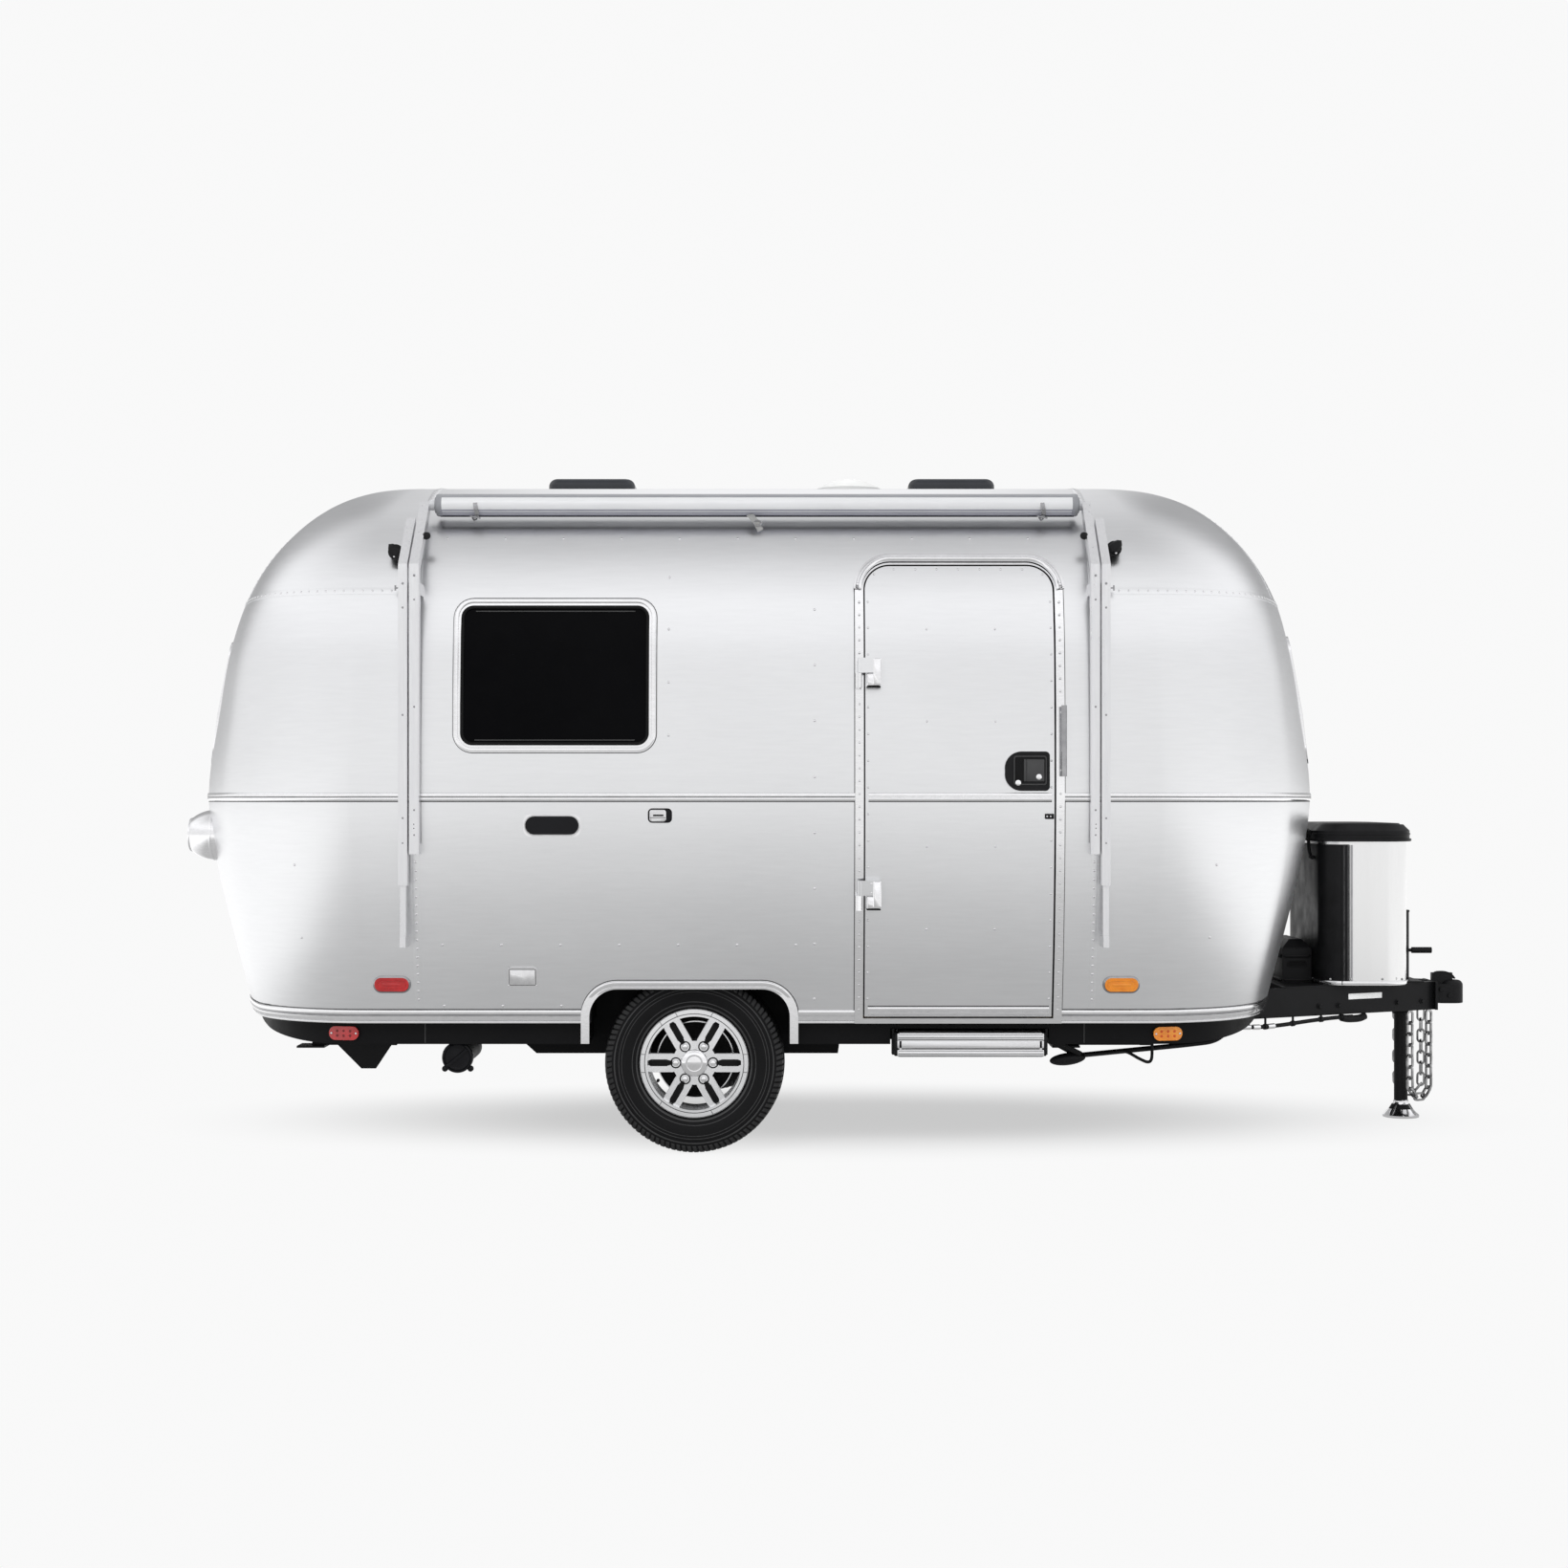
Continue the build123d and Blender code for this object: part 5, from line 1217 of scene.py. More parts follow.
def round_head(radius: float, height: float) -> Array:
    """Lathe profile of a low round head."""
    rise = np.linspace(0.0, np.pi / 2 * 0.96, 6)
    return np.column_stack([radius * np.cos(rise), height * np.sin(rise)])


@dataclass(frozen=True)
class DoorSizes:
    """Sizes of the door's small parts."""

    rear: float = 0.032
    front: float = 0.741
    low: float = 0.531
    high: float = 2.239
    radius: float = 0.095
    frame: float = 0.038
    frame_proud: float = 0.010
    drip_foot: float = 2.150
    drip_width: float = 0.030
    drip_proud: float = 0.016
    lower_strip: float = 0.5525
    lower_strip_width: float = 0.034
    latch: tuple[float, float] = (0.639, 1.4605)
    latch_proud: float = 0.0092
    well: tuple[float, float] = (0.113, 0.099)
    hinge_heights: tuple[float, float] = (0.9946, 1.8281)
    rivet_rows: tuple[float, float, float] = (0.56, 2.14, 0.048)


class EntryDoor:
    """Drip cap, rivets, lower strip, latch face, holdback and hinge details of the entry door."""

    def __init__(self, sizes: DoorSizes = DoorSizes()) -> None:
        """Takes the sizes."""
        self.sizes = sizes

    def top_path(self, outset: float, foot: float, proud: float, steps: int = 14) -> tuple[Array, Array]:
        """Path up one side of the door, round the top corners and down the other side.

        Args:
            outset: Distance outside the door's edge.
            foot: Height where both ends stop.
            proud: Distance off the skin.
            steps: Points on each corner.
        Returns:
            Points and normals.
        """
        size = self.sizes
        radius = size.radius + outset
        centre_z = size.high - size.radius
        turn = np.linspace(np.pi, np.pi / 2, steps)
        left = np.column_stack([size.rear + size.radius + radius * np.cos(turn),
                                centre_z + radius * np.sin(turn)])
        mirror = np.column_stack([size.rear + size.front - left[:, 0], left[:, 1]])[::-1]
        flat = np.vstack([[left[0, 0], foot], left, mirror, [mirror[-1, 0], foot]])
        return FORM.wall(flat[:, 0], flat[:, 1], -1.0, proud)

    def drip_cap(self) -> None:
        """Bent gutter over the door's top with screws at its ends, and a dark strip in the gap, painted
        shade.
        """
        size = self.sizes
        outset = size.frame - size.drip_width / 2 + 0.004
        path, normal = self.top_path(outset, size.drip_foot, size.frame_proud - 0.001)
        wide = size.drip_width / 2
        high = size.drip_proud
        profile = np.array([[-wide, 0.0], [-wide, 0.55 * high], [-0.55 * wide, 0.62 * high],
                            [-0.35 * wide, 0.3 * high], [0.0, 0.34 * high], [0.2 * wide, 0.8 * high],
                            [0.5 * wide, high], [0.85 * wide, 0.85 * high], [wide, 0.5 * high], [wide, 0.0]])
        cap = Piece("door_drip_cap")
        cap.sweep(path, profile, normal)
        shape, faces = dome(0.006, 0.004, 10)
        ends = path[[0, -1]] + [0.0, 0.0, 0.012]
        cap.scatter(shape, faces, ends + normal[[0, -1]] * 0.006, normal[[0, -1]])
        cap.build(Body.TRAILER, TRIM, 45)
        # Painted shade: a near-black strip sunk into the gap round the door.
        shade_line = Piece("door_gap_shade")
        path, normal = self.top_path(0.003, size.low + 0.004, -0.004)
        across = np.linspace(path[-1, 0], path[0, 0], 8)
        foot, foot_normal = FORM.wall(across, np.full(8, size.low - 0.003), -1.0, -0.004)
        shade_line.sweep(np.vstack([path, foot[1:-1]]), slab(0.0022, -0.006, 0.0),
                   np.vstack([normal, foot_normal[1:-1]]), closed=True)
        shade_line.build(Body.TRAILER, SHADE_AND_BLACK)

    def rivets(self) -> None:
        """Rivets of the fixed frame and of the door's skin."""
        size = self.sizes
        head = TrimSizes()
        shape, faces = dome(head.rivet_radius * 0.85, head.rivet_height)
        frame = Piece("door_frame_rivets")
        mid = size.frame / 2 + 0.003
        clear = [z for z in np.arange(*size.rivet_rows)
                 if all(abs(z - hinge) > 0.075 for hinge in size.hinge_heights)]
        for along, levels in ((size.rear - mid, clear), (size.front + mid, np.arange(*size.rivet_rows))):
            height = np.array([z for z in levels if along < 0.1 or not 1.42 < z < 1.73])
            spot, normal = FORM.wall(np.full(len(height), along), height, -1.0, size.frame_proud)
            frame.scatter(shape, faces, spot, normal)
        frame.build(Body.TRAILER, RIVET, 60)
        skin = Piece("door_skin_rivets")
        height = np.array([z for z in np.arange(0.60, 2.15, 0.100) if abs(z - head.belt) > 0.03])
        for along in (size.rear + 0.011, size.front - 0.011):
            clear = np.array([z for z in height
                              if along > 0.1 or all(abs(z - h) > 0.07 for h in size.hinge_heights)])
            skin.scatter(shape, faces, *FORM.wall(np.full(len(clear), along), clear, -1.0))
        top = np.array([[0.068, 2.207], [0.143, 2.226], [0.225, 2.227], [0.305, 2.227], [0.387, 2.227],
                        [0.468, 2.227], [0.548, 2.227], [0.63, 2.226], [0.705, 2.207]])
        inner = np.array([[x, z] for z in (1.995, 1.648, 1.178, 0.866) for x in (0.263, 0.52)])
        spots = np.vstack([top, inner])
        skin.scatter(shape, faces, *FORM.wall(spots[:, 0], spots[:, 1], -1.0))
        skin.build(Body.DOOR, RIVET, 60)

    def lower_strip(self) -> None:
        """Strip along the door's foot."""
        size = self.sizes
        piece = Piece("door_foot_strip")
        profile = bead(size.lower_strip_width, 0.006, 0.0035)
        BodyTrim.straight(piece, size.lower_strip, profile, size.rear + 0.012, size.front - 0.010)
        piece.build(Body.DOOR, TRIM, 50)

    def latch(self) -> None:
        """Latch face: bright rim, raised well rim, a near-black plate of painted shade in the slot, paddle
        and two round locks.
        """
        size = self.sizes
        mount = Mount.curb(size.latch[0], size.latch[1], size.latch_proud)
        wide, tall = size.well
        well = (0.010, 0.003, 0.0)
        black = Piece("latch_face")
        lip = ridge(0.003, 0.002, 0.0025)
        mount.rim(black, rounded_outline(wide + 0.006, tall + 0.006, 0.008), lip, well)
        mount.plate(black, rounded_outline(0.067, 0.083, 0.004), 0.0045, 0.0015, (0.030, 0.003, 0.0))
        mount.plate(black, rounded_outline(0.010, 0.083, 0.003), 0.0035, 0.001, (-0.009, 0.003, 0.0))
        black.build(Body.DOOR, RUBBER_RING)
        # Painted shade: a thin near-black plate standing for the depth of the slot.
        slot = Piece("latch_slot")
        mount.plate(slot, rounded_outline(0.030, 0.090, 0.004), 0.0006, 0.0002, (-0.030, 0.003, 0.0))
        slot.build(Body.DOOR, SHADE_AND_BLACK)
        locks = Piece("latch_locks")
        face = np.array([[0.0095, 0.0], [0.0105, 0.0], [0.0105, 0.0018], [0.0092, 0.0028], [0.0015, 0.0030]])
        mount.turned(locks, face, (-0.035, -0.0435, 0.0005))
        mount.turned(locks, face, (0.0425, -0.0215, 0.0042))
        locks.build(Body.DOOR, CHROME)
        rim = Piece("latch_rim")
        half = 0.084
        turn = np.linspace(np.pi / 2, 3 * np.pi / 2, 26)
        arc = np.column_stack([-half + 0.062 + 0.062 * np.cos(turn), 0.0735 * np.sin(turn)])
        square = rounded_outline(2 * half, 0.147, 0.016)
        outline = np.vstack([arc, square[square[:, 0] > 0][6:], square[square[:, 0] > 0][:6]])
        mount.rim(rim, outline,
                  np.array([[-0.0035, -0.001], [0.0005, -0.001], [0.0005, 0.002], [-0.0035, 0.001]]),
                  (0.0, 0.0, -0.0088))
        rim.build(Body.DOOR, TRIM)

    def holdback(self) -> None:
        """Small black catch at the door's front edge, with two bright screws."""
        mount = Mount.curb(0.722, 1.291)
        black = Piece("door_catch")
        mount.plate(black, rounded_outline(0.034, 0.020, 0.003), 0.007, 0.002)
        black.build(Body.DOOR, BLACK_PLASTIC)
        screws = Piece("door_catch_screws")
        for u in (-0.009, 0.004):
            mount.turned(screws, round_head(0.0035, 0.002), (u, 0.0, 0.007), 10)
        screws.build(Body.DOOR, RIVET)

    def hinges(self) -> None:
        """Ribs and screws on the hinge leaves, with painted shade in their slots and under the wing."""
        leaves = Piece("hinge_ribs")
        slots = Piece("hinge_slots")
        for height in self.sizes.hinge_heights:
            middle = height + 0.028
            mount = Mount.facing([0.060, -1.2511, middle])
            mount.plate(leaves, rounded_outline(0.030, 0.100, 0.005), 0.007, 0.0025, (0.015, -0.024, 0.0))
            skin = -float(FORM.width(height))
            wing = Mount.facing([0.0625, skin + 0.003, height - 0.026])
            wing.plate(leaves, rounded_outline(0.053, 0.05, 0.006), 1.2495 + skin + 0.003, 0.004)
            # Painted shade: a dark slot on the leaf and a dark line under the wing.
            mount.plate(slots, rounded_outline(0.008, 0.044, 0.002), 0.0008, 0.0003, (-0.021, -0.003, 0.0))
            wing.plate(slots, rounded_outline(0.052, 0.004, 0.001), 1.2495 + skin + 0.004, 0.0003,
                       (0.0, -0.0265, 0.0))
            for v in (-0.017, 0.017):
                mount.turned(leaves, round_head(0.0045, 0.003), (-0.006, v, 0.0), 12)
        leaves.build(Body.DOOR, TRIM)
        slots.build(Body.DOOR, SHADE_AND_BLACK)

    def build(self) -> None:
        """Makes every small part of the door."""
        self.drip_cap()
        self.rivets()
        self.lower_strip()
        self.latch()
        self.holdback()
        self.hinges()


@dataclass(frozen=True)
class WheelSizes:
    """Sizes of the road wheels' small parts."""

    axle_x: float = -0.616
    axle_z: float = 0.346
    tyre_width: float = 0.225
    tyre_face: float = 1.072
    spoke_face: float = 1.0315
    bolt_circle: float = 0.0698
    nut_radius: float = 0.0125
    valve_radius: float = 0.158
    valve_turn: float = 207.0
    spokes: int = 6
    spoke_turn: float = 60.0
    slot: tuple[float, float, float] = (0.021, 0.083, 0.004)
    slot_radius: float = 0.1345
    pocket: tuple[float, float, float] = (0.070, 0.026, 0.005)
    pocket_radius: float = 0.136
    lip_lines: tuple[tuple[float, float], ...] = ((0.1895, 0.0014), (0.2065, 0.0008))
    lip_turn: float = 0.5
    bevel_side: float = 0.0345
    bevel_run: tuple[float, float] = (0.082, 0.168)
    bevel_radius: float = 0.0016
    cross_line: tuple[float, ...] = (0.175, 0.187, 0.202)
    blocks: int = 96


class RoadWheel:
    """Tread lugs, sidewall rings, nuts, cap, valve and spoke lines of one road wheel."""

    def __init__(self, side: float, body: Body, sizes: WheelSizes = WheelSizes()) -> None:
        """Takes the side, -1 for curb, the body it turns with and the sizes."""
        self.side = side
        self.body = body
        self.sizes = sizes
        self.tag = "curb" if side < 0 else "street"
        self.centre = np.array([sizes.axle_x, 0.0, sizes.axle_z])
        self.out = np.array([0.0, side, 0.0])

    def ring(self, radius: Array, depth: Array, turn: Array) -> Array:
        """Points at a radius, a distance out along the axle and an angle."""
        return (self.centre + np.stack([radius * np.cos(turn), self.side * depth, radius * np.sin(turn)],
                                       axis=-1))

    @staticmethod
    def way(degrees: float) -> Array:
        """Direction in the plane of the wheel at an angle."""
        angle = math.radians(degrees)
        return np.array([math.cos(angle), 0.0, math.sin(angle)])

    def polar(self, name: str) -> tuple[Array, Array]:
        """Radius and distance out along the axle of each vertex of a CAD node."""
        node = bpy.data.objects[name]
        points = np.array([node.matrix_world @ v.co for v in node.data.vertices]) - self.centre
        return np.hypot(points[:, 0], points[:, 2]), points[:, 1] * self.side

    def tread(self) -> None:
        """Lugs over both shoulders with slanted gaps between them, and painted shade strips for the grooves
        round the crown.
        """
        size = self.sizes
        middle = size.tyre_face - size.tyre_width / 2
        pitch = 2 * np.pi / size.blocks
        lugs = Piece(f"tread_lugs_{self.tag}")
        half = np.array([0.060, 0.082, 0.0985, 0.1025, 0.1062, 0.1085])
        radius = np.array([0.3415, 0.3385, 0.3345, 0.3266, 0.3189, 0.3130])
        lift = np.array([0.0, 0.0032, 0.0036, 0.0034, 0.0026, -0.0006])
        tilt = np.radians([80.0, 78.0, 50.0, 24.0, 20.0, 18.0])
        slant = np.linspace(0.5, 0.0, 6) * pitch
        for hand in SIDES:
            for k in range(size.blocks):
                rows = []
                for sink, edge in ((0.0, -0.31), (0.0, 0.31), (-0.003, 0.33), (-0.003, -0.33)):
                    high = lift + sink
                    turn = (k + edge) * pitch + slant * hand
                    rows.append(self.ring(radius + high * np.sin(tilt),
                                          middle + hand * (half + high * np.cos(tilt)), turn))
                lugs.grid(np.stack(rows, axis=1), wrap_cols=True, cap=True)
        lugs.build(self.body, RUBBER_LUG, 25)
        # Painted shade: near-black strips on the crown stand for the grooves.
        groove_shade = Piece(f"tread_groove_shade_{self.tag}")
        turn = turns(120)
        for place, high in ((-0.050, 0.3433), (-0.018, 0.3456), (0.018, 0.3456), (0.050, 0.3433)):
            rows = [self.ring(np.full(120, high - drop), np.full(120, middle + place + shift), turn)
                    for shift, drop in ((-0.004, 0.002), (-0.003, -0.0002), (0.003, -0.0002), (0.004, 0.002))]
            groove_shade.grid(np.stack(rows), wrap_cols=True)
        groove_shade.build(self.body, SHADE_AND_BLACK)

    def sidewall(self) -> None:
        """Raised rings on the outer sidewall, in a lighter rubber whose lift in tone is painted sheen."""
        piece = Piece(f"sidewall_rings_{self.tag}")
        turn = turns(96)
        face = self.face_line()
        for radius, proud, half in ((0.219, 0.0026, 0.004), (0.236, 0.0016, 0.0018), (0.276, 0.0014, 0.0014),
                                    (0.287, 0.0014, 0.0014), (0.304, 0.0034, 0.0030)):
            rows = []
            for shift, rise in ((-half, -0.002), (-half, 0.5 * proud), (-0.4 * half, proud),
                                (0.4 * half, proud), (half, 0.5 * proud), (half, -0.002)):
                depth = np.interp(radius + shift, face[:, 0], face[:, 1]) + rise
                rows.append(self.ring(np.full(96, radius + shift), np.full(96, depth), turn))
            piece.grid(np.stack(rows), wrap_cols=True)
        piece.build(self.body, RUBBER_RING, 50)

    def face_line(self) -> Array:
        """Radius and depth of the tyre's outer sidewall, read from its CAD node.

        Returns:
            Rows of radius and distance out along the axle, by rising radius.
        """
        radius, depth = self.polar(f"tyre_{self.tag}")
        bins = np.linspace(0.205, 0.345, 57)
        best = [(0.5 * (a + b), depth[(radius >= a) & (radius < b)].max())
                for a, b in zip(bins[:-1], bins[1:]) if ((radius >= a) & (radius < b)).any()]
        return np.array(best)

    def hub(self) -> None:
        """Chrome cap with rings, nuts with painted shade in their seats, the valve, painted shade in the
        spoke slots and the drum face.
        """
        size = self.sizes
        face = self.centre + self.out * size.spoke_face
        chrome = Piece(f"wheel_chrome_{self.tag}")
        cap = np.array([[0.052, -0.004], [0.052, 0.006], [0.049, 0.010], [0.0462, 0.011], [0.0462, 0.0125],
                        [0.043, 0.0150], [0.036, 0.0185], [0.033, 0.0192], [0.032, 0.0180], [0.0285, 0.0178],
                        [0.027, 0.0195], [0.015, 0.0215], [0.0008, 0.0218]])
        chrome.lathe(cap, face, self.out, 48)
        nut = np.array([[1.0, -0.008], [1.0, 0.006], [0.86, 0.0095], [0.5, 0.0115], [0.05, 0.012]])
        # Painted shade: near-black rings round each nut's seat.
        seat_shade = Piece(f"nut_seat_shade_{self.tag}")
        for k in range(size.spokes):
            way = self.way(size.spoke_turn * k)
            spot = face + size.bolt_circle * way * 1.02
            chrome.lathe(nut * [size.nut_radius, 1.0], spot, self.out, 6)
            seat = np.array([[0.0215, -0.0015], [0.0215, 0.0006], [0.0165, 0.0006], [0.0160, -0.001]])
            seat_shade.lathe(seat, spot, self.out, 24)
        chrome.build(self.body, CHROME, 32)
        seat_shade.build(self.body, SHADE_AND_BLACK)
        valve = Piece(f"valve_{self.tag}")
        way = self.way(size.valve_turn)
        spot = self.centre + way * size.valve_radius + self.out * (size.spoke_face - 0.028)
        valve.lathe(np.array([[0.0065, -0.012], [0.006, 0.006], [0.0042, 0.008], [0.0042, 0.022],
                              [0.003, 0.0235]]),
                    spot, self.out, 14)
        valve.build(self.body, BLACK_PLASTIC)
        # Painted shade: thin near-black plates over the spoke slots.
        slot_shade = Piece(f"spoke_slot_shade_{self.tag}")
        for k in range(size.spokes):
            way = self.way(size.spoke_turn * k)
            across = np.cross(self.out, way)
            middle = face + way * size.slot_radius + self.out * 0.0003
            slot_shade.plate(rounded_outline(*size.slot), middle, across * -1.0, way, 0.0006, 0.0002)
        slot_shade.build(self.body, SHADE_AND_BLACK)
        drum = Piece(f"drum_face_{self.tag}")
        ring = np.array([[0.062, 0.0], [0.062, 0.002], [0.140, 0.002], [0.146, 0.0]])
        drum.lathe(ring, self.centre + self.out * self.drum_depth(), self.out, 64)
        drum.build(self.body, SHADE_AND_BLACK)

    def lines(self) -> None:
        """Painted shade lines at the lip's steps and across the lip beside the spokes, bevels of the spokes,
        and dark plates on the spokes' faces, painted shade that widens their windows.
        """
        size = self.sizes
        face = Surface(f"wheel_{self.tag}")
        # Painted shade: dark lines at the lip's steps and across the lip beside each spoke.
        dark = Piece(f"wheel_step_shade_lines_{self.tag}")
        edge = Piece(f"spoke_bevels_{self.tag}")
        pocket = Piece(f"spoke_slot_shade_{self.tag}")
        turn = turns(96)
        for radius, width in size.lip_lines:
            spot = face.mount(size.axle_x + radius * math.cos(size.lip_turn),
                              size.axle_z + radius * math.sin(size.lip_turn), self.side)
            if spot is not None:
                depth = abs(spot.origin[1])
                rows = [self.ring(np.full(96, radius + u), np.full(96, depth + w), turn)
                        for u, w in ((-width, -0.001), (width, -0.001), (width, 0.0006), (-width, 0.0006))]
                dark.grid(np.stack(rows), wrap_rows=True, wrap_cols=True)
        for k in range(size.spokes):
            way = self.way(size.spoke_turn * k)
            across = np.cross(self.out, way)
            # Painted shade: a dark plate on each spoke's face that makes its window read wider.
            middle = self.centre + way * size.pocket_radius + self.out * size.spoke_face
            pocket.plate(rounded_outline(*size.pocket), middle, way, across, 0.0008)
            for offset in (-size.bevel_side, size.bevel_side):
                shelf = self.centre + across * offset + self.out * size.spoke_face
                run = np.stack([shelf + way * reach for reach in size.bevel_run])
                edge.sweep(run, circle(size.bevel_radius, 8), self.out)
                ends = [self.centre + way * reach + across * offset for reach in size.cross_line]
                spots = [face.mount(end[0], end[2], self.side) for end in ends]
                if None not in spots:
                    path = np.stack([spot.origin for spot in spots])
                    dark.sweep(path, EdgeLines.flat_line(0.0030, 0.0008), self.out)
        dark.build(self.body, SEAM_SHADOW)
        edge.build(self.body, CHROME, 60)
        pocket.build(self.body, BLACK_PAN)

    def drum_depth(self) -> float:
        """Distance out along the axle to the drum's outer face, read from the wheel's CAD node."""
        radius, depth = self.polar(f"wheel_{self.tag}")
        near = (radius > 0.1) & (radius < 0.152) & (depth < self.sizes.spoke_face - 0.03)
        return float(depth[near].max())

    def build(self) -> None:
        """Makes every small part of the wheel."""
        self.tread()
        self.sidewall()
        self.hub()
        self.lines()


@dataclass(frozen=True)
class WindowPlace:
    """Outer rectangle of a side window's frame."""

    along: float
    height: float
    wide: float
    tall: float
    side: float


@dataclass(frozen=True)
class LineSizes:
    """Sizes of sealant lines, gaskets and beads round openings."""

    windows: tuple[WindowPlace, ...] = (WindowPlace(-1.133, 1.821, 0.760, 0.580, -1.0),
                                        WindowPlace(-1.133, 1.821, 0.760, 0.580, 1.0),
                                        WindowPlace(0.330, 1.821, 0.760, 0.580, 1.0))
    window_radius: float = 0.072
    band: float = 0.026
    frame_proud: float = 0.010
    arch: tuple[float, float, float] = (-1.009, -0.251, 0.637)
    arch_radius: float = 0.105
    arch_trim: float = 0.032
    arch_foot: float = 0.434
    line: float = 0.0038


class EdgeLines:
    """Painted shadow lines beside bright trims, window gaskets, painted glint lines and the beads on the arch
    trims.
    """

    def __init__(self, sizes: LineSizes = LineSizes()) -> None:
        """Takes the sizes."""
        self.sizes = sizes

    @staticmethod
    def flat_line(width: float, height: float) -> Array:
        """Section of a low line, across and out."""
        half = width / 2
        return ridge(half, 0.6 * half, height)

    def window_ring(self, piece: Piece, place: WindowPlace, inset: float, profile: Array,
                    proud: float) -> None:
        """Sweeps a profile round a side window.

        Args:
            piece: Piece that it is added to.
            place: The window.
            inset: Distance inside the frame's outer edge.
            profile: Section.
            proud: Distance off the skin.
        """
        flat = rounded_outline(place.wide - 2 * inset, place.tall - 2 * inset,
                               self.sizes.window_radius - inset, 9)
        flat = self.fill(flat)
        path, normal = FORM.wall(place.along + flat[:, 0], place.height + flat[:, 1], place.side, proud)
        piece.sweep(path, profile, normal, closed=True)

    @staticmethod
    def fill(outline: Array, step: float = 0.05) -> Array:
        """Adds points on the long sides of a closed outline, so that it follows a bent wall."""
        done = []
        for start, stop in zip(outline, np.roll(outline, -1, 0)):
            count = max(int(np.linalg.norm(stop - start) / step), 1)
            done.append(start + (stop - start) * (np.arange(count) / count)[:, None])
        return np.concatenate(done)

    def windows(self) -> None:
        """Painted shadow line round each side window's frame, a bead on the frame, the black gasket inside
        and painted glint lines on the glass.
        """
        size = self.sizes
        shade_line = Piece("window_shadow_lines")
        beads = Piece("window_beads")
        gasket = Piece("window_gaskets")
        glint = Piece("window_painted_glints")
        for place in size.windows:
            # Painted shadow line just outside the frame.
            self.window_ring(shade_line, place, -0.002, self.flat_line(size.line, 0.002), 0.0)
            if place.side < 0:
                self.window_ring(beads, place, 0.010, bead(0.015, 0.004), size.frame_proud - 0.001)
            self.window_ring(gasket, place, size.band + 0.006, self.flat_line(0.013, 0.004), 0.002)
            # Painted glint lines across the glass near its top and bottom.
            along = np.linspace(-0.30, 0.30, 20)
            for lift in (place.tall / 2 - size.band - 0.022, -place.tall / 2 + size.band + 0.020):
                path, normal = FORM.wall(place.along + along, np.full(20, place.height + lift), place.side,
                                         0.0005)
                glint.sweep(path, self.flat_line(0.005, 0.0015), normal)
        shade_line.build(Body.TRAILER, SEAM_SHADOW)
        beads.build(Body.TRAILER, TRIM, 60)
        gasket.build(Body.TRAILER, SHADE_AND_BLACK)
        glint.build(Body.TRAILER, RUBBER_RING)

    def arch_path(self, outset: float, side: float, proud: float) -> tuple[Array, Array]:
        """Path up one leg of a wheel arch, over its top and down the other leg.

        Args:
            outset: Distance outside the opening.
            side: -1 for curb.
            proud: Distance off the skin.
        Returns:
            Points and normals.
        """
        size = self.sizes
        rear, front, top = size.arch
        radius = size.arch_radius + outset
        turn = np.linspace(np.pi, np.pi / 2, 14)
        left = np.column_stack([rear + size.arch_radius + radius * np.cos(turn),
                                top - size.arch_radius + radius * np.sin(turn)])
        mirror = np.column_stack([rear + front - left[:, 0], left[:, 1]])[::-1]
        flat = np.vstack([[left[0, 0], size.arch_foot], left, mirror, [mirror[-1, 0], size.arch_foot]])
        level = np.maximum(flat[:, 1], FORM.base + 0.006)
        path, normal = FORM.wall(flat[:, 0], level, side, proud)
        path[:, 2] = flat[:, 1]
        return path, normal

    def arches(self) -> None:
        """Rounded beads on the arch trims and a painted shadow line over them."""
        size = self.sizes
        beads = Piece("arch_beads")
        shade_line = Piece("arch_shadow_lines")
        for side in SIDES:
            path, normal = self.arch_path(size.arch_trim * 0.68, side, size.frame_proud - 0.0005)
            beads.sweep(path, bead(size.arch_trim * 0.52, 0.006), normal)
            path, normal = self.arch_path(size.arch_trim * 0.2, side, size.frame_proud - 0.0005)
            beads.sweep(path, bead(size.arch_trim * 0.3, 0.004), normal)
            # Painted shadow line over the arch trim.
            path, normal = self.arch_path(size.arch_trim + 0.002, side, 0.0)
            shade_line.sweep(path[1:-1], self.flat_line(size.line, 0.002), normal[1:-1])
        beads.build(Body.TRAILER, TRIM, 60)
        shade_line.build(Body.TRAILER, SEAM_SHADOW)

    def strip_lines(self) -> None:
        """Painted shadow lines under the belt strip, over the lower strip and beside the door frame."""
        trim = TrimSizes()
        body = BodyTrim(trim)
        piece = Piece("strip_shadow_lines")
        line = self.flat_line(self.sizes.line, 0.0016)
        breaks = trim.belt_breaks
        arch = trim.arch_breaks
        body.strip(piece, trim.belt - trim.belt_width / 2 - 0.002, line, breaks)
        body.strip(piece, trim.lower + trim.lower_width / 2 + 0.002, line, arch)
        insert = Piece("strip_inserts")
        body.strip(insert, trim.lower + 0.003, self.flat_line(0.0075, trim.lower_proud + 0.0007), arch)
        body.strip(insert, trim.belt, self.flat_line(0.0040, trim.belt_proud + 0.0006), breaks)
        insert.build(Body.TRAILER, CHROME_DARK)
        door = EntryDoor()
        path, normal = door.top_path(door.sizes.frame + 0.002, FORM.base + 0.01, 0.0)
        for part in (slice(0, 2), slice(1, len(path) - 1), slice(len(path) - 2, len(path))):
            ends = path[part]
            if len(ends) == 2:
                level = np.linspace(ends[0, 2], ends[1, 2], 40)
                ends, way = FORM.wall(np.full(40, ends[0, 0]), level, -1.0)
            else:
                way = normal[part]
            piece.sweep(ends, line, way)
        piece.build(Body.TRAILER, SEAM_SHADOW)
        leaf = Piece("door_strip_shadow_lines")
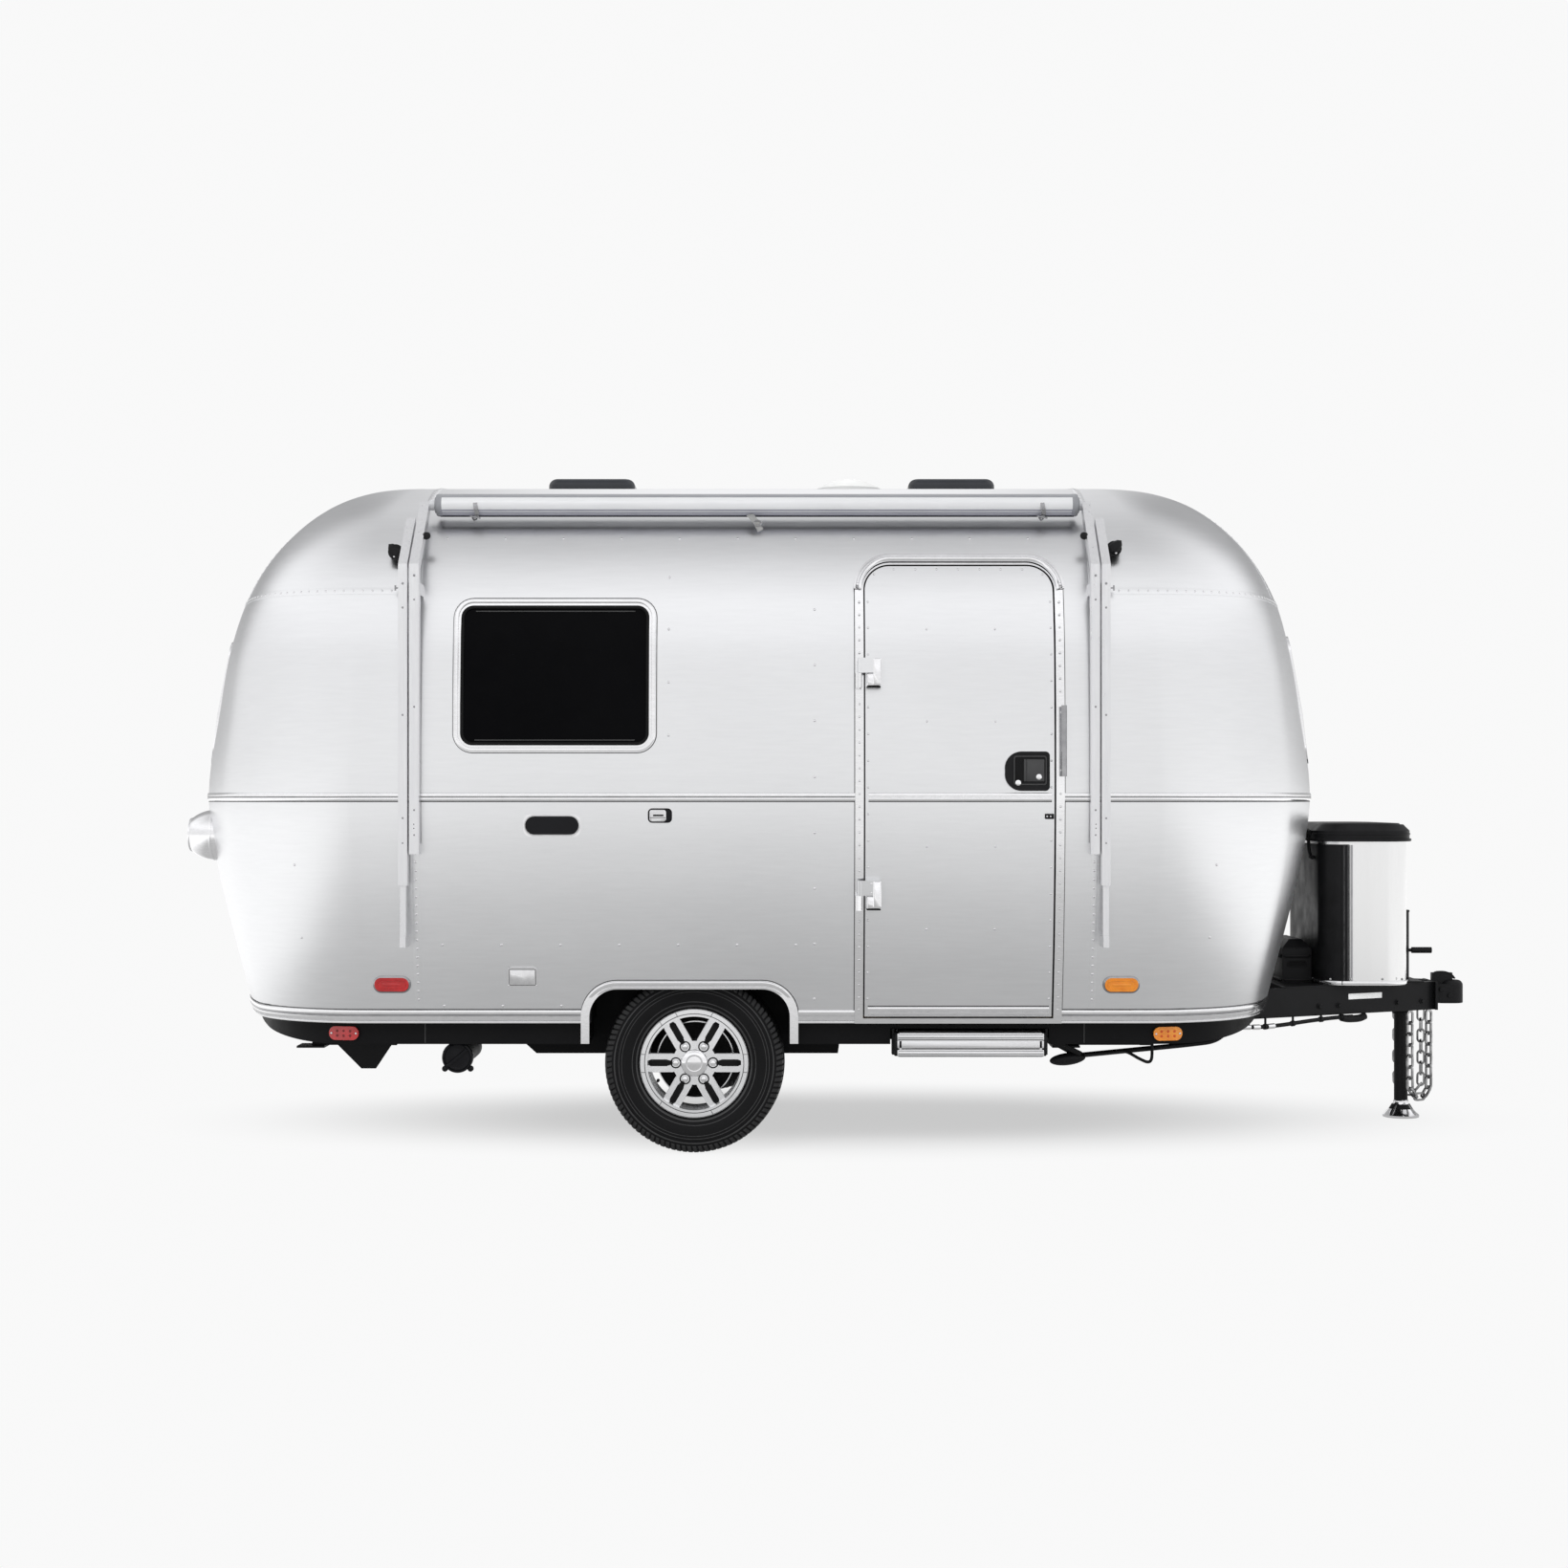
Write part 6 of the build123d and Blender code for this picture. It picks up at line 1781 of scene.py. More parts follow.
        BodyTrim.straight(leaf, trim.belt - trim.belt_width / 2 - 0.002, line, trim.door_start,
                          trim.door_stop)
        BodyTrim.straight(leaf, door.sizes.lower_strip + 0.019, line, trim.door_start, trim.door_stop)
        leaf.build(Body.DOOR, SEAM_SHADOW)

    def build(self) -> None:
        """Makes every line."""
        self.windows()
        self.arches()
        self.strip_lines()


class Surface:
    """Outer face of a CAD node, found by rays, to set small parts on."""

    def __init__(self, node: str) -> None:
        """Builds the ray tree of the node."""
        item = bpy.data.objects[node]
        points = [item.matrix_world @ vertex.co for vertex in item.data.vertices]
        self.tree = BVHTree.FromPolygons(points, [tuple(face.vertices) for face in item.data.polygons])

    def mount(self, along: float, height: float, side: float = -1.0) -> Optional[Mount]:
        """Place where a level ray from the side meets the node.

        Args:
            along: X of the ray.
            height: Z of the ray.
            side: -1 from the curb side.
        Returns:
            The mount on the face, or nothing where the ray misses.
        """
        spot, normal, _, _ = self.tree.ray_cast(Vector((along, 3.0 * side, height)),
                                                Vector((0.0, -side, 0.0)))
        if spot is None:
            return None
        out = unit(np.array(normal))
        out = out if out[1] * side > 0 else -out
        across = unit(np.cross(UP, out))
        return Mount(np.array(spot), across, np.cross(out, across), out)


@dataclass(frozen=True)
class Marker:
    """A side lamp: its node, place and size."""

    node: str
    along: float
    height: float
    wide: float
    tall: float
    on_pan: bool


@dataclass(frozen=True)
class FittingSizes:
    """Places and sizes of the wall fittings."""

    markers: tuple[Marker, ...] = (Marker("lenses_red", -1.755, 0.655, 0.129, 0.052, False),
                                   Marker("lenses_amber", 1.002, 0.654, 0.126, 0.052, False),
                                   Marker("lenses_red", -1.954, 0.462, 0.117, 0.052, True),
                                   Marker("lenses_amber", 1.193, 0.460, 0.113, 0.052, True))
    badge: tuple[float, float] = (-1.143, 1.257)
    inlet: tuple[float, float] = (-0.738, 1.294)
    hatch: tuple[float, float] = (-1.261, 0.683)
    lamps: tuple[tuple[float, float, float], ...] = ((-1.742, 2.291, 1.0), (0.977, 2.305, -1.0))
    bezel: Section = ((-0.0045, -0.002), (0.0045, -0.002), (0.003, 0.007), (-0.003, 0.010))
    hood: Section = ((-0.028, 0.026), (-0.030, 0.008), (-0.022, -0.014), (-0.010, -0.028), (0.000, -0.029),
                     (0.014, -0.020), (0.026, 0.000), (0.027, 0.008), (0.006, 0.022), (-0.012, 0.028))
    hood_back: float = -1.092


class WallFittings:
    """Faces of the markers, the blank oval plate, the inlet cover, the hatch and the scene lamps."""

    def __init__(self, sizes: FittingSizes = FittingSizes()) -> None:
        """Takes the sizes."""
        self.sizes = sizes

    def markers(self) -> None:
        """Bezels round the wall markers, raised lens faces, lamp dots and screws on the pan markers."""
        bezel = Piece("marker_bezels")
        screws = Piece("marker_screws")
        wash = {"lenses_red": RED_LENS, "lenses_amber": AMBER_LENS}
        faces = {name: Piece(f"marker_faces_{name[7:]}") for name in wash}
        dots = {name: Piece(f"marker_dots_{name[7:]}") for name in wash}
        for marker in self.sizes.markers:
            front = Surface(marker.node).mount(marker.along, marker.height)
            face = faces[marker.node]
            ring = rounded_outline(marker.wide - 0.022, marker.tall - 0.020, 0.0155, 7)
            if marker.on_pan:
                for u in (-0.026, 0.0, 0.026):
                    for v in (-0.009, 0.009):
                        front.turned(dots[marker.node], round_head(0.0055, 0.0015), (u, v, -0.0004), 12)
                for u in SIDES:
                    front.turned(screws, round_head(0.0042, 0.002),
                                 (u * (marker.wide / 2 - 0.009), 0.0, -0.0004), 12)
            else:
                front.rim(face, ring, ridge(0.0022, 0.0012, 0.0016))
                front.plate(face, rounded_outline(0.07, 0.012, 0.004), 0.0014, 0.0006)
                back = Mount.curb(marker.along, marker.height)
                around = rounded_outline(marker.wide + 0.007, marker.tall + 0.007,
                                         marker.tall * 0.48 + 0.0035, 8)
                back.rim(bezel, around, np.array(self.sizes.bezel))
        bezel.build(Body.TRAILER, CHROME_DARK, 50)
        screws.build(Body.TRAILER, RIVET, 60)
        for name, finish in wash.items():
            faces[name].build(Body.TRAILER, finish, 50)
        dots["lenses_red"].build(Body.TRAILER, RED_DEEP, 60)
        dots["lenses_amber"].build(Body.TRAILER, AMBER_DEEP, 60)

    def plates(self) -> None:
        """Black face of the oval plate, inlet cover with its flap, and the hatch's lid and screws, with
        painted shade in the flap's slot and round the hatch lid.
        """
        size = self.sizes
        skin = Surface("wall_fittings")
        black = Piece("plate_faces")
        bright = Piece("cover_parts")
        dark = Piece("cover_slot_shade")
        badge = skin.mount(*size.badge)
        badge.plate(black, rounded_outline(0.201, 0.069, 0.0344, 12), 0.0016, 0.0006)
        badge.rim(bright, rounded_outline(0.208, 0.076, 0.0379, 14), ridge(0.003, 0.0015, 0.0026))
        inlet = skin.mount(*size.inlet)
        inlet.plate(black, rounded_outline(0.091, 0.055, 0.017, 8), 0.002, 0.0008)
        inlet.plate(bright, rounded_outline(0.062, 0.044, 0.010, 8), 0.005, 0.0015, (-0.008, 0.0, 0.001))
        # Painted shade: dark plates in the flap's slot and under its edge, and a dark ring round the hatch
        # lid.
        inlet.plate(dark, rounded_outline(0.040, 0.0065, 0.003), 0.0006, 0.0002, (-0.006, 0.001, 0.006))
        inlet.plate(dark, rounded_outline(0.060, 0.0022, 0.001), 0.0006, 0.0002, (-0.008, -0.0075, 0.006))
        hatch = skin.mount(*size.hatch)
        hatch.plate(bright, rounded_outline(0.096, 0.058, 0.004), 0.0022, 0.0012, (0.0, -0.001, 0.0))
        hatch.rim(dark, rounded_outline(0.100, 0.062, 0.006), ridge(0.0012, 0.0008, 0.0006),
                  (0.0, -0.001, 0.0))
        for u in (-0.052, 0.052):
            for v in (-0.033, 0.033):
                hatch.turned(bright, round_head(0.0036, 0.002), (u, v, 0.0), 10)
        black.build(Body.TRAILER, GLOSS_BLACK, 40)
        bright.build(Body.TRAILER, RIVET, 40)
        dark.build(Body.TRAILER, SHADE_AND_BLACK, 40)

    def scene_lamps(self) -> None:
        """Wedge-shaped black hoods of the two scene lamps, with a screw each."""
        size = self.sizes
        hoods = Piece("scene_lamp_hoods")
        screws = Piece("scene_lamp_screws")
        wedge = np.array(size.hood)
        for along, height, hand in size.lamps:
            mount = Mount.facing([along, size.hood_back, height + 0.004])
            shape = wedge if hand > 0 else wedge[::-1] * [-1.0, 1.0]
            mount.plate(hoods, shape, 0.050, 0.010)
            mount.turned(screws, round_head(0.0045, 0.003), (-0.006 * hand, -0.022, 0.0455), 12)
        hoods.build(Body.TRAILER, BLACK_PLASTIC, 45)
        screws.build(Body.TRAILER, RIVET, 60)

    def build(self) -> None:
        """Makes every fitting."""
        self.markers()
        self.plates()
        self.scene_lamps()


@dataclass(frozen=True)
class AwningSizes:
    """Sizes of the awning's roller, strap, clips and arms."""

    radius: float = 0.042
    centre_y: float = -0.981
    centre_z: float = 2.487
    start: float = -1.599
    stop: float = 0.846
    rear_arm: tuple[float, float] = (-1.712, -1.635)
    front_arm: tuple[float, float] = (0.872, 0.945)
    strap_x: float = -0.383
    clips: tuple[float, float] = (-1.457, 0.717)
    pins: tuple[float, float] = (-1.735, 0.968)
    upper_band: tuple[float, float] = (40.0, 88.0)
    bright_band: tuple[float, float] = (-28.0, 36.0)
    ribs: Section = ((-36.0, -31.0), (-52.0, -46.0), (-72.0, -60.0))
    slot: tuple[float, float] = (-92.0, -76.0)
    collar: Section = ((0.0425, -0.014), (0.0435, -0.012), (0.0435, 0.004), (0.040, 0.010), (0.032, 0.012),
                       (0.030, 0.016), (0.020, 0.017), (0.006, 0.018))
    strap_line: Path = ((-0.010, -0.022, 0.004), (0.0, -0.034, -0.006), (0.016, -0.040, -0.026),
                        (0.027, -0.036, -0.046), (0.034, -0.034, -0.060))
    clip_line: Path = ((0.0, -0.040, 0.010), (0.002, -0.045, -0.014), (0.006, -0.036, -0.036),
                       (0.002, -0.024, -0.050), (-0.010, -0.030, -0.058))
    clip_knob: Point = (0.004, -0.044, -0.020)
    clip_bar: Path = ((-0.020, -0.036, -0.046), (0.020, -0.036, -0.054))
    arm_slots: tuple[float, float] = (1.262, 1.247)
    arm_bolts: Section = ((1.315, 0.004), (1.222, 0.0035), (2.10, 0.0042), (1.70, 0.0042), (2.19, 0.005))
    knob: Section = ((0.006, -0.004), (0.013, 0.0), (0.015, 0.006), (0.0135, 0.016), (0.008, 0.019),
                     (0.001, 0.0195))


class Awning:
    """Bands and caps of the rolled awning, its pull strap, travel clips and the arms' small parts."""

    def __init__(self, sizes: AwningSizes = AwningSizes()) -> None:
        """Takes the sizes."""
        self.sizes = sizes

    def line(self, piece: Piece, low: float, high: float, lift: float) -> None:
        """Adds a band along the roller between two angles, measured up from the curb direction."""
        size = self.sizes
        turn = np.radians(np.linspace(low, high, max(int((high - low) / 5), 2) + 1))
        far = size.radius + lift
        along = np.linspace(size.start + 0.004, size.stop - 0.004, 60)
        near = size.radius - 0.001
        places = [(near, turn[0])] + [(far, a) for a in turn] + [(near, turn[-1])]
        rows = [np.stack([along, np.full(60, size.centre_y - r * math.cos(a)),
                          np.full(60, size.centre_z + r * math.sin(a))], axis=1) for r, a in places]
        piece.grid(np.stack(rows, axis=1), wrap_cols=True, cap=True)

    def roller(self) -> None:
        """Shaded upper band, bright middle band and lower ribs of the roller, a painted shadow strip under
        it, and its end caps.
        """
        size = self.sizes
        shade = Piece("awning_upper_band")
        self.line(shade, *size.upper_band, 0.0008)
        shade.build(Body.TRAILER, AWNING_SHADE, 60)
        bright = Piece("awning_bright_band")
        self.line(bright, *size.bright_band, 0.0012)
        bright.build(Body.TRAILER, AWNING_BRIGHT, 60)
        ribs = Piece("awning_ribs")
        for low, high in size.ribs:
            self.line(ribs, low, high, 0.0016)
        ribs.build(Body.TRAILER, AWNING_RIB, 60)
        # Painted shadow: a near-black strip along the roller's underside.
        slot = Piece("awning_painted_shadow")
        self.line(slot, *size.slot, 0.0030)
        slot.build(Body.TRAILER, SHADE_AND_BLACK, 60)
        caps = Piece("awning_end_caps")
        for along, way in ((size.start, -1.0), (size.stop, 1.0)):
            caps.lathe(np.array(size.collar), (along, size.centre_y, size.centre_z), (way, 0.0, 0.0), 40)
        caps.build(Body.TRAILER, AWNING_SHADE, 40)

    def strap(self) -> None:
        """Pull strap that hangs from the roller, folded once."""
        size = self.sizes
        start = np.array([size.strap_x - 0.014, size.centre_y, size.centre_z - size.radius])
        line = smooth_line(start + np.array(size.strap_line), 24)
        piece = Piece("awning_pull_strap")
        piece.sweep(line, slab(0.012, -0.0009, 0.0009), np.array([0.25, -1.0, 0.15]))
        item = piece.build(Body.TRAILER, STRAP_WEB, 50)
        ring = Piece("strap_loop")
        turn = np.linspace(0.0, 2 * np.pi, 28)[:-1]
        middle = line[13]
        path = middle + np.column_stack([0.015 * np.cos(turn) + 0.004, np.full(27, -0.003),
                                         0.010 * np.sin(turn)])
        ring.sweep(path, circle(0.0022, 8), np.array([0.0, 1.0, 0.0]), closed=True)
        ring.build(Body.TRAILER, CHROME_DARK, 60)

    def clips(self) -> None:
        """Travel clips under the roller: a hooked plate with a knob."""
        size = self.sizes
        piece = Piece("awning_clips")
        for along in size.clips:
            spot = np.array([along, size.centre_y, size.centre_z])
            path = smooth_line(spot + np.array(size.clip_line), 20)
            piece.sweep(path, slab(0.008, -0.0015, 0.0015), np.array([0.0, -1.0, 0.2]))
            piece.lathe(round_head(0.006, 0.007), spot + size.clip_knob, (0.0, -1.0, 0.0), 14)
            piece.tube(spot + np.array(size.clip_bar), 0.003, 8)
        piece.build(Body.TRAILER, CHROME_DARK, 45)

    def arms(self) -> None:
        """Slots with painted shade, bolts, stop pins and knobs of the two arms."""
        size = self.sizes
        dark = Piece("arm_slots")
        bright = Piece("arm_bolts")
        knobs = Piece("arm_knobs")
        faces = Surface("awning_arms")
        rows = ((size.rear_arm, 1.0), (size.front_arm, -1.0))
        for (start, stop), hand in rows:
            inner, outer = (stop, start) if hand > 0 else (start, stop)
            # Painted shade: near-black dots in the slots.
            for height in size.arm_slots:
                self.dot(dark, faces, inner - hand * 0.018, height, 0.0022)
            for height, radius in size.arm_bolts:
                self.dot(bright, faces, inner - hand * 0.017, height, radius)
                self.dot(bright, faces, outer + hand * 0.017, height - 0.03, radius)
            knobs.lathe(np.array(size.knob), (inner + hand * 0.004, -1.130, 2.352),
                        (hand * 0.6, -0.8, 0.0), 18)
        for along, hand in zip(size.pins, (1.0, -1.0)):
            spot = np.array([along, -1.190, 2.150])
            bright.tube(np.array([spot, spot + [hand * 0.030, -0.004, 0.0]]), 0.0028, 8)
            bright.tube(np.array([spot + [0, 0, 0.010], spot - [0, 0, 0.010]]), 0.0032, 8)
        dark.build(Body.TRAILER, SHADE_AND_BLACK, 40)
        bright.build(Body.TRAILER, CHROME_DARK, 50)
        knobs.build(Body.TRAILER, BLACK_PLASTIC, 50)

    @staticmethod
    def dot(piece: Piece, surface: Surface, along: float, height: float, radius: float) -> None:
        """Adds a small round head where a ray meets the arms, if it meets them."""
        mount = surface.mount(along, height)
        if mount is not None and mount.origin[1] < -1.2:
            mount.turned(piece, round_head(radius, radius * 0.6), (0.0, 0.0, -0.0003), 12)

    def build(self) -> None:
        """Makes the awning's parts."""
        self.roller()
        self.strap()
        self.clips()
        self.arms()


@dataclass(frozen=True)
class TongueSizes:
    """Sizes of the small parts on the gas cover, its lid, the rails, the jack and the coupler."""

    cover: tuple[float, float, float, float] = (1.948, 2.312, 0.360, 0.105)
    rear_shade_front: float = 2.022
    flute_pitch: float = 0.016
    cover_low: float = 0.590
    cover_high: float = 1.168
    lid: tuple[float, float, float, float] = (1.934, 2.326, 0.374, 0.119)
    lid_low: float = 1.1800
    lid_top: float = 1.250
    lid_chamfer: float = 0.026
    reflector: tuple[float, float, float, float] = (2.146, 0.536, 0.178, 0.023)
    battery: tuple[float, float, float, float, float] = (1.816, 1.938, 0.180, 0.588, 0.766)
    jack: tuple[float, float] = (2.360, 0.0)
    rail_bolts: tuple[float, ...] = (1.93, 2.02, 2.30, 2.42)
    rail_bolt_height: float = 0.502
    washer: Section = ((0.013, -0.001), (0.013, 0.0025), (0.010, 0.0035))
    bolt_head: Section = ((0.009, 0.003), (0.009, 0.0095), (0.0075, 0.0108))
    conduit: Path = ((1.560, -0.560, 0.436), (1.660, -0.512, 0.432), (1.760, -0.462, 0.436),
                     (1.880, -0.400, 0.446), (1.990, -0.344, 0.453), (2.080, -0.300, 0.455))
    conduit_end: Path = ((2.030, -0.324, 0.452), (2.060, -0.310, 0.446), (2.110, -0.284, 0.446),
                         (2.140, -0.270, 0.455))
    foot: Section = ((0.0752, 0.0004), (0.0757, 0.0030), (0.0757, 0.0096), (0.0735, 0.0112),
                     (0.0640, 0.0190), (0.0480, 0.0372), (0.0345, 0.0535), (0.0318, 0.0580),
                     (0.0318, 0.0700), (0.0300, 0.0720), (0.0280, 0.0722))
    foot_rib: Section = ((0.071, 0.0130), (0.0500, 0.0348), (0.0345, 0.0530))
    collar: Section = ((0.0340, -0.006), (0.0365, -0.0045), (0.0365, 0.0030), (0.0340, 0.0040))
    collar_heights: tuple[float, float] = (0.4415, 0.874)
    lever: Path = ((2.505, 0.0, 0.6140), (2.520, 0.0, 0.6175), (2.552, 0.0, 0.6165), (2.574, 0.0, 0.606),
                   (2.588, 0.0, 0.590))
    coupler_bolts: Section = ((2.520, 0.545), (2.556, 0.520))
    coupler_bolt: Section = ((0.011, -0.001), (0.011, 0.006), (0.009, 0.0075))


class Tongue:
    """Small parts of the gas cover, its lid, the rails, the battery box, the jack foot and the coupler."""

    def __init__(self, sizes: TongueSizes = TongueSizes()) -> None:
        """Takes the sizes."""
        self.sizes = sizes

    @staticmethod
    def plan(box: tuple[float, float, float, float], outset: float, steps: int = 14) -> Array:
        """Rounded outline in plan, counter-clockwise from the middle of the front.

        Args:
            box: Rear X, front X, half width and corner radius.
            outset: Distance outside it.
            steps: Points on each corner.
        Returns:
            Points, X and Y columns.
        """
        rear, front, half, radius = box
        flat = rounded_outline(front - rear + 2 * outset, 2 * half + 2 * outset, radius + outset, steps)
        return flat + [(rear + front) / 2, 0.0]

    @staticmethod
    def band(width: float, tall: float) -> Array:
        """Section of a standing band: across first, up second, with eased corners."""
        return rounded_outline(width, tall, min(width, tall) * 0.35, 3)

    def ring(self, piece: Piece, box: tuple[float, float, float, float], outset: float, height: float,
             section: Array) -> None:
        """Sweeps a section round a plan outline at one height."""
        flat = EdgeLines.fill(self.plan(box, outset), 0.04)
        path = np.column_stack([flat, np.full(len(flat), height)])
        piece.sweep(path, section, UP, closed=True)

    def cover(self) -> None:
        """Dark band round the cover's rear, painted shade and dark reflection, flutes beside it with painted
        shade between them, and a trim round its foot.
        """
        size = self.sizes
        rear, _, half, radius = size.cover
        tall = size.cover_high - size.cover_low
        middle = (size.cover_high + size.cover_low) / 2
        turn = np.linspace(0.0, np.pi / 2, 16)
        corner = np.column_stack([rear + radius - radius * np.sin(turn) - 0.001 * np.sin(turn),
                                  -(half - radius + (radius + 0.001) * np.cos(turn))])
        near = np.vstack([[size.rear_shade_front, -half - 0.001], corner])
        flat = EdgeLines.fill(np.vstack([near, near[::-1] * [1.0, -1.0]]), 0.05)
        keep = (flat[:, 0] < size.rear_shade_front - 1e-6) | (np.abs(flat[:, 1]) > half)
        path = np.column_stack([flat[keep], np.full(keep.sum(), middle)])
        # Painted shade and dark reflection: a near-black band round the cover's rear corners.
        rear_shade = Piece("gas_cover_rear_shade")
        rear_shade.sweep(path, self.band(0.004, tall), UP)
        rear_shade.build(Body.TRAILER, BLACK_PLASTIC, 50)
        flutes = Piece("gas_cover_flutes")
        groove_shade = Piece("gas_cover_groove_shade")
        upright = np.array([[0.0, 0.0, size.cover_low + 0.004], [0.0, 0.0, size.cover_high - 0.002]])
        for side in SIDES:
            out = np.array([0.0, side, 0.0])
            for k in range(3):
                along = size.rear_shade_front + 0.010 + k * size.flute_pitch
                line = upright + [along, side * half, 0.0]
                flutes.sweep(line, bead(0.0085, 0.0030), out)
                # Painted shade: a dark line between each pair of flutes.
                line = upright + [along - size.flute_pitch / 2, side * half, 0.0]
                groove_shade.sweep(line, EdgeLines.flat_line(0.0036, 0.0012), out)
        flutes.build(Body.TRAILER, CHROME_DARK, 60)
        groove_shade.build(Body.TRAILER, SEAM_SHADOW)
        trims = Piece("gas_cover_trims")
        self.ring(trims, size.cover, 0.003, size.cover_low + 0.008, self.band(0.007, 0.016))
        trims.build(Body.TRAILER, TRIM, 50)
        screws = Piece("gas_cover_screws")
        for side in SIDES:
            for along in (1.975, 2.060, 2.190, 2.270):
                mount = Mount.facing([along, side * half, size.cover_low + 0.024], side)
                mount.turned(screws, round_head(0.0052, 0.0034), (0.0, 0.0, 0.0005), 14)
        screws.build(Body.TRAILER, ZINC, 60)

    def lid(self) -> None:
        """Lip, step line and raised top panel of the lid, and the rubber catch behind it."""
        size = self.sizes
        lip = Piece("gas_lid_lip")
        self.ring(lip, size.lid, 0.002, size.lid_low + 0.006, self.band(0.010, 0.012))
        self.ring(lip, size.lid, 0.000, size.lid_low + 0.030, self.band(0.005, 0.008))
        rear, front, half, radius = size.lid
        inner = (rear + size.lid_chamfer, front - size.lid_chamfer, half - size.lid_chamfer, radius)
        rows = []
        for inset, rise in ((0.006, -0.002), (0.010, 0.0035), (0.014, 0.0050), (0.10, 0.0070),
                            (0.17, 0.0078)):
            flat = self.plan(inner, -min(inset, radius - 0.005))
            if inset > 0.05:
                centre = np.array([(rear + front) / 2, 0.0])
                flat = centre + (self.plan(inner, -0.016) - centre) * (1.0 - inset / 0.2)
            rows.append(np.column_stack([flat, np.full(len(flat), size.lid_top + rise)]))
        lip.grid(np.stack(rows), wrap_cols=True, cap=True)
        lip.build(Body.GAS_LID, BLACK_PLASTIC, 40)
        catch = Piece("gas_lid_catch")
        for across in (-0.196, 0.196):
            path = smooth_line([(1.944, across, 1.108), (1.930, across, 1.122), (1.924, across, 1.150),
                                (1.922, across, 1.190), (1.919, across, 1.222)], 18)
            catch.sweep(path, rounded_outline(0.026, 0.010, 0.003, 3), np.array([1.0, 0.0, 0.2]))
            bar = smooth_line([(1.921, across - 0.034, 1.216), (1.917, across, 1.222),
                               (1.921, across + 0.034, 1.216)], 12)
            catch.tube(bar, 0.0095, 12)
            catch.tube(np.array([[1.936, across - 0.022, 1.112], [1.936, across + 0.022, 1.112]]), 0.0085, 12)
        catch.build(Body.TRAILER, RUBBER, 50)

    def rails(self) -> None:
        """Blank reflector strips with a painted glow and bolts on the rails, and the conduit clipped under
        the near rail.
        """
        size = self.sizes
        strip = Piece("rail_reflectors")
        bolts = Piece("rail_bolts")
        surface = Surface("aframe_rails")
        along, height, wide, tall = size.reflector
        for side in SIDES:
            mount = surface.mount(along, height, side)
            if mount is not None:
                mount.plate(strip, rounded_outline(wide, tall, 0.002, 3), 0.0016, 0.0004, (0.0, 0.0, -0.0004))
            for place in size.rail_bolts:
                spot = surface.mount(place, size.rail_bolt_height, side)
                if spot is not None:
                    spot.turned(bolts, np.array(size.washer), steps=20)
                    spot.turned(bolts, np.array(size.bolt_head), steps=6)
        strip.build(Body.TRAILER, REFLECTOR_GLOW)
        bolts.build(Body.TRAILER, BLACK_STEEL, 30)
        conduit = Piece("rail_conduit")
        path = smooth_line(size.conduit, 60)
        conduit.tube(path, 0.0085, 12)
        lump = smooth_line(size.conduit_end, 20)
        conduit.tube(lump, 0.0150, 14)
        for k in (14, 28, 41, 52):
            way = unit(path[k + 1] - path[k - 1])
            conduit.tube(np.stack([path[k] - 0.007 * way, path[k] + 0.007 * way]), 0.0118, 14)
            conduit.tube(np.stack([path[k], path[k] * [1, 1, 0] + [0, 0, 0.470]]), 0.0050, 8)
        conduit.build(Body.TRAILER, BLACK_PLASTIC, 50)
        sleeves = Piece("rail_conduit_sleeves")
        for k in (4, 9, 17):
            way = unit(path[k + 1] - path[k - 1])
            sleeves.tube(np.stack([path[k] - 0.017 * way, path[k] + 0.017 * way]), 0.0108, 16)
        sleeves.build(Body.TRAILER, CHROME, 50)

    def battery(self) -> None:
        """Lid rim, seam, carrying slots and screws of the battery box, with painted shade in the seam and the
        slots.
        """
        rear, front, half, low, high = self.sizes.battery
        box = (rear, front, half, 0.016)
        rim = Piece("battery_rim")
        seam = low + 0.62 * (high - low)
        self.ring(rim, box, 0.001, seam, self.band(0.007, 0.012))
        self.ring(rim, box, 0.000, low + 0.008, self.band(0.006, 0.010))
        line = Piece("battery_seam_shade")
        # Painted shade: a near-black line in the lid seam and near-black plates in the carrying slots.
        self.ring(line, box, 0.000, seam - 0.009, self.band(0.003, 0.0035))
        for side in SIDES:
            mount = Mount.facing([(rear + front) / 2, side * half, seam - 0.034], side)
            slot = rounded_outline(0.078, 0.022, 0.008, 5)
            mount.rim(rim, slot, circle(0.0024, 8), (0.0, 0.0, 0.0012))
            mount.plate(line, slot * 0.9, 0.0014, 0.0004, (0.0, 0.0, -0.0006))
            mount.turned(rim, round_head(0.0055, 0.003), (0.0, 0.066, 0.0), 14)
        rim.build(Body.TRAILER, BLACK_STEEL, 50)
        line.build(Body.TRAILER, SHADE_AND_BLACK)

    def jack(self) -> None:
        """Pressed silver foot with ribs on the jack leg, and collars on the jack tube."""
        size = self.sizes
        along, across = size.jack
        foot = Piece("jack_foot_shell")
        foot.lathe(np.array(size.foot), (along, across, 0.0), UP, 48)
        foot.build(Body.JACK_LEG, CHROME, 35)
        ribs = Piece("jack_foot_ribs")
        for turn in np.arange(4) * np.pi / 2 + np.pi / 4:
            way = np.array([np.cos(turn), np.sin(turn), 0.0])
            path = np.stack([way * radius + [along, across, lift] for radius, lift in size.foot_rib])
            ribs.sweep(path, rounded_outline(0.008, 0.007, 0.0025, 3), UP)
        ribs.build(Body.JACK_LEG, ZINC, 50)
        collar = Piece("jack_collar")
        for height in size.collar_heights:
            collar.lathe(np.array(size.collar), (along, across, height + 0.004), UP, 36)
        collar.build(Body.TRAILER, BLACK_STEEL, 40)

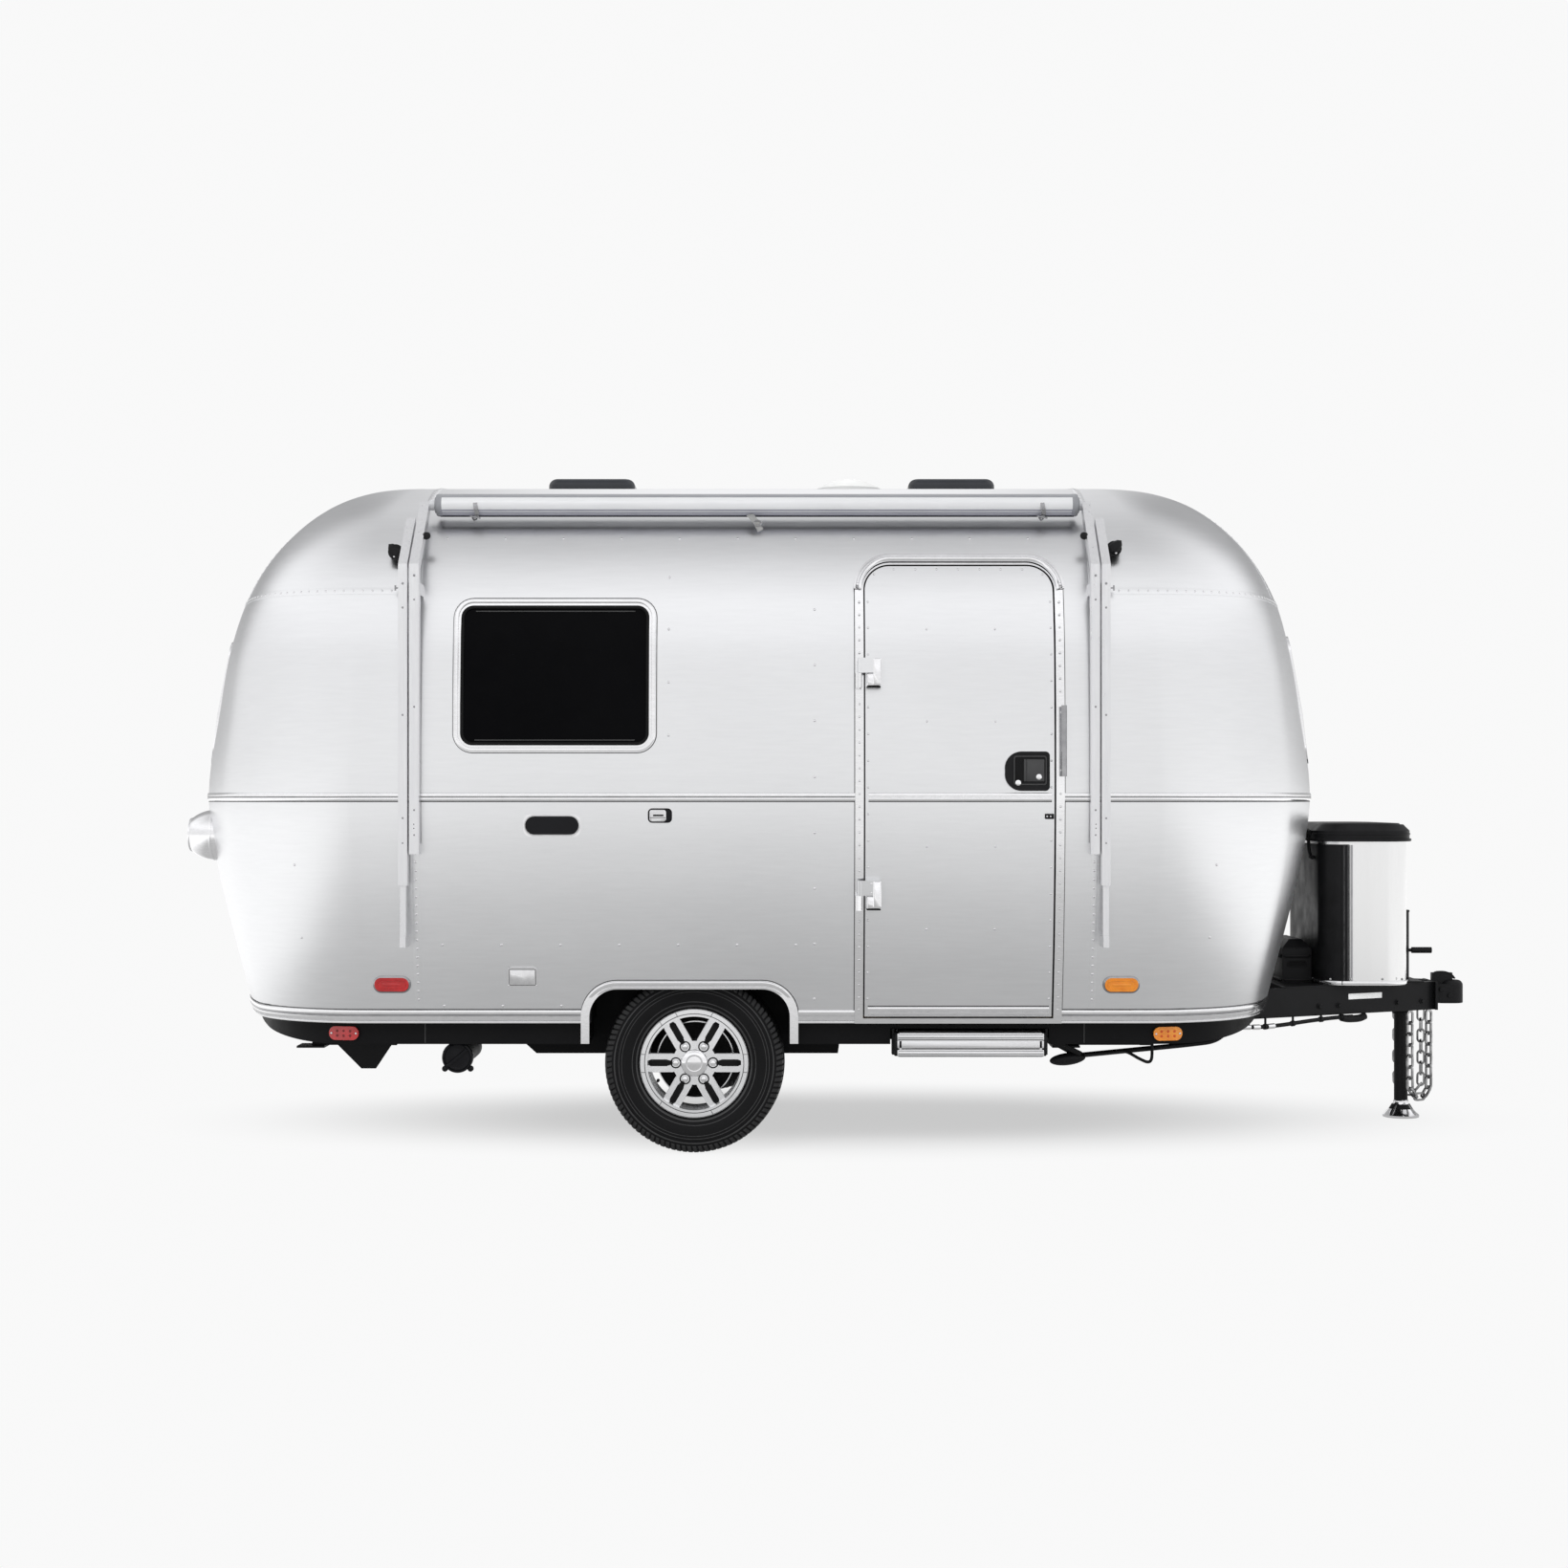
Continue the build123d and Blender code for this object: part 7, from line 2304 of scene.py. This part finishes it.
    def coupler(self) -> None:
        """Lips, side bolts and hand lever of the coupler."""
        size = self.sizes
        lips = Piece("coupler_lips")
        outline = rounded_outline(0.120, 0.098, 0.044, 12) + [2.556, 0.0]
        path = np.column_stack([outline, np.full(len(outline), 0.4900)])
        lips.sweep(path, self.band(0.008, 0.006), UP, closed=True)
        lever = smooth_line(size.lever, 24)
        lips.sweep(lever, rounded_outline(0.030, 0.006, 0.0025, 3), UP)
        surface = Surface("coupler")
        for side in SIDES:
            for place, height in size.coupler_bolts:
                spot = surface.mount(place, height, side)
                if spot is not None:
                    spot.turned(lips, np.array(size.coupler_bolt), steps=6)
        lips.build(Body.TRAILER, BLACK_STEEL, 40)

    def build(self) -> None:
        """Makes every part of the tongue."""
        self.cover()
        self.lid()
        self.rails()
        self.battery()
        self.jack()
        self.coupler()


@dataclass(frozen=True)
class UnderSizes:
    """Places and sizes of the small parts under the floor and on the rear wall."""

    treads: tuple[float, float] = (0.453, 0.391)
    tread_middle: float = 0.4355
    tread_long: float = 0.556
    tread_ends: tuple[float, float] = (0.152, 0.719)
    drain: tuple[float, float, float] = (-1.524, -1.020, 0.366)
    pan_seams: tuple[float, ...] = (-1.643, 0.873)
    tail_lamps: tuple[float, float] = (0.520, 1.211)
    drain_rim: Section = ((0.0530, -0.022), (0.0590, -0.020), (0.0600, 0.004), (0.0575, 0.0105),
                          (0.0510, 0.0125), (0.0475, 0.0080), (0.0300, 0.0070), (0.0020, 0.0095))
    drain_ear: Section = ((0.0115, 0.0), (0.0115, 0.012), (0.0090, 0.0145), (0.0040, 0.0150))
    drain_bar_turn: float = 40.0
    groove_lifts: tuple[float, ...] = (0.0090, -0.0020, -0.0100)
    drive: Point = (0.822, -0.955, 0.352)
    links: tuple[Path, ...] = (((0.742, -0.975, 0.438), (0.872, -0.965, 0.372)),
                               ((0.742, -0.935, 0.430), (0.858, -0.940, 0.366)))
    rod: Path = ((0.872, -0.950, 0.366), (0.980, -0.945, 0.374), (1.046, -0.940, 0.379),
                 (1.100, -0.936, 0.352), (1.134, -0.932, 0.338), (1.150, -0.930, 0.350),
                 (1.152, -0.930, 0.400), (1.152, -0.930, 0.440))
    strut: Path = ((0.872, -0.900, 0.360), (1.100, -0.896, 0.382), (1.320, -0.892, 0.404),
                   (1.400, -0.890, 0.418), (1.452, -0.888, 0.452))
    skirt: Section = ((-0.640, 0.040), (-0.550, -0.040), (0.640, -0.040), (0.650, 0.040))
    skirt_at: Point = (-0.700, 0.725, 0.392)


class Underside:
    """Tread lines and brackets, wheel skirts, drain cap, pan seams, step linkage and tail-lamp rings."""

    def __init__(self, sizes: UnderSizes = UnderSizes()) -> None:
        """Takes the sizes."""
        self.sizes = sizes

    def treads(self) -> None:
        """Bright nosing and painted shade lines for the grooves on the two treads, and the black brackets at
        their ends.
        """
        size = self.sizes
        nosing = Piece("step_nosings")
        groove_shade = Piece("step_groove_shade")
        surface = Surface("step_treads")
        for height in size.treads:
            mount = surface.mount(size.tread_middle, height)
            if mount is None:
                continue
            mount.plate(nosing, rounded_outline(size.tread_long, 0.026, 0.003, 3), 0.0030, 0.0012,
                        (0, 0, -0.0005))
            # Painted shade: dark lines standing for the grooves.
            for lift in size.groove_lifts:
                mount.plate(groove_shade, rounded_outline(size.tread_long - 0.006, 0.0020, 0.0008, 2), 0.0031,
                            0.0003, (0.0, lift, -0.0002))
        skirt = surface.mount(size.tread_middle, size.treads[0])
        if skirt is not None:
            skirt.plate(nosing, rounded_outline(size.tread_long, 0.029, 0.003, 3), 0.0040, 0.0012,
                        (0, -0.0285, -0.004))
        nosing.build(Body.TREADS, TREAD_METAL)
        groove_shade.build(Body.TREADS, SEAM_SHADOW)
        ends = Piece("step_end_brackets")
        for place, out in zip(size.tread_ends, SIDES):
            mount = Mount(np.array([place - 0.006 * out, -1.068, 0.4225]), np.array([0.0, out, 0.0]),
                          UP, np.array([out, 0.0, 0.0]))
            mount.plate(ends, rounded_outline(0.082, 0.088, 0.016, 5), 0.012, 0.003)
            for lift in (0.028, -0.028):
                mount.turned(ends, round_head(0.010, 0.007), (0.0, lift, 0.0115), 16)
        ends.build(Body.TREADS, BLACK_STEEL, 40)

    def linkage(self) -> None:
        """Drive lump, link and bent rod in front of the step."""
        size = self.sizes
        lump = Piece("step_drive")
        turn = np.linspace(0.05, np.pi - 0.05, 16)
        lump.lathe(np.column_stack([0.024 * np.sin(turn), -0.070 * np.cos(turn)]), size.drive,
                   (1.0, 0.0, 0.12), 24)
        for link in size.links:
            lump.sweep(np.array(link), rounded_outline(0.010, 0.020, 0.003, 3), np.array([0.3, 0.0, 1.0]))
        lump.tube(smooth_line(size.rod, 60), 0.0062, 10)
        lump.tube(smooth_line(size.strut, 40), 0.0100, 12)
        lump.build(Body.TRAILER, BLACK_STEEL, 50)

    def skirts(self) -> None:
        """Dark frame skirts behind the road wheels."""
        piece = Piece("axle_skirts")
        shape = np.array(self.sizes.skirt)
        along, across, height = self.sizes.skirt_at
        for side in SIDES:
            outline = shape if side < 0 else (shape * [-1.0, 1.0])[::-1]
            piece.plate(outline, (along, side * across, height), (-side, 0.0, 0.0), UP, 0.030, 0.004)
        piece.build(Body.TRAILER, BLACK_PAN, 30)

    def drain(self) -> None:
        """Cap of the drain outlet: rim, dished face, diagonal bar and two ears."""
        size = self.sizes
        cap = Piece("drain_cap")
        mount = Mount.facing(size.drain)
        mount.turned(cap, np.array(size.drain_rim), steps=48)
        lean = math.radians(size.drain_bar_turn)
        turned = Mount(mount.origin, np.array([math.cos(lean), 0.0, math.sin(lean)]),
                       np.array([-math.sin(lean), 0.0, math.cos(lean)]), mount.out)
        turned.plate(cap, rounded_outline(0.100, 0.014, 0.005, 4), 0.0130, 0.0030, (0.0, 0.0, 0.0050))
        for angle in (-42.0, -138.0):
            ear = (0.066 * math.cos(math.radians(angle)), 0.066 * math.sin(math.radians(angle)), -0.012)
            mount.turned(cap, np.array(size.drain_ear), ear, 16)
        cap.build(Body.TRAILER, GLOSS_BLACK, 40)

    def pan_seams(self) -> None:
        """Upright joint lines on the sides of the belly pan."""
        piece = Piece("pan_seams")
        surface = Surface("belly_pan")
        for place in self.sizes.pan_seams:
            for side in SIDES:
                spots = [surface.mount(place, height, side) for height in np.linspace(0.425, 0.505, 12)]
                spots = [spot for spot in spots if spot is not None]
                if len(spots) > 2:
                    piece.sweep(np.stack([spot.origin for spot in spots]), EdgeLines.flat_line(0.005, 0.0016),
                                np.stack([spot.out for spot in spots]))
        if piece.count:
            piece.build(Body.TRAILER, RUBBER_RING)

    def tail_rings(self) -> None:
        """Bright rings at the face and the waist of each tail lamp."""
        piece = Piece("tail_lamp_rings")
        half, height = self.sizes.tail_lamps
        for side in SIDES:
            for place, radius in ((-2.6655, 0.0655), (-2.574, 0.1005)):
                piece.lathe(np.array([[-0.004, 0.006], [0.002, 0.005], [0.0035, 0.0], [0.002, -0.005],
                                      [-0.004, -0.006]])
                            + [radius, 0.0], (place, side * half, height), (-1.0, 0.0, 0.0), 48)
        piece.build(Body.TRAILER, CHROME, 50)

    def build(self) -> None:
        """Makes every part."""
        self.treads()
        self.skirts()
        self.linkage()
        self.drain()
        self.pan_seams()
        self.tail_rings()


@dataclass(frozen=True)
class Lamp:
    """A soft area lamp: its place, the point it faces, its width and height, and its watts."""

    name: str
    place: tuple[float, float, float]
    aim: tuple[float, float, float]
    size: tuple[float, float]
    power: float

    def build(self) -> None:
        """Hangs the lamp, hidden from the camera and from reflections."""
        data = bpy.data.lights.new(self.name, "AREA")
        data.shape = "RECTANGLE"
        data.size, data.size_y = self.size
        data.energy = self.power
        item = bpy.data.objects.new(self.name, data)
        item.location = self.place
        way = np.asarray(self.aim, float) - np.asarray(self.place, float)
        item.rotation_euler = (math.atan2(math.hypot(way[0], way[1]), -way[2]), 0.0,
                               math.atan2(way[0], -way[1]) + math.pi)
        bpy.context.scene.collection.objects.link(item)
        item.visible_camera = False
        item.visible_glossy = False


Limits = tuple[float, float, float, float]


@dataclass(frozen=True)
class Studio:
    """Camera, pale floor, soft lamps and near-white surroundings.

    A set of limits holds where a range starts and stops, and the values it gives there.
    """

    camera_at: tuple[float, float, float] = (-0.273, -10.0, 1.366)
    lens: float = 53.78
    sensor: float = 36.0
    shift_y: float = 0.0079
    far: float = 300.0
    white: float = 0.945
    tones: tuple[tuple[float, float], ...] = ((0.0, 0.83), (0.30, 0.83), (0.46, 1.0), (0.62, 0.95),
                                              (0.81, 0.80), (1.0, 0.52))
    tone_blue: float = 1.01
    sky: Colour = (0.96, 0.98, 1.0)
    sky_strength: float = 0.55
    side_weight: float = 0.35
    rise_weight: float = 0.6
    middle: Limits = (0.05, 0.24, -0.3, 0.0)
    fall: Limits = (0.88, 1.18, 1.2, 0.46)
    floor_rings: tuple[float, ...] = (0.02, 3.0, 8.0, 20.0, 90.0)
    floor_sides: int = 96
    floor_level: float = -0.0005
    floor_paint: Colour = (0.82, 0.82, 0.825)
    shadow_shape: tuple[float, float, float] = (0.34, 0.80, 0.0)
    shadow_fade: Limits = (0.30, 1.05, 0.60, 1.0)
    mirror_near: Limits = (2.4, 10.0, 0.50, 0.98)
    mirror_ends: Limits = (2.4, 4.4, 0.0, 1.25)
    lamps: tuple[Lamp, ...] = (
        Lamp("key_lamp", (-2.5, -7.5, 5.5), (-0.5, 0.0, 1.2), (5.0, 3.0), 190.0),
        Lamp("front_lamp", (4.5, -6.5, 4.0), (0.8, 0.0, 1.2), (2.2, 2.6), 70.0),
        Lamp("top_lamp", (-0.4, 0.5, 7.5), (-0.4, 0.0, 0.0), (7.0, 4.0), 230.0),
        Lamp("street_lamp", (-0.4, 8.0, 5.0), (-0.4, 0.0, 1.2), (6.0, 3.0), 150.0))

    def camera(self) -> None:
        """Level camera square to the curb side, as the photograph was taken."""
        data = bpy.data.cameras.new("studio_camera")
        data.lens = self.lens
        data.sensor_width = self.sensor
        data.shift_y = self.shift_y
        data.clip_end = self.far
        camera = bpy.data.objects.new("studio_camera", data)
        camera.location = self.camera_at
        camera.rotation_euler = (math.pi / 2, 0.0, 0.0)
        bpy.context.scene.collection.objects.link(camera)
        bpy.context.scene.camera = camera

    @staticmethod
    def ranged(kit: NodeTree, source: bpy.types.NodeSocket, limits: Limits,
               smooth: bool = False) -> bpy.types.NodeSocket:
        """Carries a value from one range to another, straight or eased at both ends."""
        node = kit.fed("ShaderNodeMapRange", source, *limits)
        if smooth:
            node.interpolation_type = "SMOOTHSTEP"
        return node.outputs[0]

    def surroundings(self) -> None:
        """World: near-white where it is seen, softer where it lights, darker overhead in the metal."""
        world = bpy.data.worlds.new("studio_world")
        world.use_nodes = True
        bpy.context.scene.world = world
        kit = NodeTree(world.node_tree)
        path = kit.node("ShaderNodeLightPath").outputs
        place = kit.node("ShaderNodeTexCoord")
        way = kit.fed("ShaderNodeSeparateXYZ", place.outputs["Generated"]).outputs
        ramp = kit.fed("ShaderNodeValToRGB", way["Z"])
        stops = ramp.color_ramp.elements
        for stop in list(stops)[1:]:
            stops.remove(stop)
        stops[0].color = rgba((self.tones[0][1],) * 3)
        for position, tone in self.tones[1:]:
            stops.new(position).color = rgba((tone, tone, tone * self.tone_blue))
        seen = kit.fed("ShaderNodeBackground", rgba((self.white,) * 3), 1.0)
        mirrored = kit.fed("ShaderNodeBackground", ramp.outputs[0], self.behind(kit, way))
        lighting = kit.fed("ShaderNodeBackground", rgba(self.sky), self.sky_strength)
        glossy = kit.fed("ShaderNodeMath", path["Is Glossy Ray"], path["Is Transmission Ray"],
                         operation="MAXIMUM")
        first = kit.fed("ShaderNodeMixShader", glossy.outputs[0], lighting.outputs[0], mirrored.outputs[0])
        second = kit.fed("ShaderNodeMixShader", path["Is Camera Ray"], first.outputs[0], seen.outputs[0])
        kit.fed("ShaderNodeOutputWorld", second.outputs[0])

    def behind(self, kit: NodeTree, way: bpy.types.bpy_prop_collection) -> bpy.types.NodeSocket:
        """Strength of what the metal mirrors: it falls off behind and above, which draws the round ends.

        Args:
            kit: Tree of the world.
            way: Sockets with the parts of the direction.
        Returns:
            The strength.
        """
        side = kit.fed("ShaderNodeMath", way["X"], operation="ABSOLUTE").outputs[0]
        lean = kit.fed("ShaderNodeMath", side, self.side_weight, way["Y"], operation="MULTIPLY_ADD")
        rise = kit.fed("ShaderNodeMath", way["Z"], self.rise_weight, lean.outputs[0],
                       operation="MULTIPLY_ADD")
        middle = self.ranged(kit, side, self.middle)
        total = kit.fed("ShaderNodeMath", rise.outputs[0], middle, operation="ADD")
        return self.ranged(kit, total.outputs[0], self.fall, smooth=True)

    def floor(self) -> None:
        """Round pale floor that fades to the background and keeps a soft shadow."""
        ring = circle(1.0, self.floor_sides)
        rows = len(self.floor_rings)
        grid = np.array(self.floor_rings)[:, None, None] * np.column_stack([ring, np.zeros(self.floor_sides)])
        grid[..., 2] = self.floor_level
        faces = grid_faces(rows, self.floor_sides, wrap_cols=True).tolist() + [list(range(self.floor_sides))]
        mesh = bpy.data.meshes.new("studio_floor")
        mesh.from_pydata(grid.reshape(-1, 3).tolist(), [], faces)
        item = bpy.data.objects.new("studio_floor", mesh)
        bpy.context.scene.collection.objects.link(item)
        mesh.materials.append(self.floor_material())

    def floor_material(self) -> bpy.types.Material:
        """Paint of the floor: shadowed near the object, white far off, and in the metal an emitted tone,
        dimmed near the object as a painted shadow and raised past the ends as painted light.
        """
        material = bpy.data.materials.new("studio_floor_paint")
        material.use_nodes = True
        kit = NodeTree(material.node_tree)
        path = kit.node("ShaderNodeLightPath").outputs
        place = kit.node("ShaderNodeTexCoord").outputs["Object"]
        matte = kit.fed("ShaderNodeBsdfDiffuse", rgba(self.floor_paint))
        shown = kit.fed("ShaderNodeEmission", rgba((self.white,) * 3), 1.0)
        squeeze = kit.fed("ShaderNodeVectorMath", place, self.shadow_shape, operation="MULTIPLY")
        spread = kit.fed("ShaderNodeVectorMath", squeeze.outputs[0], operation="LENGTH")
        fade = self.ranged(kit, spread.outputs["Value"], self.shadow_fade, smooth=True)
        keep = kit.fed("ShaderNodeMath", path["Is Camera Ray"], fade, operation="MULTIPLY")
        both = kit.fed("ShaderNodeMixShader", keep.outputs[0], matte.outputs[0], shown.outputs[0])
        # Painted reflection: for glossy rays the floor emits a tone that is dim near the object and bright
        # far off and past the ends.
        away = kit.fed("ShaderNodeVectorMath", place, operation="LENGTH")
        split = kit.fed("ShaderNodeSeparateXYZ", place)
        side = kit.fed("ShaderNodeMath", split.outputs["X"], operation="ABSOLUTE")
        near = self.ranged(kit, away.outputs["Value"], self.mirror_near)
        ends = self.ranged(kit, side.outputs[0], self.mirror_ends)
        tone = kit.fed("ShaderNodeMath", near, ends, operation="MAXIMUM")
        mirrored = kit.fed("ShaderNodeEmission", rgba((1.0, 1.0, 1.0)), tone.outputs[0])
        every = kit.fed("ShaderNodeMixShader", path["Is Glossy Ray"], both.outputs[0], mirrored.outputs[0])
        kit.fed("ShaderNodeOutputMaterial", every.outputs[0])
        return material

    def build(self) -> None:
        """Sets up the whole studio."""
        self.camera()
        self.surroundings()
        self.floor()
        for lamp in self.lamps:
            lamp.build()
        bpy.context.scene.view_settings.view_transform = "Standard"


def main() -> None:
    """Loads the frame, dresses every node, adds the new pieces in order and sets the studio."""
    logging.basicConfig(level=logging.INFO, format="%(message)s")
    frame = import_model()
    dress_nodes(frame["nodes"])
    for node in SHELL_NODES:
        ShellPanel(node).build(Body.TRAILER, SHELL)
    ShellPanel("door_panel").build(Body.DOOR, SHELL)
    BodyTrim().build()
    EntryDoor().build()
    EdgeLines().build()
    WallFittings().build()
    Awning().build()
    Tongue().build()
    Underside().build()
    RoadWheel(-1.0, Body.WHEEL_CURB).build()
    RoadWheel(1.0, Body.WHEEL_STREET).build()
    Studio().build()


if __name__ == "__main__":
    main()
